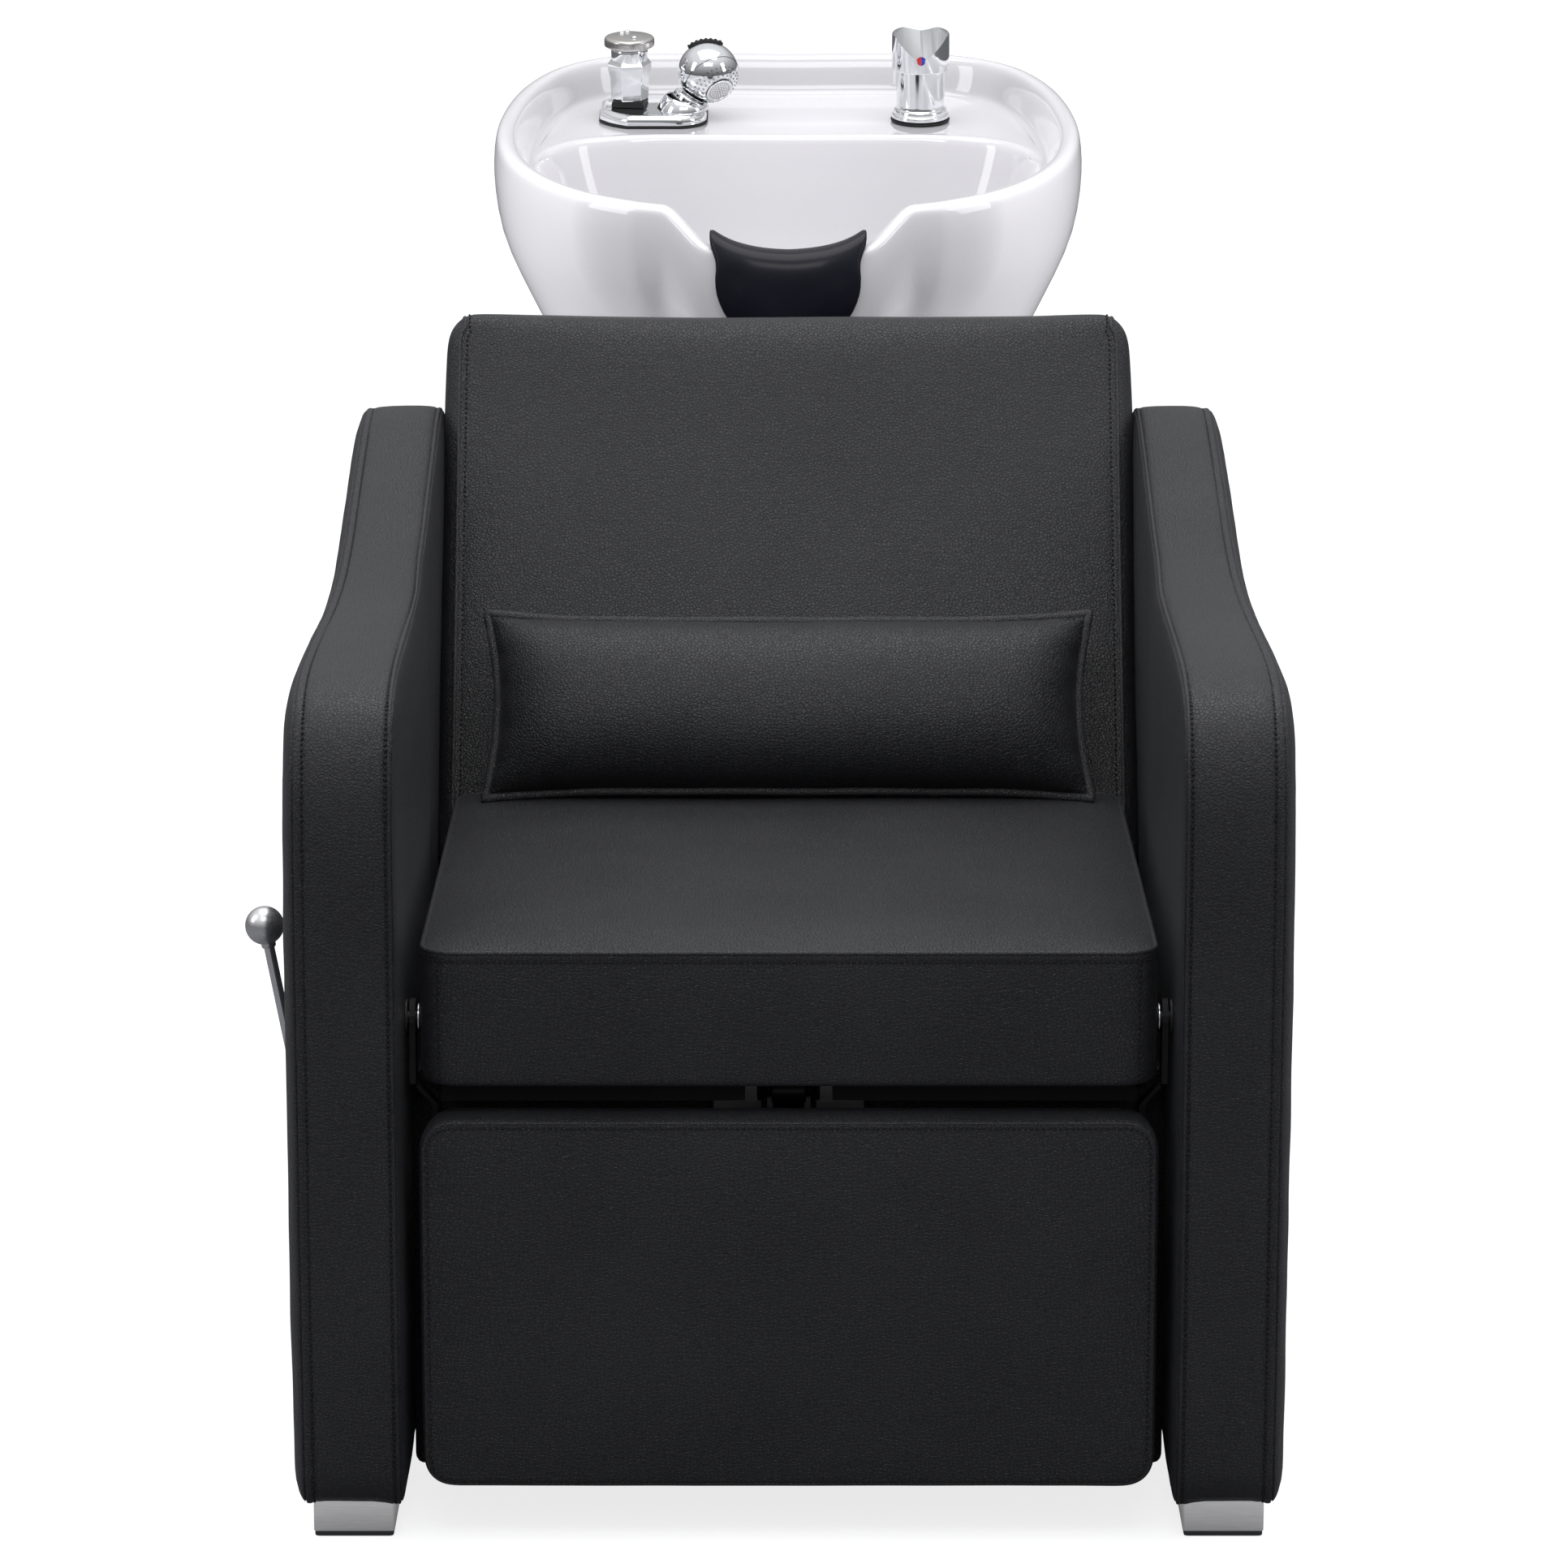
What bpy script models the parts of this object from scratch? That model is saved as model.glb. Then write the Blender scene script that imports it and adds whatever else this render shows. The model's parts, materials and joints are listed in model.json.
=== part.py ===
"""Shampoo backwash unit: an upholstered salon chair with a lifting leg rest, joined by a steel frame
to a pedestal that carries a tilting ceramic wash basin with mixer, vacuum breaker and hand spray.

Frame: +X to the sitter's left (right of the view from the front), +Y from the leg rest towards the
basin, +Z up. The origin is the centre of the pedestal's foot plate, on the floor. Lengths in metres.
Places are given as (x, d, z), where d is measured backwards from the front face of the arms.
"""
import math

import bmesh
import bpy
from mathutils import Vector

for old in list(bpy.data.objects):
    bpy.data.objects.remove(old)

# ---------------------------------------------------------------- driving dimensions
FRONT = -1.120                    # Y of the arm fronts
GAP = 0.0003                      # clearance between stacked parts
PIVOT = (0.065, 0.362)            # leg rest pivot, (d, z)
RECLINE = math.radians(29.7)      # backrest recline from vertical
BACK_TOP = (0.750, 0.750)         # top front edge of the backrest, (d, z)
TILT = (1.080, 0.585)             # basin tilt axis, (d, z)
BASIN_D = 1.160                   # centre of the basin plan, d
RIM_Z, RIM_SLOPE = 0.810, 0.133   # rim height at d = RIM_D and its rise per metre
RIM_D = 0.93
DECK_DROP = 0.032                 # tap deck below the rim plane
DRAIN = (0.0, 1.120)              # centres seen from above, (x, d)
MIXER = (0.1142, 1.308)
BREAKER = (-0.1366, 1.322)
SOCKET = (-0.0930, 1.312)
MIXER_TOP = 0.0475                # turning joint of the mixer above the deck
SPRAY_LEAN = math.radians(31)     # hand spray leans towards +X
LEVER = (0.200, 0.275)            # release lever shaft, (d, z)
GAS_ROD = (0.300, 0.130)          # gas spring rod pivot on the frame, (d, z)
GAS_CYLINDER = (0.100, 0.300)     # gas spring cylinder pivot on the leg rest crank, (d, z)
PILLOW = (0.5345, 0.4790)         # pillow centre, (d, z)
SIDES = ((1, "left"), (-1, "right"))


# ---------------------------------------------------------------- places and curves
def point(x, d, z):
    return Vector((x, FRONT + d, z))


def rim_z(d):
    return RIM_Z + RIM_SLOPE * (d - RIM_D)


def on_deck(place, lift=0.0):
    """A point over the tap deck at (x, d), raised vertically by lift."""
    x, d = place
    return point(x, d, rim_z(d) - DECK_DROP + lift)


def smoothstep(t):
    t = max(0.0, min(1.0, t))
    return t * t * (3 - 2 * t)


def mirrored(side, x0, x1):
    """An X span on the given side, in rising order."""
    return sorted((side * x0, side * x1))


def catmull(points, per):
    """An open curve through points, per samples to a span."""
    pts = [Vector(p) for p in points]
    ext = [pts[0] * 2 - pts[1]] + pts + [pts[-1] * 2 - pts[-2]]
    out = []
    for a, b, c, e in zip(ext, ext[1:], ext[2:], ext[3:]):
        for k in range(per):
            t = k / per
            linear = (2 * b) + (c - a) * t
            square = (2 * a - 5 * b + 4 * c - e) * t * t
            cube = (3 * b - a - 3 * c + e) * t ** 3
            out.append(.5 * (linear + square + cube))
    out.append(pts[-1])
    return out


def inset(poly, dist):
    """A closed 2-D outline (counter-clockwise) moved inwards along its vertex normals."""
    out = []
    for i, here in enumerate(poly):
        tangent_in = (here - poly[i - 1]).normalized()
        tangent_out = (poly[(i + 1) % len(poly)] - here).normalized()
        normal = Vector((-tangent_in.y, tangent_in.x))
        mitre = normal + Vector((-tangent_out.y, tangent_out.x))
        out.append(here + mitre / max(mitre.dot(normal), 0.35) * dist)
    return out


def rounded_rect(x0, x1, y0, y1, radius, n):
    """2-D outline of a rectangle with n segments to each rounded corner."""
    out = []
    left, right, low, high = x0 + radius, x1 - radius, y0 + radius, y1 - radius
    for cx, cy, start in ((right, high, 0), (left, high, 90), (left, low, 180), (right, low, 270)):
        for k in range(n + 1):
            t = math.radians(start + 90 * k / n)
            out.append((cx + radius * math.cos(t), cy + radius * math.sin(t)))
    return out


UP_DECK = Vector((0, -RIM_SLOPE, 1)).normalized()      # normal of the rim and deck planes
SPRAY_DIR = Vector((math.sin(SPRAY_LEAN), -0.06, math.cos(SPRAY_LEAN))).normalized()
UP_BACK = Vector((0, math.sin(RECLINE), math.cos(RECLINE)))      # up along the backrest
OUT_BACK = Vector((0, -math.cos(RECLINE), math.sin(RECLINE)))    # from it towards the sitter


# ---------------------------------------------------------------- materials
def material(name, colour, roughness, metallic=0.0):
    mat = bpy.data.materials.new(name)
    mat.use_nodes = True
    inputs = mat.node_tree.nodes["Principled BSDF"].inputs
    inputs["Base Color"].default_value = (*colour, 1)
    inputs["Roughness"].default_value = roughness
    inputs["Metallic"].default_value = metallic
    return mat


LEATHER = material("black_leatherette", colour=(0.022, 0.023, 0.026), roughness=0.45)
PLY = material("plywood", colour=(0.50, 0.34, 0.18), roughness=0.7)
STEEL = material("black_steel", colour=(0.03, 0.03, 0.032), roughness=0.45, metallic=0.6)
CHROME = material("chrome", colour=(0.78, 0.79, 0.80), roughness=0.08, metallic=1.0)
SATIN = material("satin_metal", colour=(0.62, 0.62, 0.62), roughness=0.35, metallic=1.0)
CERAMIC = material("white_ceramic", colour=(0.90, 0.90, 0.92), roughness=0.08)
RUBBER = material("black_rubber", colour=(0.02, 0.02, 0.022), roughness=0.6)
GEL = material("neck_gel", colour=(0.02, 0.02, 0.03), roughness=0.35)
PLASTIC = material("black_plastic", colour=(0.03, 0.03, 0.032), roughness=0.4)
PANEL = material("pedestal_laminate", colour=(0.035, 0.035, 0.038), roughness=0.35)
HOSE = material("braided_hose", colour=(0.55, 0.56, 0.58), roughness=0.4, metallic=0.7)
INDICATOR = material("indicator", colour=(0.4, 0.05, 0.2), roughness=0.3)

# ---------------------------------------------------------------- bodies
BODIES = {}     # name: (empty, its place)


def body(name, at, parent=None):
    """An empty on the body's joint axis."""
    empty = bpy.data.objects.new("body_" + name, None)
    bpy.context.scene.collection.objects.link(empty)
    at = Vector(at)
    empty.location = at
    if parent:
        empty.parent, parent_at = BODIES[parent]
        empty.location = at - parent_at
    BODIES[name] = (empty, at)


mixer_at = on_deck(MIXER)
mixer_joint = mixer_at + UP_DECK * MIXER_TOP
socket_at = on_deck(SOCKET, 0.010)
drain_origin = point(*DRAIN, 0.645)
door_hinge = point(0.150, 1.305, 0.30)
body("frame", (0, 0, 0))
body("footrest", point(0, *PIVOT), "frame")
body("gas_rod", point(0, *GAS_ROD), "frame")
body("gas_cylinder", point(0, *GAS_CYLINDER), "gas_rod")
body("release_lever", point(-0.30, *LEVER), "frame")
body("basin", point(0, *TILT), "frame")
body("tilt_lock", point(0.11, *TILT), "frame")
body("mixer_spindle", mixer_joint, "basin")
along_deck = Vector((0, 1, RIM_SLOPE)).normalized()     # backwards in the deck plane
body("mixer_handle", mixer_joint + along_deck * 0.018, "mixer_spindle")
body("sprayer", socket_at, "basin")
body("spray_valve", socket_at + SPRAY_DIR * 0.05, "sprayer")
body("strainer", drain_origin, "basin")
body("neck_rest", point(0, 0.88, 0.77), "basin")
body("pillow", point(0, 0.53, 0.48), "frame")
body("pedestal_door", door_hinge, "frame")


# ---------------------------------------------------------------- objects and booleans
def link_mesh(name, bm):
    mesh = bpy.data.meshes.new(name)
    bm.to_mesh(mesh)
    bm.free()
    ob = bpy.data.objects.new(name, mesh)
    bpy.context.scene.collection.objects.link(ob)
    return ob


def add(name, bm, where, mat, origin, smooth=40):
    """Turns a bmesh in world coordinates into an object under the body's empty.

    Edges sharper than smooth (degrees) stay sharp."""
    bmesh.ops.remove_doubles(bm, verts=bm.verts, dist=1e-6)
    bmesh.ops.recalc_face_normals(bm, faces=bm.faces)
    origin = Vector(origin)
    bmesh.ops.translate(bm, verts=bm.verts, vec=-origin)
    ob = link_mesh(name, bm)
    empty, at = BODIES[where]
    ob.parent = empty
    ob.location = origin - at
    ob.data.materials.append(mat)
    ob.data.shade_smooth()
    ob.data.set_sharp_from_angle(angle=math.radians(smooth))
    return ob


def boolean(ob, name, bm, operation):
    """Adds an exact boolean with a hidden helper object made from bm."""
    bmesh.ops.recalc_face_normals(bm, faces=bm.faces)
    helper = link_mesh(name, bm)
    helper.hide_render = True
    helper.display_type = "WIRE"
    mod = ob.modifiers.new(operation.lower() + "_" + helper.name, "BOOLEAN")
    mod.operation = operation
    mod.solver = "EXACT"
    mod.object = helper


def cut(ob, name, bm):
    boolean(ob, name, bm, "DIFFERENCE")


def unite(ob, *pieces):
    for i, bm in enumerate(pieces):
        boolean(ob, f"{ob.name}_join_{i}", bm, "UNION")


# ---------------------------------------------------------------- shapes, as bmeshes in world space
def box(x_span, d_span, z_span, bevel=0.0, seg=2):
    (x0, x1), (d0, d1), (z0, z1) = x_span, d_span, z_span
    bm = bmesh.new()
    bmesh.ops.create_cube(bm, size=1)
    for v in bm.verts:
        sx, sd, sz = (c + .5 for c in v.co)
        v.co = point(x0 + sx * (x1 - x0), d0 + sd * (d1 - d0), z0 + sz * (z1 - z0))
    if bevel:
        bmesh.ops.bevel(bm, geom=bm.edges[:], offset=bevel, segments=seg, profile=0.5,
                        affect="EDGES")
    return bm


def loft(rings, close=False):
    """Skins closed rings of equal point count; close joins the last to the first, else capped."""
    bm = bmesh.new()
    rows = [[bm.verts.new(p) for p in ring] for ring in rings]
    pairs = list(zip(rows, rows[1:])) + ([(rows[-1], rows[0])] if close else [])
    for a, b in pairs:
        n = len(a)
        for i in range(n):
            bm.faces.new((a[i], a[(i + 1) % n], b[(i + 1) % n], b[i]))
    if not close:
        bm.faces.new(rows[0][::-1])
        bm.faces.new(rows[-1])
    return bm


def axes_across(axis):
    """Two unit vectors across the axis, and the axis as a unit vector."""
    w = Vector(axis).normalized()
    if abs(w.z) < .9:
        u = w.orthogonal().normalized()
    else:
        u = Vector((1, 0, 0)).cross(w).cross(w) * -1
    u = (u - w * u.dot(w)).normalized()
    return u, w.cross(u), w


def circle(centre, u, v, radius, n, spin=0.0):
    angles = [spin + 2 * math.pi * i / n for i in range(n)]
    return [centre + (u * math.cos(a) + v * math.sin(a)) * radius for a in angles]


def turned(base, axis, profile, n, spin=0.0):
    """A turned shape: profile is (radius, height) pairs along axis from base.

    A first point repeated last closes a bore."""
    u, v, w = axes_across(axis)
    closed = profile[0] == profile[-1]
    pts = profile[:-1] if closed else profile
    return loft([circle(base + w * h, u, v, r, n, spin) for r, h in pts], close=closed)


def rod(start, end, radius, n=16):
    return turned(start, end - start, [(radius, 0), (radius, (end - start).length)], n)


def x_rod(x0, x1, at, radius, n=16):
    """A rod along X at (d, z)."""
    return rod(point(x0, *at), point(x1, *at), radius, n)


def tube(points, radius, n, inner=None, per=3):
    """A round bar along a smoothed path; inner makes it a hollow hose open at both ends."""
    path = catmull(points, per)
    u = axes_across((path[1] - path[0]).normalized())[0]
    frames = []
    for i, p in enumerate(path):
        t = (path[min(i + 1, len(path) - 1)] - path[max(i - 1, 0)]).normalized()
        u = (u - t * u.dot(t)).normalized()
        frames.append((p, u, t.cross(u)))
    outer = [circle(*f, radius, n) for f in frames]
    if inner is None:
        return loft(outer)
    return loft(outer + [circle(*f, inner, n) for f in frames[::-1]], close=True)


def prism(poly, x0, x1):
    """An outline in (d, z) extruded along X."""
    return loft([[point(x, *p) for p in poly] for x in (x0, x1)])


def ball_profile(radius, angles):
    """(radius, height) points of a sphere about its centre, at degrees up from the lower pole."""
    return [(radius * math.sin(math.radians(t)), -radius * math.cos(math.radians(t)))
            for t in angles]


# ---------------------------------------------------------------- arms
ARM_IN, ARM_OUT = 0.264, 0.341    # X of the inner and outer faces
ARM_IN_REAR = 0.2677              # the arm is a little thinner beside the backrest
CORE_X = (0.288, 0.317)
CORE_FIT = 0.0004                 # slot clearance on each face of the core
FOOT_X, FOOT_HALF = 0.3013, 0.0280
FEET = (("front", 0.053), ("rear", 0.715))      # name, d
# Side outline, (d, z): straight front, soft elbow, level rest, sweep up beside the backrest
ARM_CTRL = [
    (0.012, 0.030), (0.003, 0.060), (0.0, 0.20), (0.0, 0.40), (0.001, 0.500), (0.010, 0.552),
    (0.032, 0.584), (0.075, 0.599), (0.150, 0.603), (0.300, 0.602), (0.400, 0.606),
    (0.480, 0.616), (0.560, 0.636), (0.640, 0.656), (0.700, 0.669), (0.742, 0.672),
    (0.776, 0.661), (0.796, 0.632), (0.800, 0.580), (0.795, 0.400), (0.785, 0.200),
    (0.778, 0.060), (0.768, 0.030)]
# Soft edge: (share of the way from inner to outer face, inset of the outline)
ARM_EDGE = [(0.0, 0.013), (0.05, 0.0055), (0.15, 0.0008), (0.5, -0.001), (0.83, 0.0010),
            (0.94, 0.0060), (1.0, 0.015)]
arm_poly = catmull(ARM_CTRL, 2)[::-1]     # counter-clockwise in (d, z)
# the plywood core follows the outline but stops square just above the feet
core_poly = [p for p in inset(arm_poly, 0.022)[::2] if p.y > 0.08]
core_poly += [Vector((0.022, 0.0345)), Vector((0.755, 0.0345))]
# the slot for it runs out through the underside
slot_poly = [Vector((p.x, p.y if p.y > 0.038 else -0.02)) for p in inset(core_poly, -0.0006)]


def arm_ring(share, dist, side):
    ring = []
    for p in inset(arm_poly, dist):
        inner = ARM_IN + (ARM_IN_REAR - ARM_IN) * smoothstep((p.x - 0.33) / 0.14)
        outer = ARM_OUT - 0.0055 * smoothstep((p.x - 0.03) / 0.40)
        ring.append(point(side * (inner + (outer - inner) * share), *p))
    return ring


def arm(side, tag):
    """Padding over a plywood core, with the pivot and lever holes; returns the padding."""
    origin = point(side * 0.3, 0.4, 0.3)
    rings = [arm_ring(share, dist, side) for share, dist in ARM_EDGE]
    padding = add(f"arm_padding_{tag}", loft(rings), "frame", LEATHER, origin)
    slot_x = mirrored(side, CORE_X[0] - CORE_FIT, CORE_X[1] + CORE_FIT)
    cut(padding, f"arm_slot_{tag}", prism(slot_poly, *slot_x))
    core = add(f"arm_frame_{tag}", prism(core_poly, *mirrored(side, *CORE_X)), "frame", PLY,
               origin, 20)
    # hole for the leg rest pivot bolt, from the inner face into the core
    cut(padding, f"pivot_clear_{tag}", x_rod(side * 0.25, side * 0.2884, PIVOT, 0.0095))
    cut(core, f"pivot_hole_{tag}", x_rod(side * 0.28, side * 0.312, PIVOT, 0.0054))
    if side < 0:
        cut(padding, "lever_clear", x_rod(-0.25, -0.36, LEVER, 0.0090))
        cut(core, "lever_hole", x_rod(-0.28, -0.33, LEVER, 0.0078))
    return padding


def foot(side, tag, where, d, padding):
    """A folded metal boot with a plastic glide, let into the arm's underside."""
    x = side * FOOT_X

    def squares(*levels):
        """Skins squares given as (half width minus FOOT_HALF, z, corner radius)."""
        rings = []
        for grow, z, radius in levels:
            h = FOOT_HALF + grow
            ring = rounded_rect(x - h, x + h, d - h, d + h, radius, 2)
            rings.append([point(*p, z) for p in ring])
        return loft(rings)

    edge, tight = 0.0022, 0.001     # corner radii
    boot = add(f"foot_{where}_{tag}",
               squares((-0.003, 0.0038, tight), (0, 0.0038, edge), (0, 0.0300, edge),
                       (-0.0005, 0.0305, edge)),
               "frame", SATIN, point(x, d, 0), 30)
    cut(boot, f"boot_hollow_{where}_{tag}", squares((-0.003, -0.01, tight), (-0.003, 0.027, tight)))
    cut(padding, f"boot_relief_{where}_{tag}",
        squares((0.0006, -0.01, edge), (0.0006, 0.0309, edge)))
    add(f"glide_{where}_{tag}",
        squares((-0.0010, 0.0, edge), (-0.0004, 0.0008, edge), (-0.0004, 0.0034, edge),
                (-0.0034, 0.0034, tight), (-0.0036, 0.0180, tight)),
        "frame", PLASTIC, point(x, d, 0), 30)


for side, tag in SIDES:
    padding = arm(side, tag)
    for where, d in FEET:
        foot(side, tag, where, d, padding)

# ---------------------------------------------------------------- base frame: one steel weldment
RAIL_D, RAIL_Z = (0.110, 0.915), (0.036, 0.066)
base = add("base_frame", box((-0.250, -0.220), RAIL_D, RAIL_Z), "frame", STEEL,
           point(0, 0.5, 0.05))
pieces = [box((0.220, 0.250), RAIL_D, RAIL_Z)]
CROSS_X = (-0.235, 0.235)
for d in (0.112, 0.306, 0.500, 0.614, 0.880):       # low cross rails
    pieces.append(box((-0.236, 0.236), (d, d + 0.028), (0.038, 0.064)))
PAIRED_TUBES = [    # x span on the left, d span, z span
    ((0.222, 0.248), (0.112, 0.138), (0.050, 0.300)),   # front post
    ((0.222, 0.248), (0.498, 0.524), (0.050, 0.300)),   # rear post
    ((0.221, 0.249), (0.106, 0.530), (0.280, 0.308)),   # seat rail
    ((0.060, 0.090), (0.890, 1.285), (0.037, 0.065)),   # rail under the pedestal
]
for side in (-1, 1):
    for x_span, d_span, z_span in PAIRED_TUBES:
        pieces.append(box(mirrored(side, *x_span), d_span, z_span))
pieces += [
    box(CROSS_X, (0.180, 0.206), (0.282, 0.306)),       # cross rails under the seat
    box(CROSS_X, (0.499, 0.523), (0.283, 0.305)),
    box(CROSS_X, (0.501, 0.521), (0.150, 0.172)),       # between the rear posts
    box((-0.080, 0.080), (1.262, 1.283), (0.039, 0.063)),   # behind the pedestal column
]
unite(base, *pieces)

# upholstered apron board behind the leg rest, notched for the gas spring
apron = add("front_apron", box((-0.2615, 0.2615), (0.080, 0.0965), (0.036, 0.3080), 0.004),
            "frame", LEATHER, point(0, 0.09, 0.17))
cut(apron, "apron_notch", box((-0.050, 0.050), (0.05, 0.13), (0.205, 0.40)))

# ---------------------------------------------------------------- seat
seat_deck = add("seat_deck", box((-0.238, 0.238), (0.045, 0.515), (0.3085, 0.3235)),
                "frame", PLY, point(0, 0.3, 0.31), 20)
# slot for the leg rest's crank
cut(seat_deck, "deck_slot", box((-0.030, 0.030), (0.02, 0.140), (0.29, 0.34)))

SEAT_HALF = 0.2515
SEAT_FRONT, SEAT_REAR = 0.020, 0.507          # d
SEAT_Z_FRONT, SEAT_Z_REAR = 0.423, 0.412      # top of the crown
SEAT_UNDER = 0.3240
SEAT_CROWN = 0.006
SEAT_CORNER = 0.025
# Border: (inset, share of the height, corner radius)
SEAT_BORDER = [(0.020, 0.0, 0.020), (0.009, 0.02, 0.022), (0.006, 0.12, 0.024),
               (0.002, 0.5, SEAT_CORNER), (0.0, 0.88, SEAT_CORNER), (0.003, 0.97, SEAT_CORNER)]
# Top: (inset, share of the crown)
SEAT_TOP = [(0.012, 0.0), (0.05, 0.35), (0.11, 0.7), (0.19, 1.0)]


def seat_cushion():
    """Boxed cushion: rings from the underside up, then a crowned top."""
    def outline(ins, radius):
        return rounded_rect(-SEAT_HALF + ins, SEAT_HALF - ins, SEAT_FRONT + ins,
                            SEAT_REAR - ins, radius, 4)

    def top(d):
        share = (d - SEAT_FRONT) / (SEAT_REAR - SEAT_FRONT)
        return SEAT_Z_FRONT + (SEAT_Z_REAR - SEAT_Z_FRONT) * share

    rings = [[point(x, d, SEAT_UNDER + (top(d) - SEAT_UNDER) * share)
              for x, d in outline(ins, radius)] for ins, share, radius in SEAT_BORDER]
    rings += [[point(x, d, top(d) - SEAT_CROWN + SEAT_CROWN * up)
               for x, d in outline(ins, SEAT_CORNER)] for ins, up in SEAT_TOP]
    # the rear face leans back with the backrest
    lean_from = FRONT + SEAT_REAR - 0.20
    for ring in rings:
        for p in ring:
            lean = smoothstep((p.y - lean_from) / 0.16) * math.tan(RECLINE)
            p.y += lean * max(0.0, p.z - 0.338)
    return loft(rings)


add("seat_cushion", seat_cushion(), "frame", LEATHER, point(0, 0.27, 0.37), 60)

# ---------------------------------------------------------------- backrest
BACK_HALF, BACK_HEIGHT, BACK_THICK = 0.2662, 0.470, 0.082
BOARD_THICK = 0.0153      # from the cushion's back to the board's back
# (inset of the outline, depth behind the front face)
BACK_SECTION = [(0.070, -0.004), (0.024, -0.002), (0.010, 0.002), (0.003, 0.008), (0.0, 0.018),
                (0.0, 0.060), (0.004, BACK_THICK - 0.003), (0.010, BACK_THICK)]
back_top = point(0, *BACK_TOP)


def back_ring(half, upper, lower, depth, radius):
    """Rounded rectangle across the backrest; upper and lower run down from its top."""
    return [back_top + Vector((1, 0, 0)) * x + UP_BACK * s - OUT_BACK * depth
            for x, s in rounded_rect(-half, half, -lower, -upper, radius, 3)]


back_rings = [back_ring(BACK_HALF - ins, ins, BACK_HEIGHT - ins, depth, 0.026)
              for ins, depth in BACK_SECTION]
board_rings = [back_ring(0.256, 0.012, 0.462, BACK_THICK + behind, 0.02)
               for behind in (GAP, BOARD_THICK)]
back_origin = back_top - UP_BACK * 0.23
add("backrest_cushion", loft(back_rings), "frame", LEATHER, back_origin, 60)
add("backrest_board", loft(board_rings), "frame", PLASTIC, back_origin, 30)


def upright(side):
    """Steel upright from a rear cross rail to the backrest board."""
    face = BACK_THICK + BOARD_THICK + GAP
    high = back_top - UP_BACK * 0.100 - OUT_BACK * face
    low = back_top - UP_BACK * 0.440 - OUT_BACK * face
    back = -OUT_BACK * 0.022
    high_d, low_d = high.y - FRONT, low.y - FRONT
    outline = [(high_d + back.y, high.z + back.z), (low_d + 0.028, low.z - 0.03),
               (low_d + 0.026, 0.055), (low_d - 0.004, 0.055), (low_d, low.z), (high_d, high.z)]
    return prism(outline, *mirrored(side, 0.150, 0.176))


# post, clevis and pin that hold the gas spring's rod, welded to the frame
CLEVIS_EAR = [(0.304, 0.1190), (0.2885, 0.1240), (0.2885, 0.1360), (0.304, 0.1410),
              (0.330, 0.1430), (0.330, 0.1190)]     # (d, z)
unite(base, upright(1), upright(-1),
      box((-0.018, 0.018), (0.3185, 0.3330), (0.050, 0.150)),
      prism(CLEVIS_EAR, -0.0175, -0.0140), prism(CLEVIS_EAR, 0.0140, 0.0175),
      x_rod(-0.021, 0.021, GAS_ROD, 0.0040, 12))

# ---------------------------------------------------------------- leg rest
LEG_HALF, LEG_Z = 0.2503, (0.039, 0.298)
# (inset of the outline, d)
LEG_SECTION = [(0.045, 0.0095), (0.014, 0.0115), (0.006, 0.015), (0.0015, 0.021), (0.0, 0.030),
               (0.0, 0.044), (0.004, 0.0500)]
leg_origin = point(0, *PIVOT)


def leg_ring(half, z0, z1, d, radius):
    return [point(x, d, z) for x, z in rounded_rect(-half, half, z0, z1, radius, 3)]


leg_rings = [leg_ring(LEG_HALF - ins, LEG_Z[0] + ins, LEG_Z[1] - ins, d, 0.020)
             for ins, d in LEG_SECTION]
add("footrest_pad", loft(leg_rings), "footrest", LEATHER, leg_origin, 60)
leg_board = [leg_ring(0.244, 0.046, 0.291, d, 0.018) for d in (0.0503, 0.0623)]
add("footrest_board", loft(leg_board), "footrest", PLY, leg_origin, 30)


def arc(centre, radius, degrees):
    return [(centre[0] + radius * math.cos(math.radians(t)),
             centre[1] + radius * math.sin(math.radians(t))) for t in degrees]


# crank lugs that the gas spring pushes on
lug = [(0.0630, 0.250)] + arc(GAS_CYLINDER, 0.0095, range(-60, 91, 30)) + [(0.0630, 0.2890)]
crank = add("footrest_crank", box((-0.030, 0.030), (0.0626, 0.0660), (0.246, 0.2895)),
            "footrest", STEEL, leg_origin, 30)
unite(crank, prism(lug, -0.0190, -0.0150), prism(lug, 0.0150, 0.0190))
cut(crank, "crank_hole", x_rod(-0.03, 0.03, GAS_CYLINDER, 0.0046, 12))

LINK_EYE = arc(PIVOT, 0.0135, range(-20, 201, 20))
LINK_FLAT = LINK_EYE + [(0.0530, 0.318), (0.0665, 0.312), (0.0780, 0.318)]      # (d, z)
LINK_OUTER, LINK_INNER = (0.2560, 0.2600), (0.2415, 0.2455)     # X spans of the steel
LINK_STEP = [(LINK_OUTER, 0.3222), (LINK_OUTER, 0.3160), (LINK_INNER, 0.3000),
             (LINK_INNER, 0.2300)]      # (X span, z)
# Shoulder bolt, (radius, height)
BOLT = [(0.0070, 0), (0.0098, 0.0008), (0.0100, 0.0028), (0.0048, 0.0029), (0.0048, 0.0560)]


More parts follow.
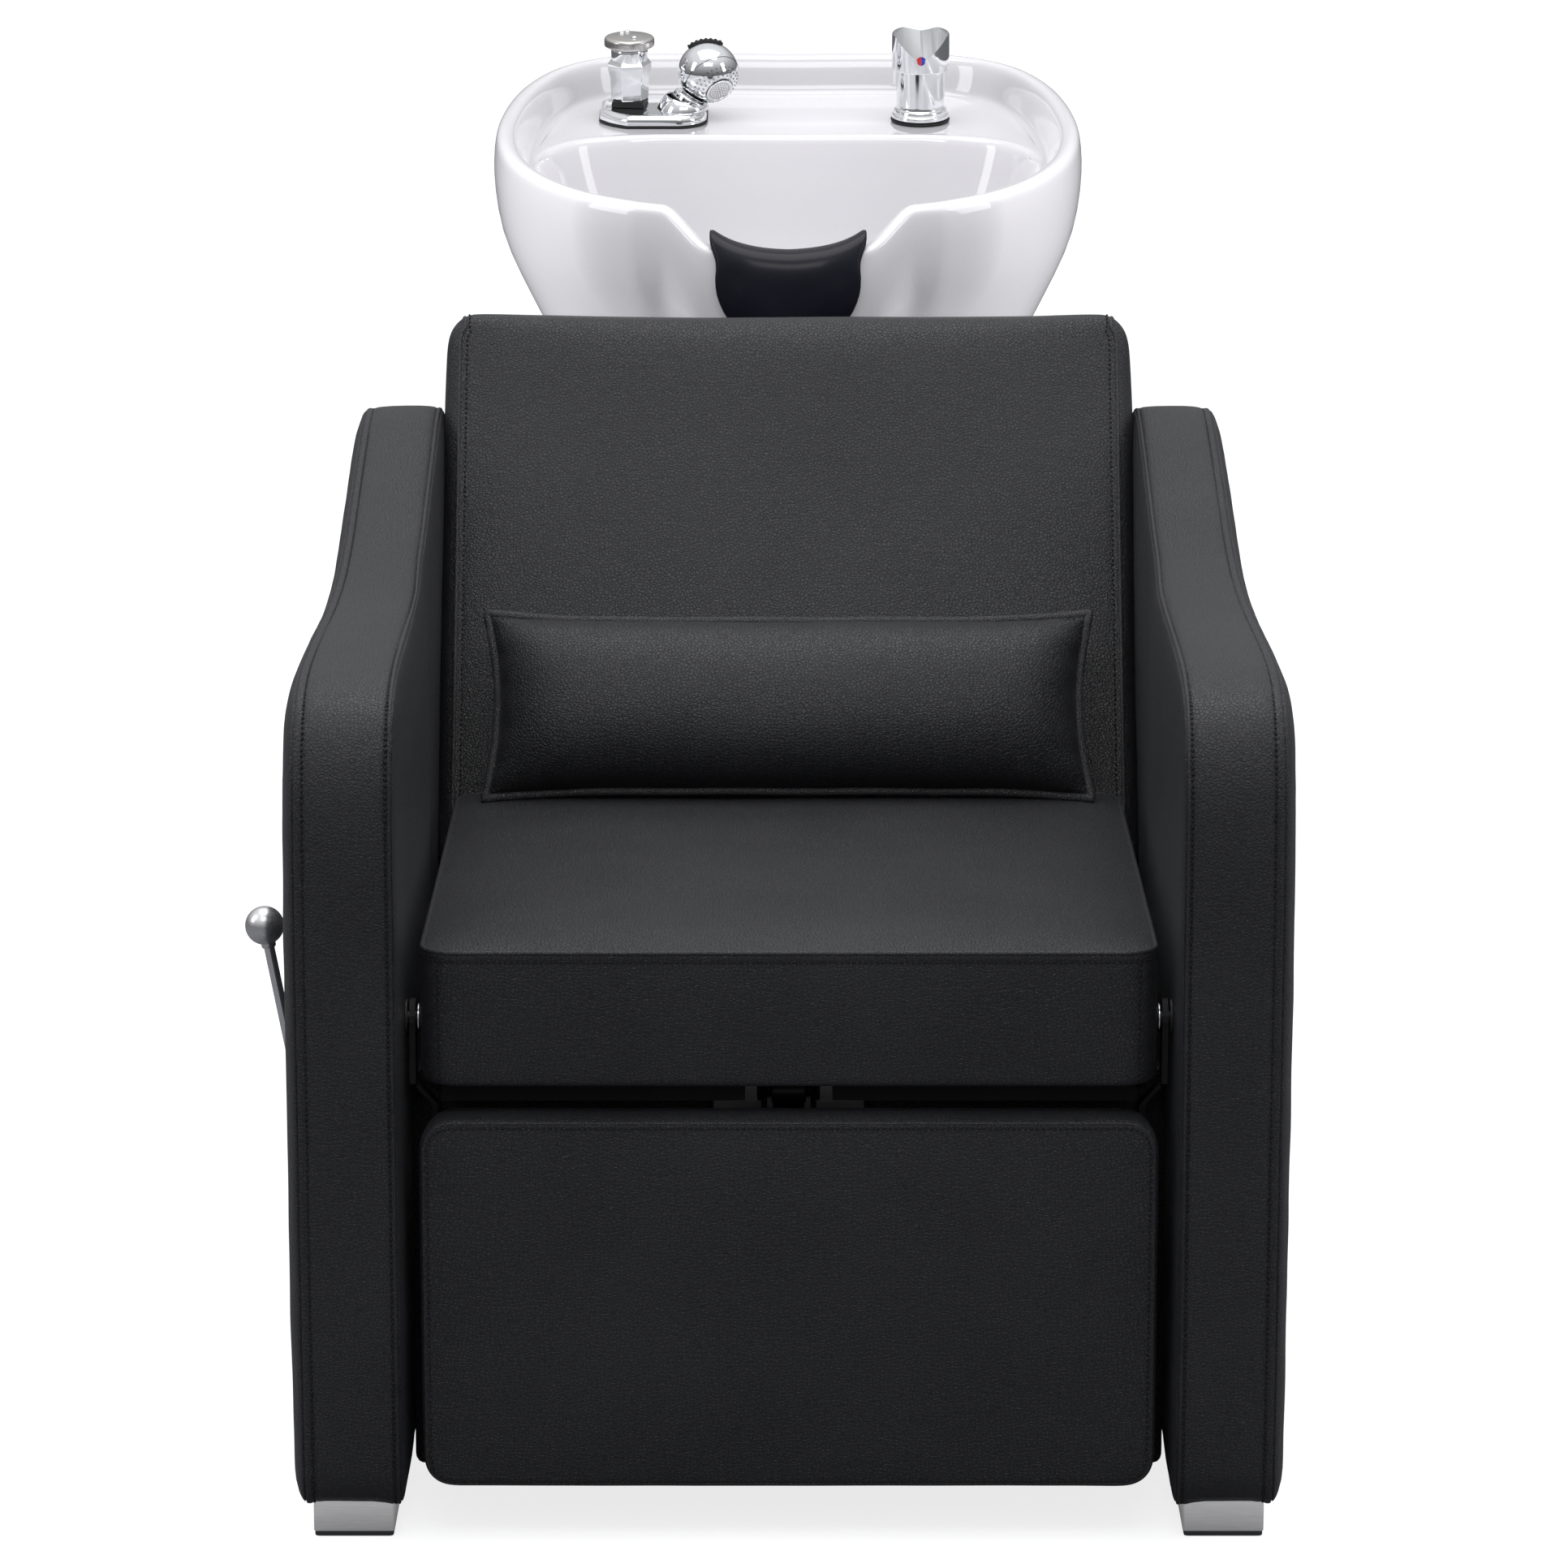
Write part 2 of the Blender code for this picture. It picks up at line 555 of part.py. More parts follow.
def footrest_link(side, tag):
    """Steel link: flat beside the cushion, stepped in under it, with a flange on the board."""
    origin = point(side * 0.258, *PIVOT)
    link = add(f"footrest_link_{tag}", prism(LINK_FLAT, *mirrored(side, *LINK_OUTER)),
               "footrest", STEEL, origin, 30)
    rings = []
    for (x0, x1), z in LINK_STEP:
        corners = ((x0, 0.0645), (x1, 0.0645), (x1, 0.0768), (x0, 0.0768))
        rings.append([point(side * x, d, z) for x, d in corners])
    flange = box(mirrored(side, 0.2455, 0.2080), (0.0628, 0.0668), (0.2305, 0.2880))
    unite(link, loft(rings), flange)
    cut(link, f"link_hole_{tag}", x_rod(side * 0.250, side * 0.266, PIVOT, 0.0053))
    # chrome shoulder bolt into the arm core
    add(f"footrest_pivot_bolt_{tag}", turned(point(side * 0.2520, *PIVOT), (side, 0, 0), BOLT, 18),
        "frame", CHROME, origin, 30)


for side, tag in SIDES:
    footrest_link(side, tag)

# ---------------------------------------------------------------- gas spring
ALONG_X = (1, 0, 0)
EYE_HOLE = 0.0046       # radius
CYLINDER = 0.180        # length from the open end to the pivot
rod_at, cylinder_at = point(0, *GAS_ROD), point(0, *GAS_CYLINDER)
gas_dir = (cylinder_at - rod_at).normalized()
gas_length = (cylinder_at - rod_at).length
gas_rod = add("gas_spring_rod", turned(rod_at, gas_dir, [(0.0048, 0.0), (0.0048, 0.205)], 12),
              "gas_rod", CHROME, rod_at, 30)
unite(gas_rod, turned(point(-0.0105, *GAS_ROD), ALONG_X, [(0.0125, 0), (0.0125, 0.021)], 16))
cut(gas_rod, "rod_eye_hole", x_rod(-0.03, 0.03, GAS_ROD, EYE_HOLE, 12))

cylinder_profile = [(0.0090, 0), (0.0110, 0.002), (0.0110, 0.158), (0.006, 0.162),
                    (0.006, CYLINDER)]      # (radius, height)
cylinder = add("gas_spring_cylinder",
               turned(rod_at + gas_dir * (gas_length - CYLINDER), gas_dir, cylinder_profile, 14),
               "gas_cylinder", PLASTIC, cylinder_at, 30)
cut(cylinder, "cylinder_bore",
    rod(rod_at + gas_dir * (gas_length - 0.19), rod_at + gas_dir * (gas_length - 0.026),
        0.0056, 14))
unite(cylinder,
      turned(point(-0.0120, *GAS_CYLINDER), ALONG_X, [(0.0085, 0), (0.0085, 0.024)], 14))
cut(cylinder, "cylinder_eye_hole", x_rod(-0.03, 0.03, GAS_CYLINDER, EYE_HOLE, 12))

# ---------------------------------------------------------------- release lever, right arm
lever_origin = point(-0.30, *LEVER)
OUTWARD = (-1, 0, 0)
# (radius, height), outwards from the inner end
SHAFT = [(0.0070, 0), (0.0070, 0.0936), (0.0100, 0.0942), (0.0100, 0.1040), (0.0085, 0.1055)]
SHAFT_FINGER = [(0.190, 0.280), (0.193, 0.240), (0.200, 0.234), (0.207, 0.240),
                (0.210, 0.280)]     # (d, z)
shaft = add("lever_shaft", turned(point(-0.2530, *LEVER), OUTWARD, SHAFT, 16),
            "release_lever", CHROME, lever_origin, 30)
unite(shaft, prism(SHAFT_FINGER, -0.2562, -0.2532))
# the stick rises outwards from the shaft's head, rooted a little way into it
STICK_ROOT = 0.004
stick_low = point(-0.3518, LEVER[0], LEVER[1] + 0.0103)
stick = point(-0.3680, 0.200, 0.3785) - stick_low
stick_dir = stick.normalized()
unite(shaft, turned(stick_low - stick_dir * STICK_ROOT, stick,
                    [(0.0048, 0), (0.0048, stick.length + STICK_ROOT)], 12))
knob = ball_profile(0.0138, (24, 40, 60, 80, 100, 120, 140, 160, 172))
add("lever_knob", turned(stick_low + stick + stick_dir * 0.0131, stick, knob, 16),
    "release_lever", SATIN, lever_origin, 50)
ESCUTCHEON = [(0.0078, 0), (0.0078, 0.0046), (0.017, 0.0046), (0.0185, 0.0030), (0.0190, 0.0),
              (0.0078, 0)]      # (radius, height)
add("lever_escutcheon", turned(point(-0.3414, *LEVER), OUTWARD, ESCUTCHEON, 20),
    "frame", PLASTIC, point(-0.343, *LEVER))


# ---------------------------------------------------------------- pillow
def pillow(centre, wide, high, thick, nu=14, nv=8):
    """A lens with gently drawn-in edges, leaning on the backrest."""
    bm = bmesh.new()
    front, rear = [], []
    for j in range(nv + 1):
        front_row, rear_row = [], []
        for i in range(nu + 1):
            u, v = -1 + 2 * i / nu, -1 + 2 * j / nv
            u, v = math.copysign(abs(u) ** 0.8, u), math.copysign(abs(v) ** 0.8, v)
            # the long and short edges are drawn in towards their middles
            long_pull = 0.010 * (1 - u * u) * abs(v) ** 3
            short_pull = 0.008 * (1 - v * v) * abs(u) ** 6
            bulge = (max(0, 1 - abs(u) ** 5) ** 0.55) * (max(0, 1 - v * v) ** 0.62)
            bulge *= thick / 2
            mid = centre + Vector((u * (wide / 2 - short_pull), 0, 0))
            mid += UP_BACK * (v * (high / 2 - long_pull * 0.5))
            if i in (0, nu) or j in (0, nv):
                seam = bm.verts.new(mid)
                front_row.append(seam)
                rear_row.append(seam)
            else:
                front_row.append(bm.verts.new(mid + OUT_BACK * bulge))
                rear_row.append(bm.verts.new(mid - OUT_BACK * bulge))
        front.append(front_row)
        rear.append(rear_row)
    for j in range(nv):
        for i in range(nu):
            bm.faces.new((front[j][i], front[j][i + 1], front[j + 1][i + 1], front[j + 1][i]))
            bm.faces.new((rear[j][i], rear[j + 1][i], rear[j + 1][i + 1], rear[j][i + 1]))
    return bm


pillow_at = point(0, *PILLOW)
add("lumbar_pillow", pillow(pillow_at, wide=0.460, high=0.150, thick=0.096), "pillow", LEATHER,
    pillow_at, 60)

# ---------------------------------------------------------------- basin
# Rim crest seen from above on +X, (x, d), from the rear centre round to the front centre
HALF_PLAN = [
    (0.0, 1.408), (0.080, 1.410), (0.140, 1.405), (0.186, 1.374), (0.213, 1.322),
    (0.229, 1.250), (0.235, 1.160), (0.226, 1.075), (0.203, 1.008), (0.168, 0.957),
    (0.125, 0.926), (0.098, 0.914), (0.063, 0.897), (0.032, 0.884), (0.0, 0.880)]
PLAN_REAR = HALF_PLAN[0][1]
BOWL_FLOOR, BOWL_UNDER = 0.645, 0.629       # z that the well's two faces fall towards
half_plan = catmull(HALF_PLAN, 2)
# clockwise seen from above, rear centre first
plan = half_plan + [Vector((-p.x, p.y)) for p in half_plan[-2:0:-1]]
plan_normals = []       # outwards
for i in range(len(plan)):
    tangent = (plan[(i + 1) % len(plan)] - plan[i - 1]).normalized()
    plan_normals.append(Vector((-tangent.y, tangent.x)))


def front_share(p):
    """1 in the front, 0 from the middle back."""
    return smoothstep((1.02 - p.y) / 0.10)


def neck_dip(p):
    """How far the front rim dips for the neck."""
    a = abs(p.x)
    if a >= 0.100:
        dip = 0.0
    elif a >= 0.060:
        dip = 0.028 * smoothstep((0.100 - a) / 0.040) ** 0.9
    else:
        dip = 0.028 + 0.016 * (1 - (a / 0.060) ** 2)
    return dip * front_share(p)


def crest(p):
    return rim_z(p.y) - neck_dip(p)


def rim_ring(off, drop):
    """Ring near the rim: moved outwards along the plan normal and down."""
    return [point(p.x + n.x * off, p.y + n.y * off, crest(p) - drop)
            for p, n in zip(plan, plan_normals)]


def scaled_ring(scale, z, slope):
    """Plan scaled about the basin's centre at height z, plus a rise per metre to the back."""
    ring = []
    for p in plan:
        d = BASIN_D + (p.y - BASIN_D) * scale
        ring.append(point(p.x * scale, d, z + slope * (d - BASIN_D)))
    return ring


def deck_ring(ins, drop, extra=0.0):
    """Ring inside the rim, below it by drop (a tenth less in the front) and by extra."""
    ring = []
    for p, n in zip(plan, plan_normals):
        d = p.y - n.y * ins
        z = rim_z(d) - neck_dip(p) - drop * (1 - 0.1 * front_share(p)) - extra
        ring.append(point(p.x - n.x * ins, d, z))
    return ring


def well_ring(share, floor, lift, grow=0.0):
    """The bowl proper, whose rear edge stands forward of the tap deck.

    share is 1 at the edge and 0 at the drain; lift is 1 at edge height and 0 at floor."""
    ring = []
    for p in plan:
        if p.y > BASIN_D:
            reach = (1.253 + grow * 0.6 - BASIN_D) / (PLAN_REAR - BASIN_D)
        else:
            reach = 0.955
        edge_x = p.x * 0.905 * (1 + grow)
        edge_d = BASIN_D + (p.y - BASIN_D) * reach * (1 + grow)
        x = DRAIN[0] + (edge_x - DRAIN[0]) * share
        d = DRAIN[1] + (edge_d - DRAIN[1]) * share
        # in the front the well wall runs up to the dipped rim
        edge_z = rim_z(d) - DECK_DROP - neck_dip(p) * 0.9
        ring.append(point(x, d, edge_z + (floor - edge_z) * (1 - lift)))
    return ring


def drain_ring(radius, z):
    angles = [math.atan2(p.y - BASIN_D, p.x) for p in plan]
    return [point(DRAIN[0] + radius * math.cos(a), DRAIN[1] + radius * math.sin(a), z)
            for a in angles]


bowl_rings = [
    # outer skirt, from the bottom up
    scaled_ring(0.70, 0.640, 0.06), scaled_ring(0.825, 0.668, 0.08),
    scaled_ring(0.940, 0.718, 0.11),
    rim_ring(0.0060, 0.074), rim_ring(0.0118, 0.034), rim_ring(0.0095, 0.010),
    # rounded rim
    rim_ring(0.0040, 0.0012), rim_ring(-0.0035, 0.0012), rim_ring(-0.0092, 0.010),
    # deck and well, down to the drain
    deck_ring(0.0145, 0.0265), deck_ring(0.0200, DECK_DROP),
    well_ring(1.0, BOWL_FLOOR, 1.0), well_ring(0.945, BOWL_FLOOR, 0.80),
    well_ring(0.84, BOWL_FLOOR, 0.47), well_ring(0.63, BOWL_FLOOR, 0.18),
    well_ring(0.34, BOWL_FLOOR, 0.03), drain_ring(0.0235, 0.6440),
    # underside of the well, back up
    drain_ring(0.0235, 0.6290), drain_ring(0.085, 0.6290),
    well_ring(0.64, BOWL_UNDER, 0.15, 0.03), well_ring(0.865, BOWL_UNDER, 0.46, 0.04),
    well_ring(0.960, BOWL_UNDER, 0.80, 0.045),
    # inside of the skirt, back down
    deck_ring(0.0135, DECK_DROP, 0.0115), rim_ring(-0.0055, 0.074),
    scaled_ring(0.890, 0.720, 0.11), scaled_ring(0.775, 0.672, 0.08),
    scaled_ring(0.655, 0.640, 0.06)]
bowl = add("basin_bowl", loft(bowl_rings, close=True), "basin", CERAMIC, point(0, *TILT), 50)
for name, place, radius in (("mixer_hole", MIXER, 0.0165), ("breaker_hole", BREAKER, 0.0125),
                            ("socket_hole", (SOCKET[0] - 0.004, SOCKET[1]), 0.0150)):
    at = on_deck(place)
    cut(bowl, name, rod(at - UP_DECK * 0.06, at + UP_DECK * 0.03, radius))

# Neck rest section from the crest, (backwards, up): the face on the ceramic, then the free face
NECK_UNDER = [(0.0272, -0.0215), (0.0155, -0.0085), (0.006, -0.0005), (0.0, 0.0018),
              (-0.008, -0.0005), (-0.0130, -0.010), (-0.0150, -0.034), (-0.0130, -0.058)]
NECK_OVER = [(-0.0200, -0.060), (-0.0225, -0.034), (-0.0200, -0.006), (-0.0110, 0.0055),
             (0.0, 0.0086), (0.0090, 0.0060), (0.0212, -0.0050), (0.0330, -0.0185)]
NECK_HALF = 0.062
NECK_GAP = 0.0014


def neck_rest(nx=10):
    """A gel saddle over the dipped lip, its section swept along the front crest in x."""
    front = sorted((p for p in plan if p.y < 1.0), key=lambda p: p.x)
    rings = []
    for i in range(nx + 1):
        x = -NECK_HALF + 2 * NECK_HALF * i / nx
        a, b = next((a, b) for a, b in zip(front, front[1:]) if a.x <= x <= b.x)
        lip = a.lerp(b, (x - a.x) / (b.x - a.x))
        z = crest(lip) + NECK_GAP
        lift = 0.004 * (abs(x) / NECK_HALF) ** 4     # thicker towards the ends
        rings.append([point(x, lip.y + back, z + up) for back, up in NECK_UNDER]
                     + [point(x, lip.y + back, z + up + lift) for back, up in NECK_OVER])
    return loft(rings)


add("neck_rest", neck_rest(), "neck_rest", GEL, point(0, 0.88, 0.77), 60)

# drain: flanged body, lift-out strainer and waste hose; profiles are (radius, height)
UPRIGHT = (0, 0, 1)
DRAIN_BODY = [(0.0160, 0), (0.0190, 0), (0.0190, 0.062), (0.0220, 0.064), (0.0220, 0.0846),
              (0.0330, 0.0876), (0.0330, 0.0886), (0.0200, 0.0866), (0.0200, 0.066),
              (0.0160, 0.064), (0.0160, 0)]
STRAINER = [(0.0150, 0), (0.0165, 0.001), (0.0185, 0.0182), (0.0250, 0.0205),
            (0.0250, 0.0217), (0.0170, 0.0205), (0.0145, 0.0030)]
add("drain_body", turned(point(*DRAIN, 0.560), UPRIGHT, DRAIN_BODY, 20), "basin", CHROME,
    point(*DRAIN, 0.60), 30)
strainer = add("hair_strainer", turned(point(*DRAIN, 0.6290), UPRIGHT, STRAINER, 18),
               "strainer", CHROME, drain_origin, 30)
for k, (x, d) in enumerate(arc(DRAIN, 0.0085, range(0, 360, 60))):
    cut(strainer, f"strainer_hole_{k}", rod(point(x, d, 0.62), point(x, d, 0.66), 0.0026, 6))
OUTLET_D = DRAIN[1] + 0.085
# (offset behind the drain, z)
WASTE_PATH = [(0, 0.530), (0, 0.46), (0.02, 0.38), (0.065, 0.26), (0.085, 0.14), (0.085, 0.012)]
waste = tube([point(0, DRAIN[1] + back, z) for back, z in WASTE_PATH], 0.0225, 10,
             inner=0.0205, per=2)
add("waste_hose", waste, "frame", PLASTIC, point(0, DRAIN[1], 0.3), 60)

# ---------------------------------------------------------------- basin cradle, column and tilt
# Ear outlines, (d, z)
CRADLE_EAR = [(1.040, 0.6235), (1.060, 0.575), (1.072, 0.565), (1.088, 0.565), (1.100, 0.575),
              (1.120, 0.6235)]
COLUMN_EAR = [(1.020, 0.5700), (1.068, 0.600), (1.090, 0.600), (1.101, 0.580),
              (1.100, 0.5480), (1.000, 0.5480)]
cradle = add("basin_cradle", box((-0.100, 0.100), (0.990, 1.195), (0.6185, 0.6285)),
             "basin", STEEL, point(0, *TILT), 30)
unite(cradle, prism(CRADLE_EAR, -0.0985, -0.0935), prism(CRADLE_EAR, 0.0935, 0.0985))
cut(cradle, "cradle_drain_hole", rod(point(*DRAIN, 0.60), point(*DRAIN, 0.65), 0.026, 20))
column = add("basin_column", box((-0.040, 0.040), (0.985, 1.045), (0.070, 0.5485)),
             "frame", STEEL, point(0, 1.015, 0.3), 30)
unite(column,
      box((-0.095, 0.095), (0.955, 1.075), (0.0663, 0.0743)),       # foot
      box((-0.0920, 0.0920), (0.968, 1.052), (0.5460, 0.5540)),     # head
      prism(COLUMN_EAR, -0.0920, -0.0870), prism(COLUMN_EAR, 0.0870, 0.0920))
for side in (-1, 1):
    for ob, name in ((cradle, "cradle"), (column, "bracket")):
        cut(ob, f"{name}_ear_hole_{side}", x_rod(side * 0.08, side * 0.11, TILT, 0.0056, 14))
AXLE = [(0.0085, 0), (0.0090, 0.001), (0.0090, 0.0070), (0.0050, 0.0071), (0.0050, 0.2065)]
add("tilt_axle", turned(point(-0.1060, *TILT), ALONG_X, AXLE, 12), "frame", SATIN,
    point(0, *TILT), 30)
LOCK_HUB = [(0.0120, 0), (0.0135, 0.002), (0.0135, 0.016), (0.0110, 0.018)]
LOCK_GRIP = [(0.0055, 0), (0.0065, 0.05), (0.0085, 0.078), (0.0050, 0.084)]
lock = add("tilt_lock_handle", turned(point(0.1010, *TILT), ALONG_X, LOCK_HUB, 16),
           "tilt_lock", PLASTIC, point(0.11, *TILT), 30)
grip_start = point(0.112, *TILT)
grip_end = point(0.128, TILT[0] + 0.078, TILT[1] - 0.012)
unite(lock, turned(grip_start, grip_end - grip_start, LOCK_GRIP, 10))

# ---------------------------------------------------------------- pedestal
foot_plate = add("pedestal_foot_plate", box((-0.158, 0.158), (0.930, 1.310), (0.0, 0.0060)),
                 "frame", STEEL, (0, 0, 0), 30)
# blocks under the frame's rails
unite(foot_plate, *[box(x_span, d_span, (0.004, 0.0364))
                    for d_span in ((0.935, 0.965), (1.255, 1.285))
                    for x_span in ((-0.092, -0.058), (0.058, 0.092))])
cut(foot_plate, "waste_outlet",
    rod(point(0, OUTLET_D, -0.01), point(0, OUTLET_D, 0.02), 0.030, 20))

SHELL_HALF, SHELL_D, SHELL_CORNER, SHELL_WALL = 0.155, (0.938, 1.300), 0.035, 0.010


def shell_line(ins):
    """One face of the wall in (x, d): down the right side, across the front, back up the left."""
    half, front, radius = SHELL_HALF - ins, SHELL_D[0] + ins, SHELL_CORNER - ins
    line = [(-half, SHELL_D[1])]
    for centre_x, start in ((-half + radius, 180), (half - radius, 270)):
        for k in range(5):
            t = math.radians(start + 90 * k / 4)
            line.append((centre_x + radius * math.cos(t), front + radius + radius * math.sin(t)))
    return line + [(half, SHELL_D[1])]


# U-shaped wall seen from above: closed front and sides, open at the back
shell_outline = shell_line(0) + shell_line(SHELL_WALL)[::-1]
shell = loft([[point(x, d, z) for x, d in shell_outline] for z in (0.0685, 0.5380)])
add("pedestal_shell", shell, "frame", PANEL, point(0, 1.12, 0.3), 30)
door = add("pedestal_door",
           box((-0.1520, 0.1350), (1.3006, 1.3120), (0.0700, 0.5370), 0.002, 1),
           "pedestal_door", PANEL, door_hinge, 30)
HINGE_X, HINGE_D = (0.130, 0.1478), (1.3040, 1.3080)
unite(door, box(HINGE_X, HINGE_D, (0.140, 0.180)), box(HINGE_X, HINGE_D, (0.420, 0.460)))
DOOR_KNOB = [(0.005, 0), (0.005, 0.008), (0.011, 0.014), (0.011, 0.020), (0.008, 0.022)]
unite(door, turned(point(-0.128, 1.3100, 0.300), (0, 1, 0), DOOR_KNOB, 14))


# ---------------------------------------------------------------- taps; profiles: (radius, height)
def add_turned(where, name, base, axis, profile, n, mat, spin=0.0, smooth=35):
    """A turned piece with its origin at its base."""
    return add(name, turned(base, axis, profile, n, spin), where, mat, base, smooth)


# mixer: gasket, body with flange, turning spindle, lifting cap
GASKET = [(0.0170, 0), (0.0170, 0.0016), (0.0252, 0.0016), (0.0252, 0), (0.0170, 0)]
MIXER_BODY = [(0.0110, -0.042), (0.0150, -0.042), (0.0150, 0), (0.0245, 0), (0.0248, 0.0030),
              (0.0225, 0.0075), (0.0212, 0.0100), (0.0208, 0.0433), (0.0198, 0.0443),
              (0.0110, 0.0443), (0.0110, -0.042)]
STEM = [(0.0140, 0), (0.0140, 0.0016), (0.0055, 0.0020), (0.0055, 0.0100)]
CAP = [(0.0226, 0), (0.0242, 0), (0.0246, 0.0010), (0.0246, 0.0300), (0.0236, 0.0312)]
CAP_HOLLOW = [(0.0226, 0), (0.0226, 0.0130), (0.0130, 0.0200)]
add_turned("basin", "mixer_gasket", mixer_at + UP_DECK * GAP, UP_DECK, GASKET, 24, RUBBER)
add_turned("basin", "mixer_body", mixer_at + UP_DECK * 0.0022, UP_DECK, MIXER_BODY, 24, CHROME)
add_turned("mixer_spindle", "mixer_stem", mixer_at + UP_DECK * 0.0469, UP_DECK, STEM, 16, CHROME)
cap_at = mixer_at + UP_DECK * 0.0455
cap = add_turned("mixer_handle", "mixer_cap", cap_at, UP_DECK, CAP, 24, CHROME, smooth=40)
cut(cap, "cap_hollow", turned(mixer_at + UP_DECK * 0.0405, UP_DECK, CAP_HOLLOW, 24))
# a large rod, rising to the back, scoops the top of the cap
cut(cap, "cap_scoop", rod(cap_at + Vector((0, -0.060, 0.0290)),
                          cap_at + Vector((0, 0.040, 0.0640)), 0.0300, 28))
DOT_THICK = 0.0008
dot_at = cap_at + Vector((0, -0.0247, 0)) + UP_DECK * 0.0085 - Vector((0, DOT_THICK, 0))
add_turned("mixer_handle", "mixer_indicator", dot_at, (0, -1, 0),
           [(0.0042, 0), (0.0042, DOT_THICK)], 16, INDICATOR)

# tap plate with gasket, under the vacuum breaker and spray socket
PLATE_TOP = 0.0105
PLATE_X, PLATE_D, PLATE_CORNER = (-0.1620, -0.0700), (1.2780, 1.3620), 0.020


def plate_ring(grow, height):
    """Rounded plate outline lying on the deck at a height above it."""
    outline = rounded_rect(PLATE_X[0] - grow, PLATE_X[1] + grow, PLATE_D[0] - grow,
                           PLATE_D[1] + grow, PLATE_CORNER, 4)
    return [on_deck(place) + UP_DECK * height for place in outline]


plate_origin = on_deck(BREAKER, 0.010)
plate_gasket = add("tap_plate_gasket", loft([plate_ring(0.0006, GAP), plate_ring(0.0006, 0.0016)]),
                   "basin", RUBBER, plate_origin, 30)
tap_plate = add("tap_plate",
                loft([plate_ring(0.0, 0.0019), plate_ring(-0.0006, PLATE_TOP - 0.002),
                      plate_ring(-0.0026, PLATE_TOP)]),
                "basin", CHROME, plate_origin)
for name, place, radius in (("breaker", BREAKER, 0.0118),
                            ("socket", (SOCKET[0] + 0.001, SOCKET[1]), 0.0142)):
    at = on_deck(place)
    for ob, prefix in ((tap_plate, "plate"), (plate_gasket, "gasket")):
        cut(ob, f"{prefix}_{name}", rod(at - UP_DECK * 0.01, at + UP_DECK * 0.02, radius, 18))

# vacuum breaker
COLLAR = [(0.0118, 0), (0.0165, 0), (0.0160, 0.0040), (0.0118, 0.0040), (0.0118, 0)]
BREAKER_BODY = [(0.0075, 0), (0.0112, 0), (0.0112, 0.0452), (0.0165, 0.0454),
                (0.0178, 0.0580), (0.0186, 0.0700), (0.0152, 0.0770), (0.0150, 0.0880),
                (0.0120, 0.0880), (0.0120, 0.0560), (0.0075, 0.0540), (0.0075, 0)]
BONNET = [(0.0080, 0), (0.0080, 0.0030), (0.0200, 0.0035), (0.0214, 0.0050),
          (0.0214, 0.0105), (0.0200, 0.0120), (0.0080, 0.0128)]
breaker_at = on_deck(BREAKER)
add_turned("basin", "breaker_collar", breaker_at + UP_DECK * (PLATE_TOP + GAP), UP_DECK,
           COLLAR, 18, RUBBER)
add_turned("basin", "breaker_body", breaker_at - UP_DECK * 0.0300, UP_DECK, BREAKER_BODY, 12,
           CHROME, spin=math.radians(15), smooth=20)
add_turned("basin", "breaker_bonnet", breaker_at + UP_DECK * 0.0583, UP_DECK, BONNET, 24, CHROME)

# spray socket: leaning cup through the plate
CUP = [(0.0088, -0.034), (0.0108, -0.034), (0.0108, 0.000), (0.0140, 0.010),
       (0.0168, 0.0135), (0.0172, 0.0175), (0.0150, 0.0185), (0.0122, 0.013),
       (0.0088, 0.004), (0.0088, -0.034)]
CUP_PASS = [(0.0116, 0), (0.0116, 0.0775), (0.0150, 0.0875), (0.0188, 0.0925), (0.0190, 0.110)]
socket_base = on_deck(SOCKET)
cup_at = socket_base + SPRAY_DIR * 0.004
add_turned("basin", "spray_socket", cup_at, SPRAY_DIR, CUP, 22, CHROME)
# the plate, gasket and bowl are opened where the leaning cup passes
for ob, name in ((tap_plate, "plate"), (plate_gasket, "gasket"), (bowl, "bowl")):
    cut(ob, f"{name}_cup_pass", turned(socket_base - SPRAY_DIR * 0.075, SPRAY_DIR, CUP_PASS, 16))

# hand spray: a ball whose axis is the spray face's, on a neck that stands in the cup
HEAD = ball_profile(0.0262, (12, 26, 42, 58, 74, 90, 106, 120, 131))
NECK = [(0.0066, 0), (0.0078, 0.0005), (0.0105, 0.0080), (0.0110, 0.0200), (0.0100, 0.0330)]
FACE = [(0.0198, 0.0180), (0.0188, 0.0190), (0.0140, 0.0217), (0.0080, 0.0238)]
VALVE = [(0.0110, 0), (0.0113, 0.0025), (0.0095, 0.0052), (0.0050, 0.0062)]
head_at = cup_at + SPRAY_DIR * 0.0432
face_dir = Vector((0.36, -0.86, -0.345)).normalized()
valve_dir = Vector((-0.10, 0.22, 0.97)).normalized()
head = add_turned("sprayer", "spray_head", head_at, face_dir, HEAD, 20, CHROME, smooth=60)
unite(head, turned(cup_at + SPRAY_DIR * 0.0060, SPRAY_DIR, NECK, 16))
add_turned("sprayer", "spray_face", head_at, face_dir, FACE, 22, SATIN)
cut(head, "valve_pocket",
    rod(head_at + valve_dir * 0.0192, head_at + valve_dir * 0.035, 0.0119, 18))
add_turned("spray_valve", "spray_thumb_valve", head_at + valve_dir * 0.0222, valve_dir, VALVE,
           16, RUBBER, smooth=60)
spray_hose = turned(cup_at - SPRAY_DIR * 0.1150, SPRAY_DIR, [(0.0058, 0), (0.0058, 0.1207)], 12)
add("spray_hose", spray_hose, "sprayer", HOSE, cup_at, 60)

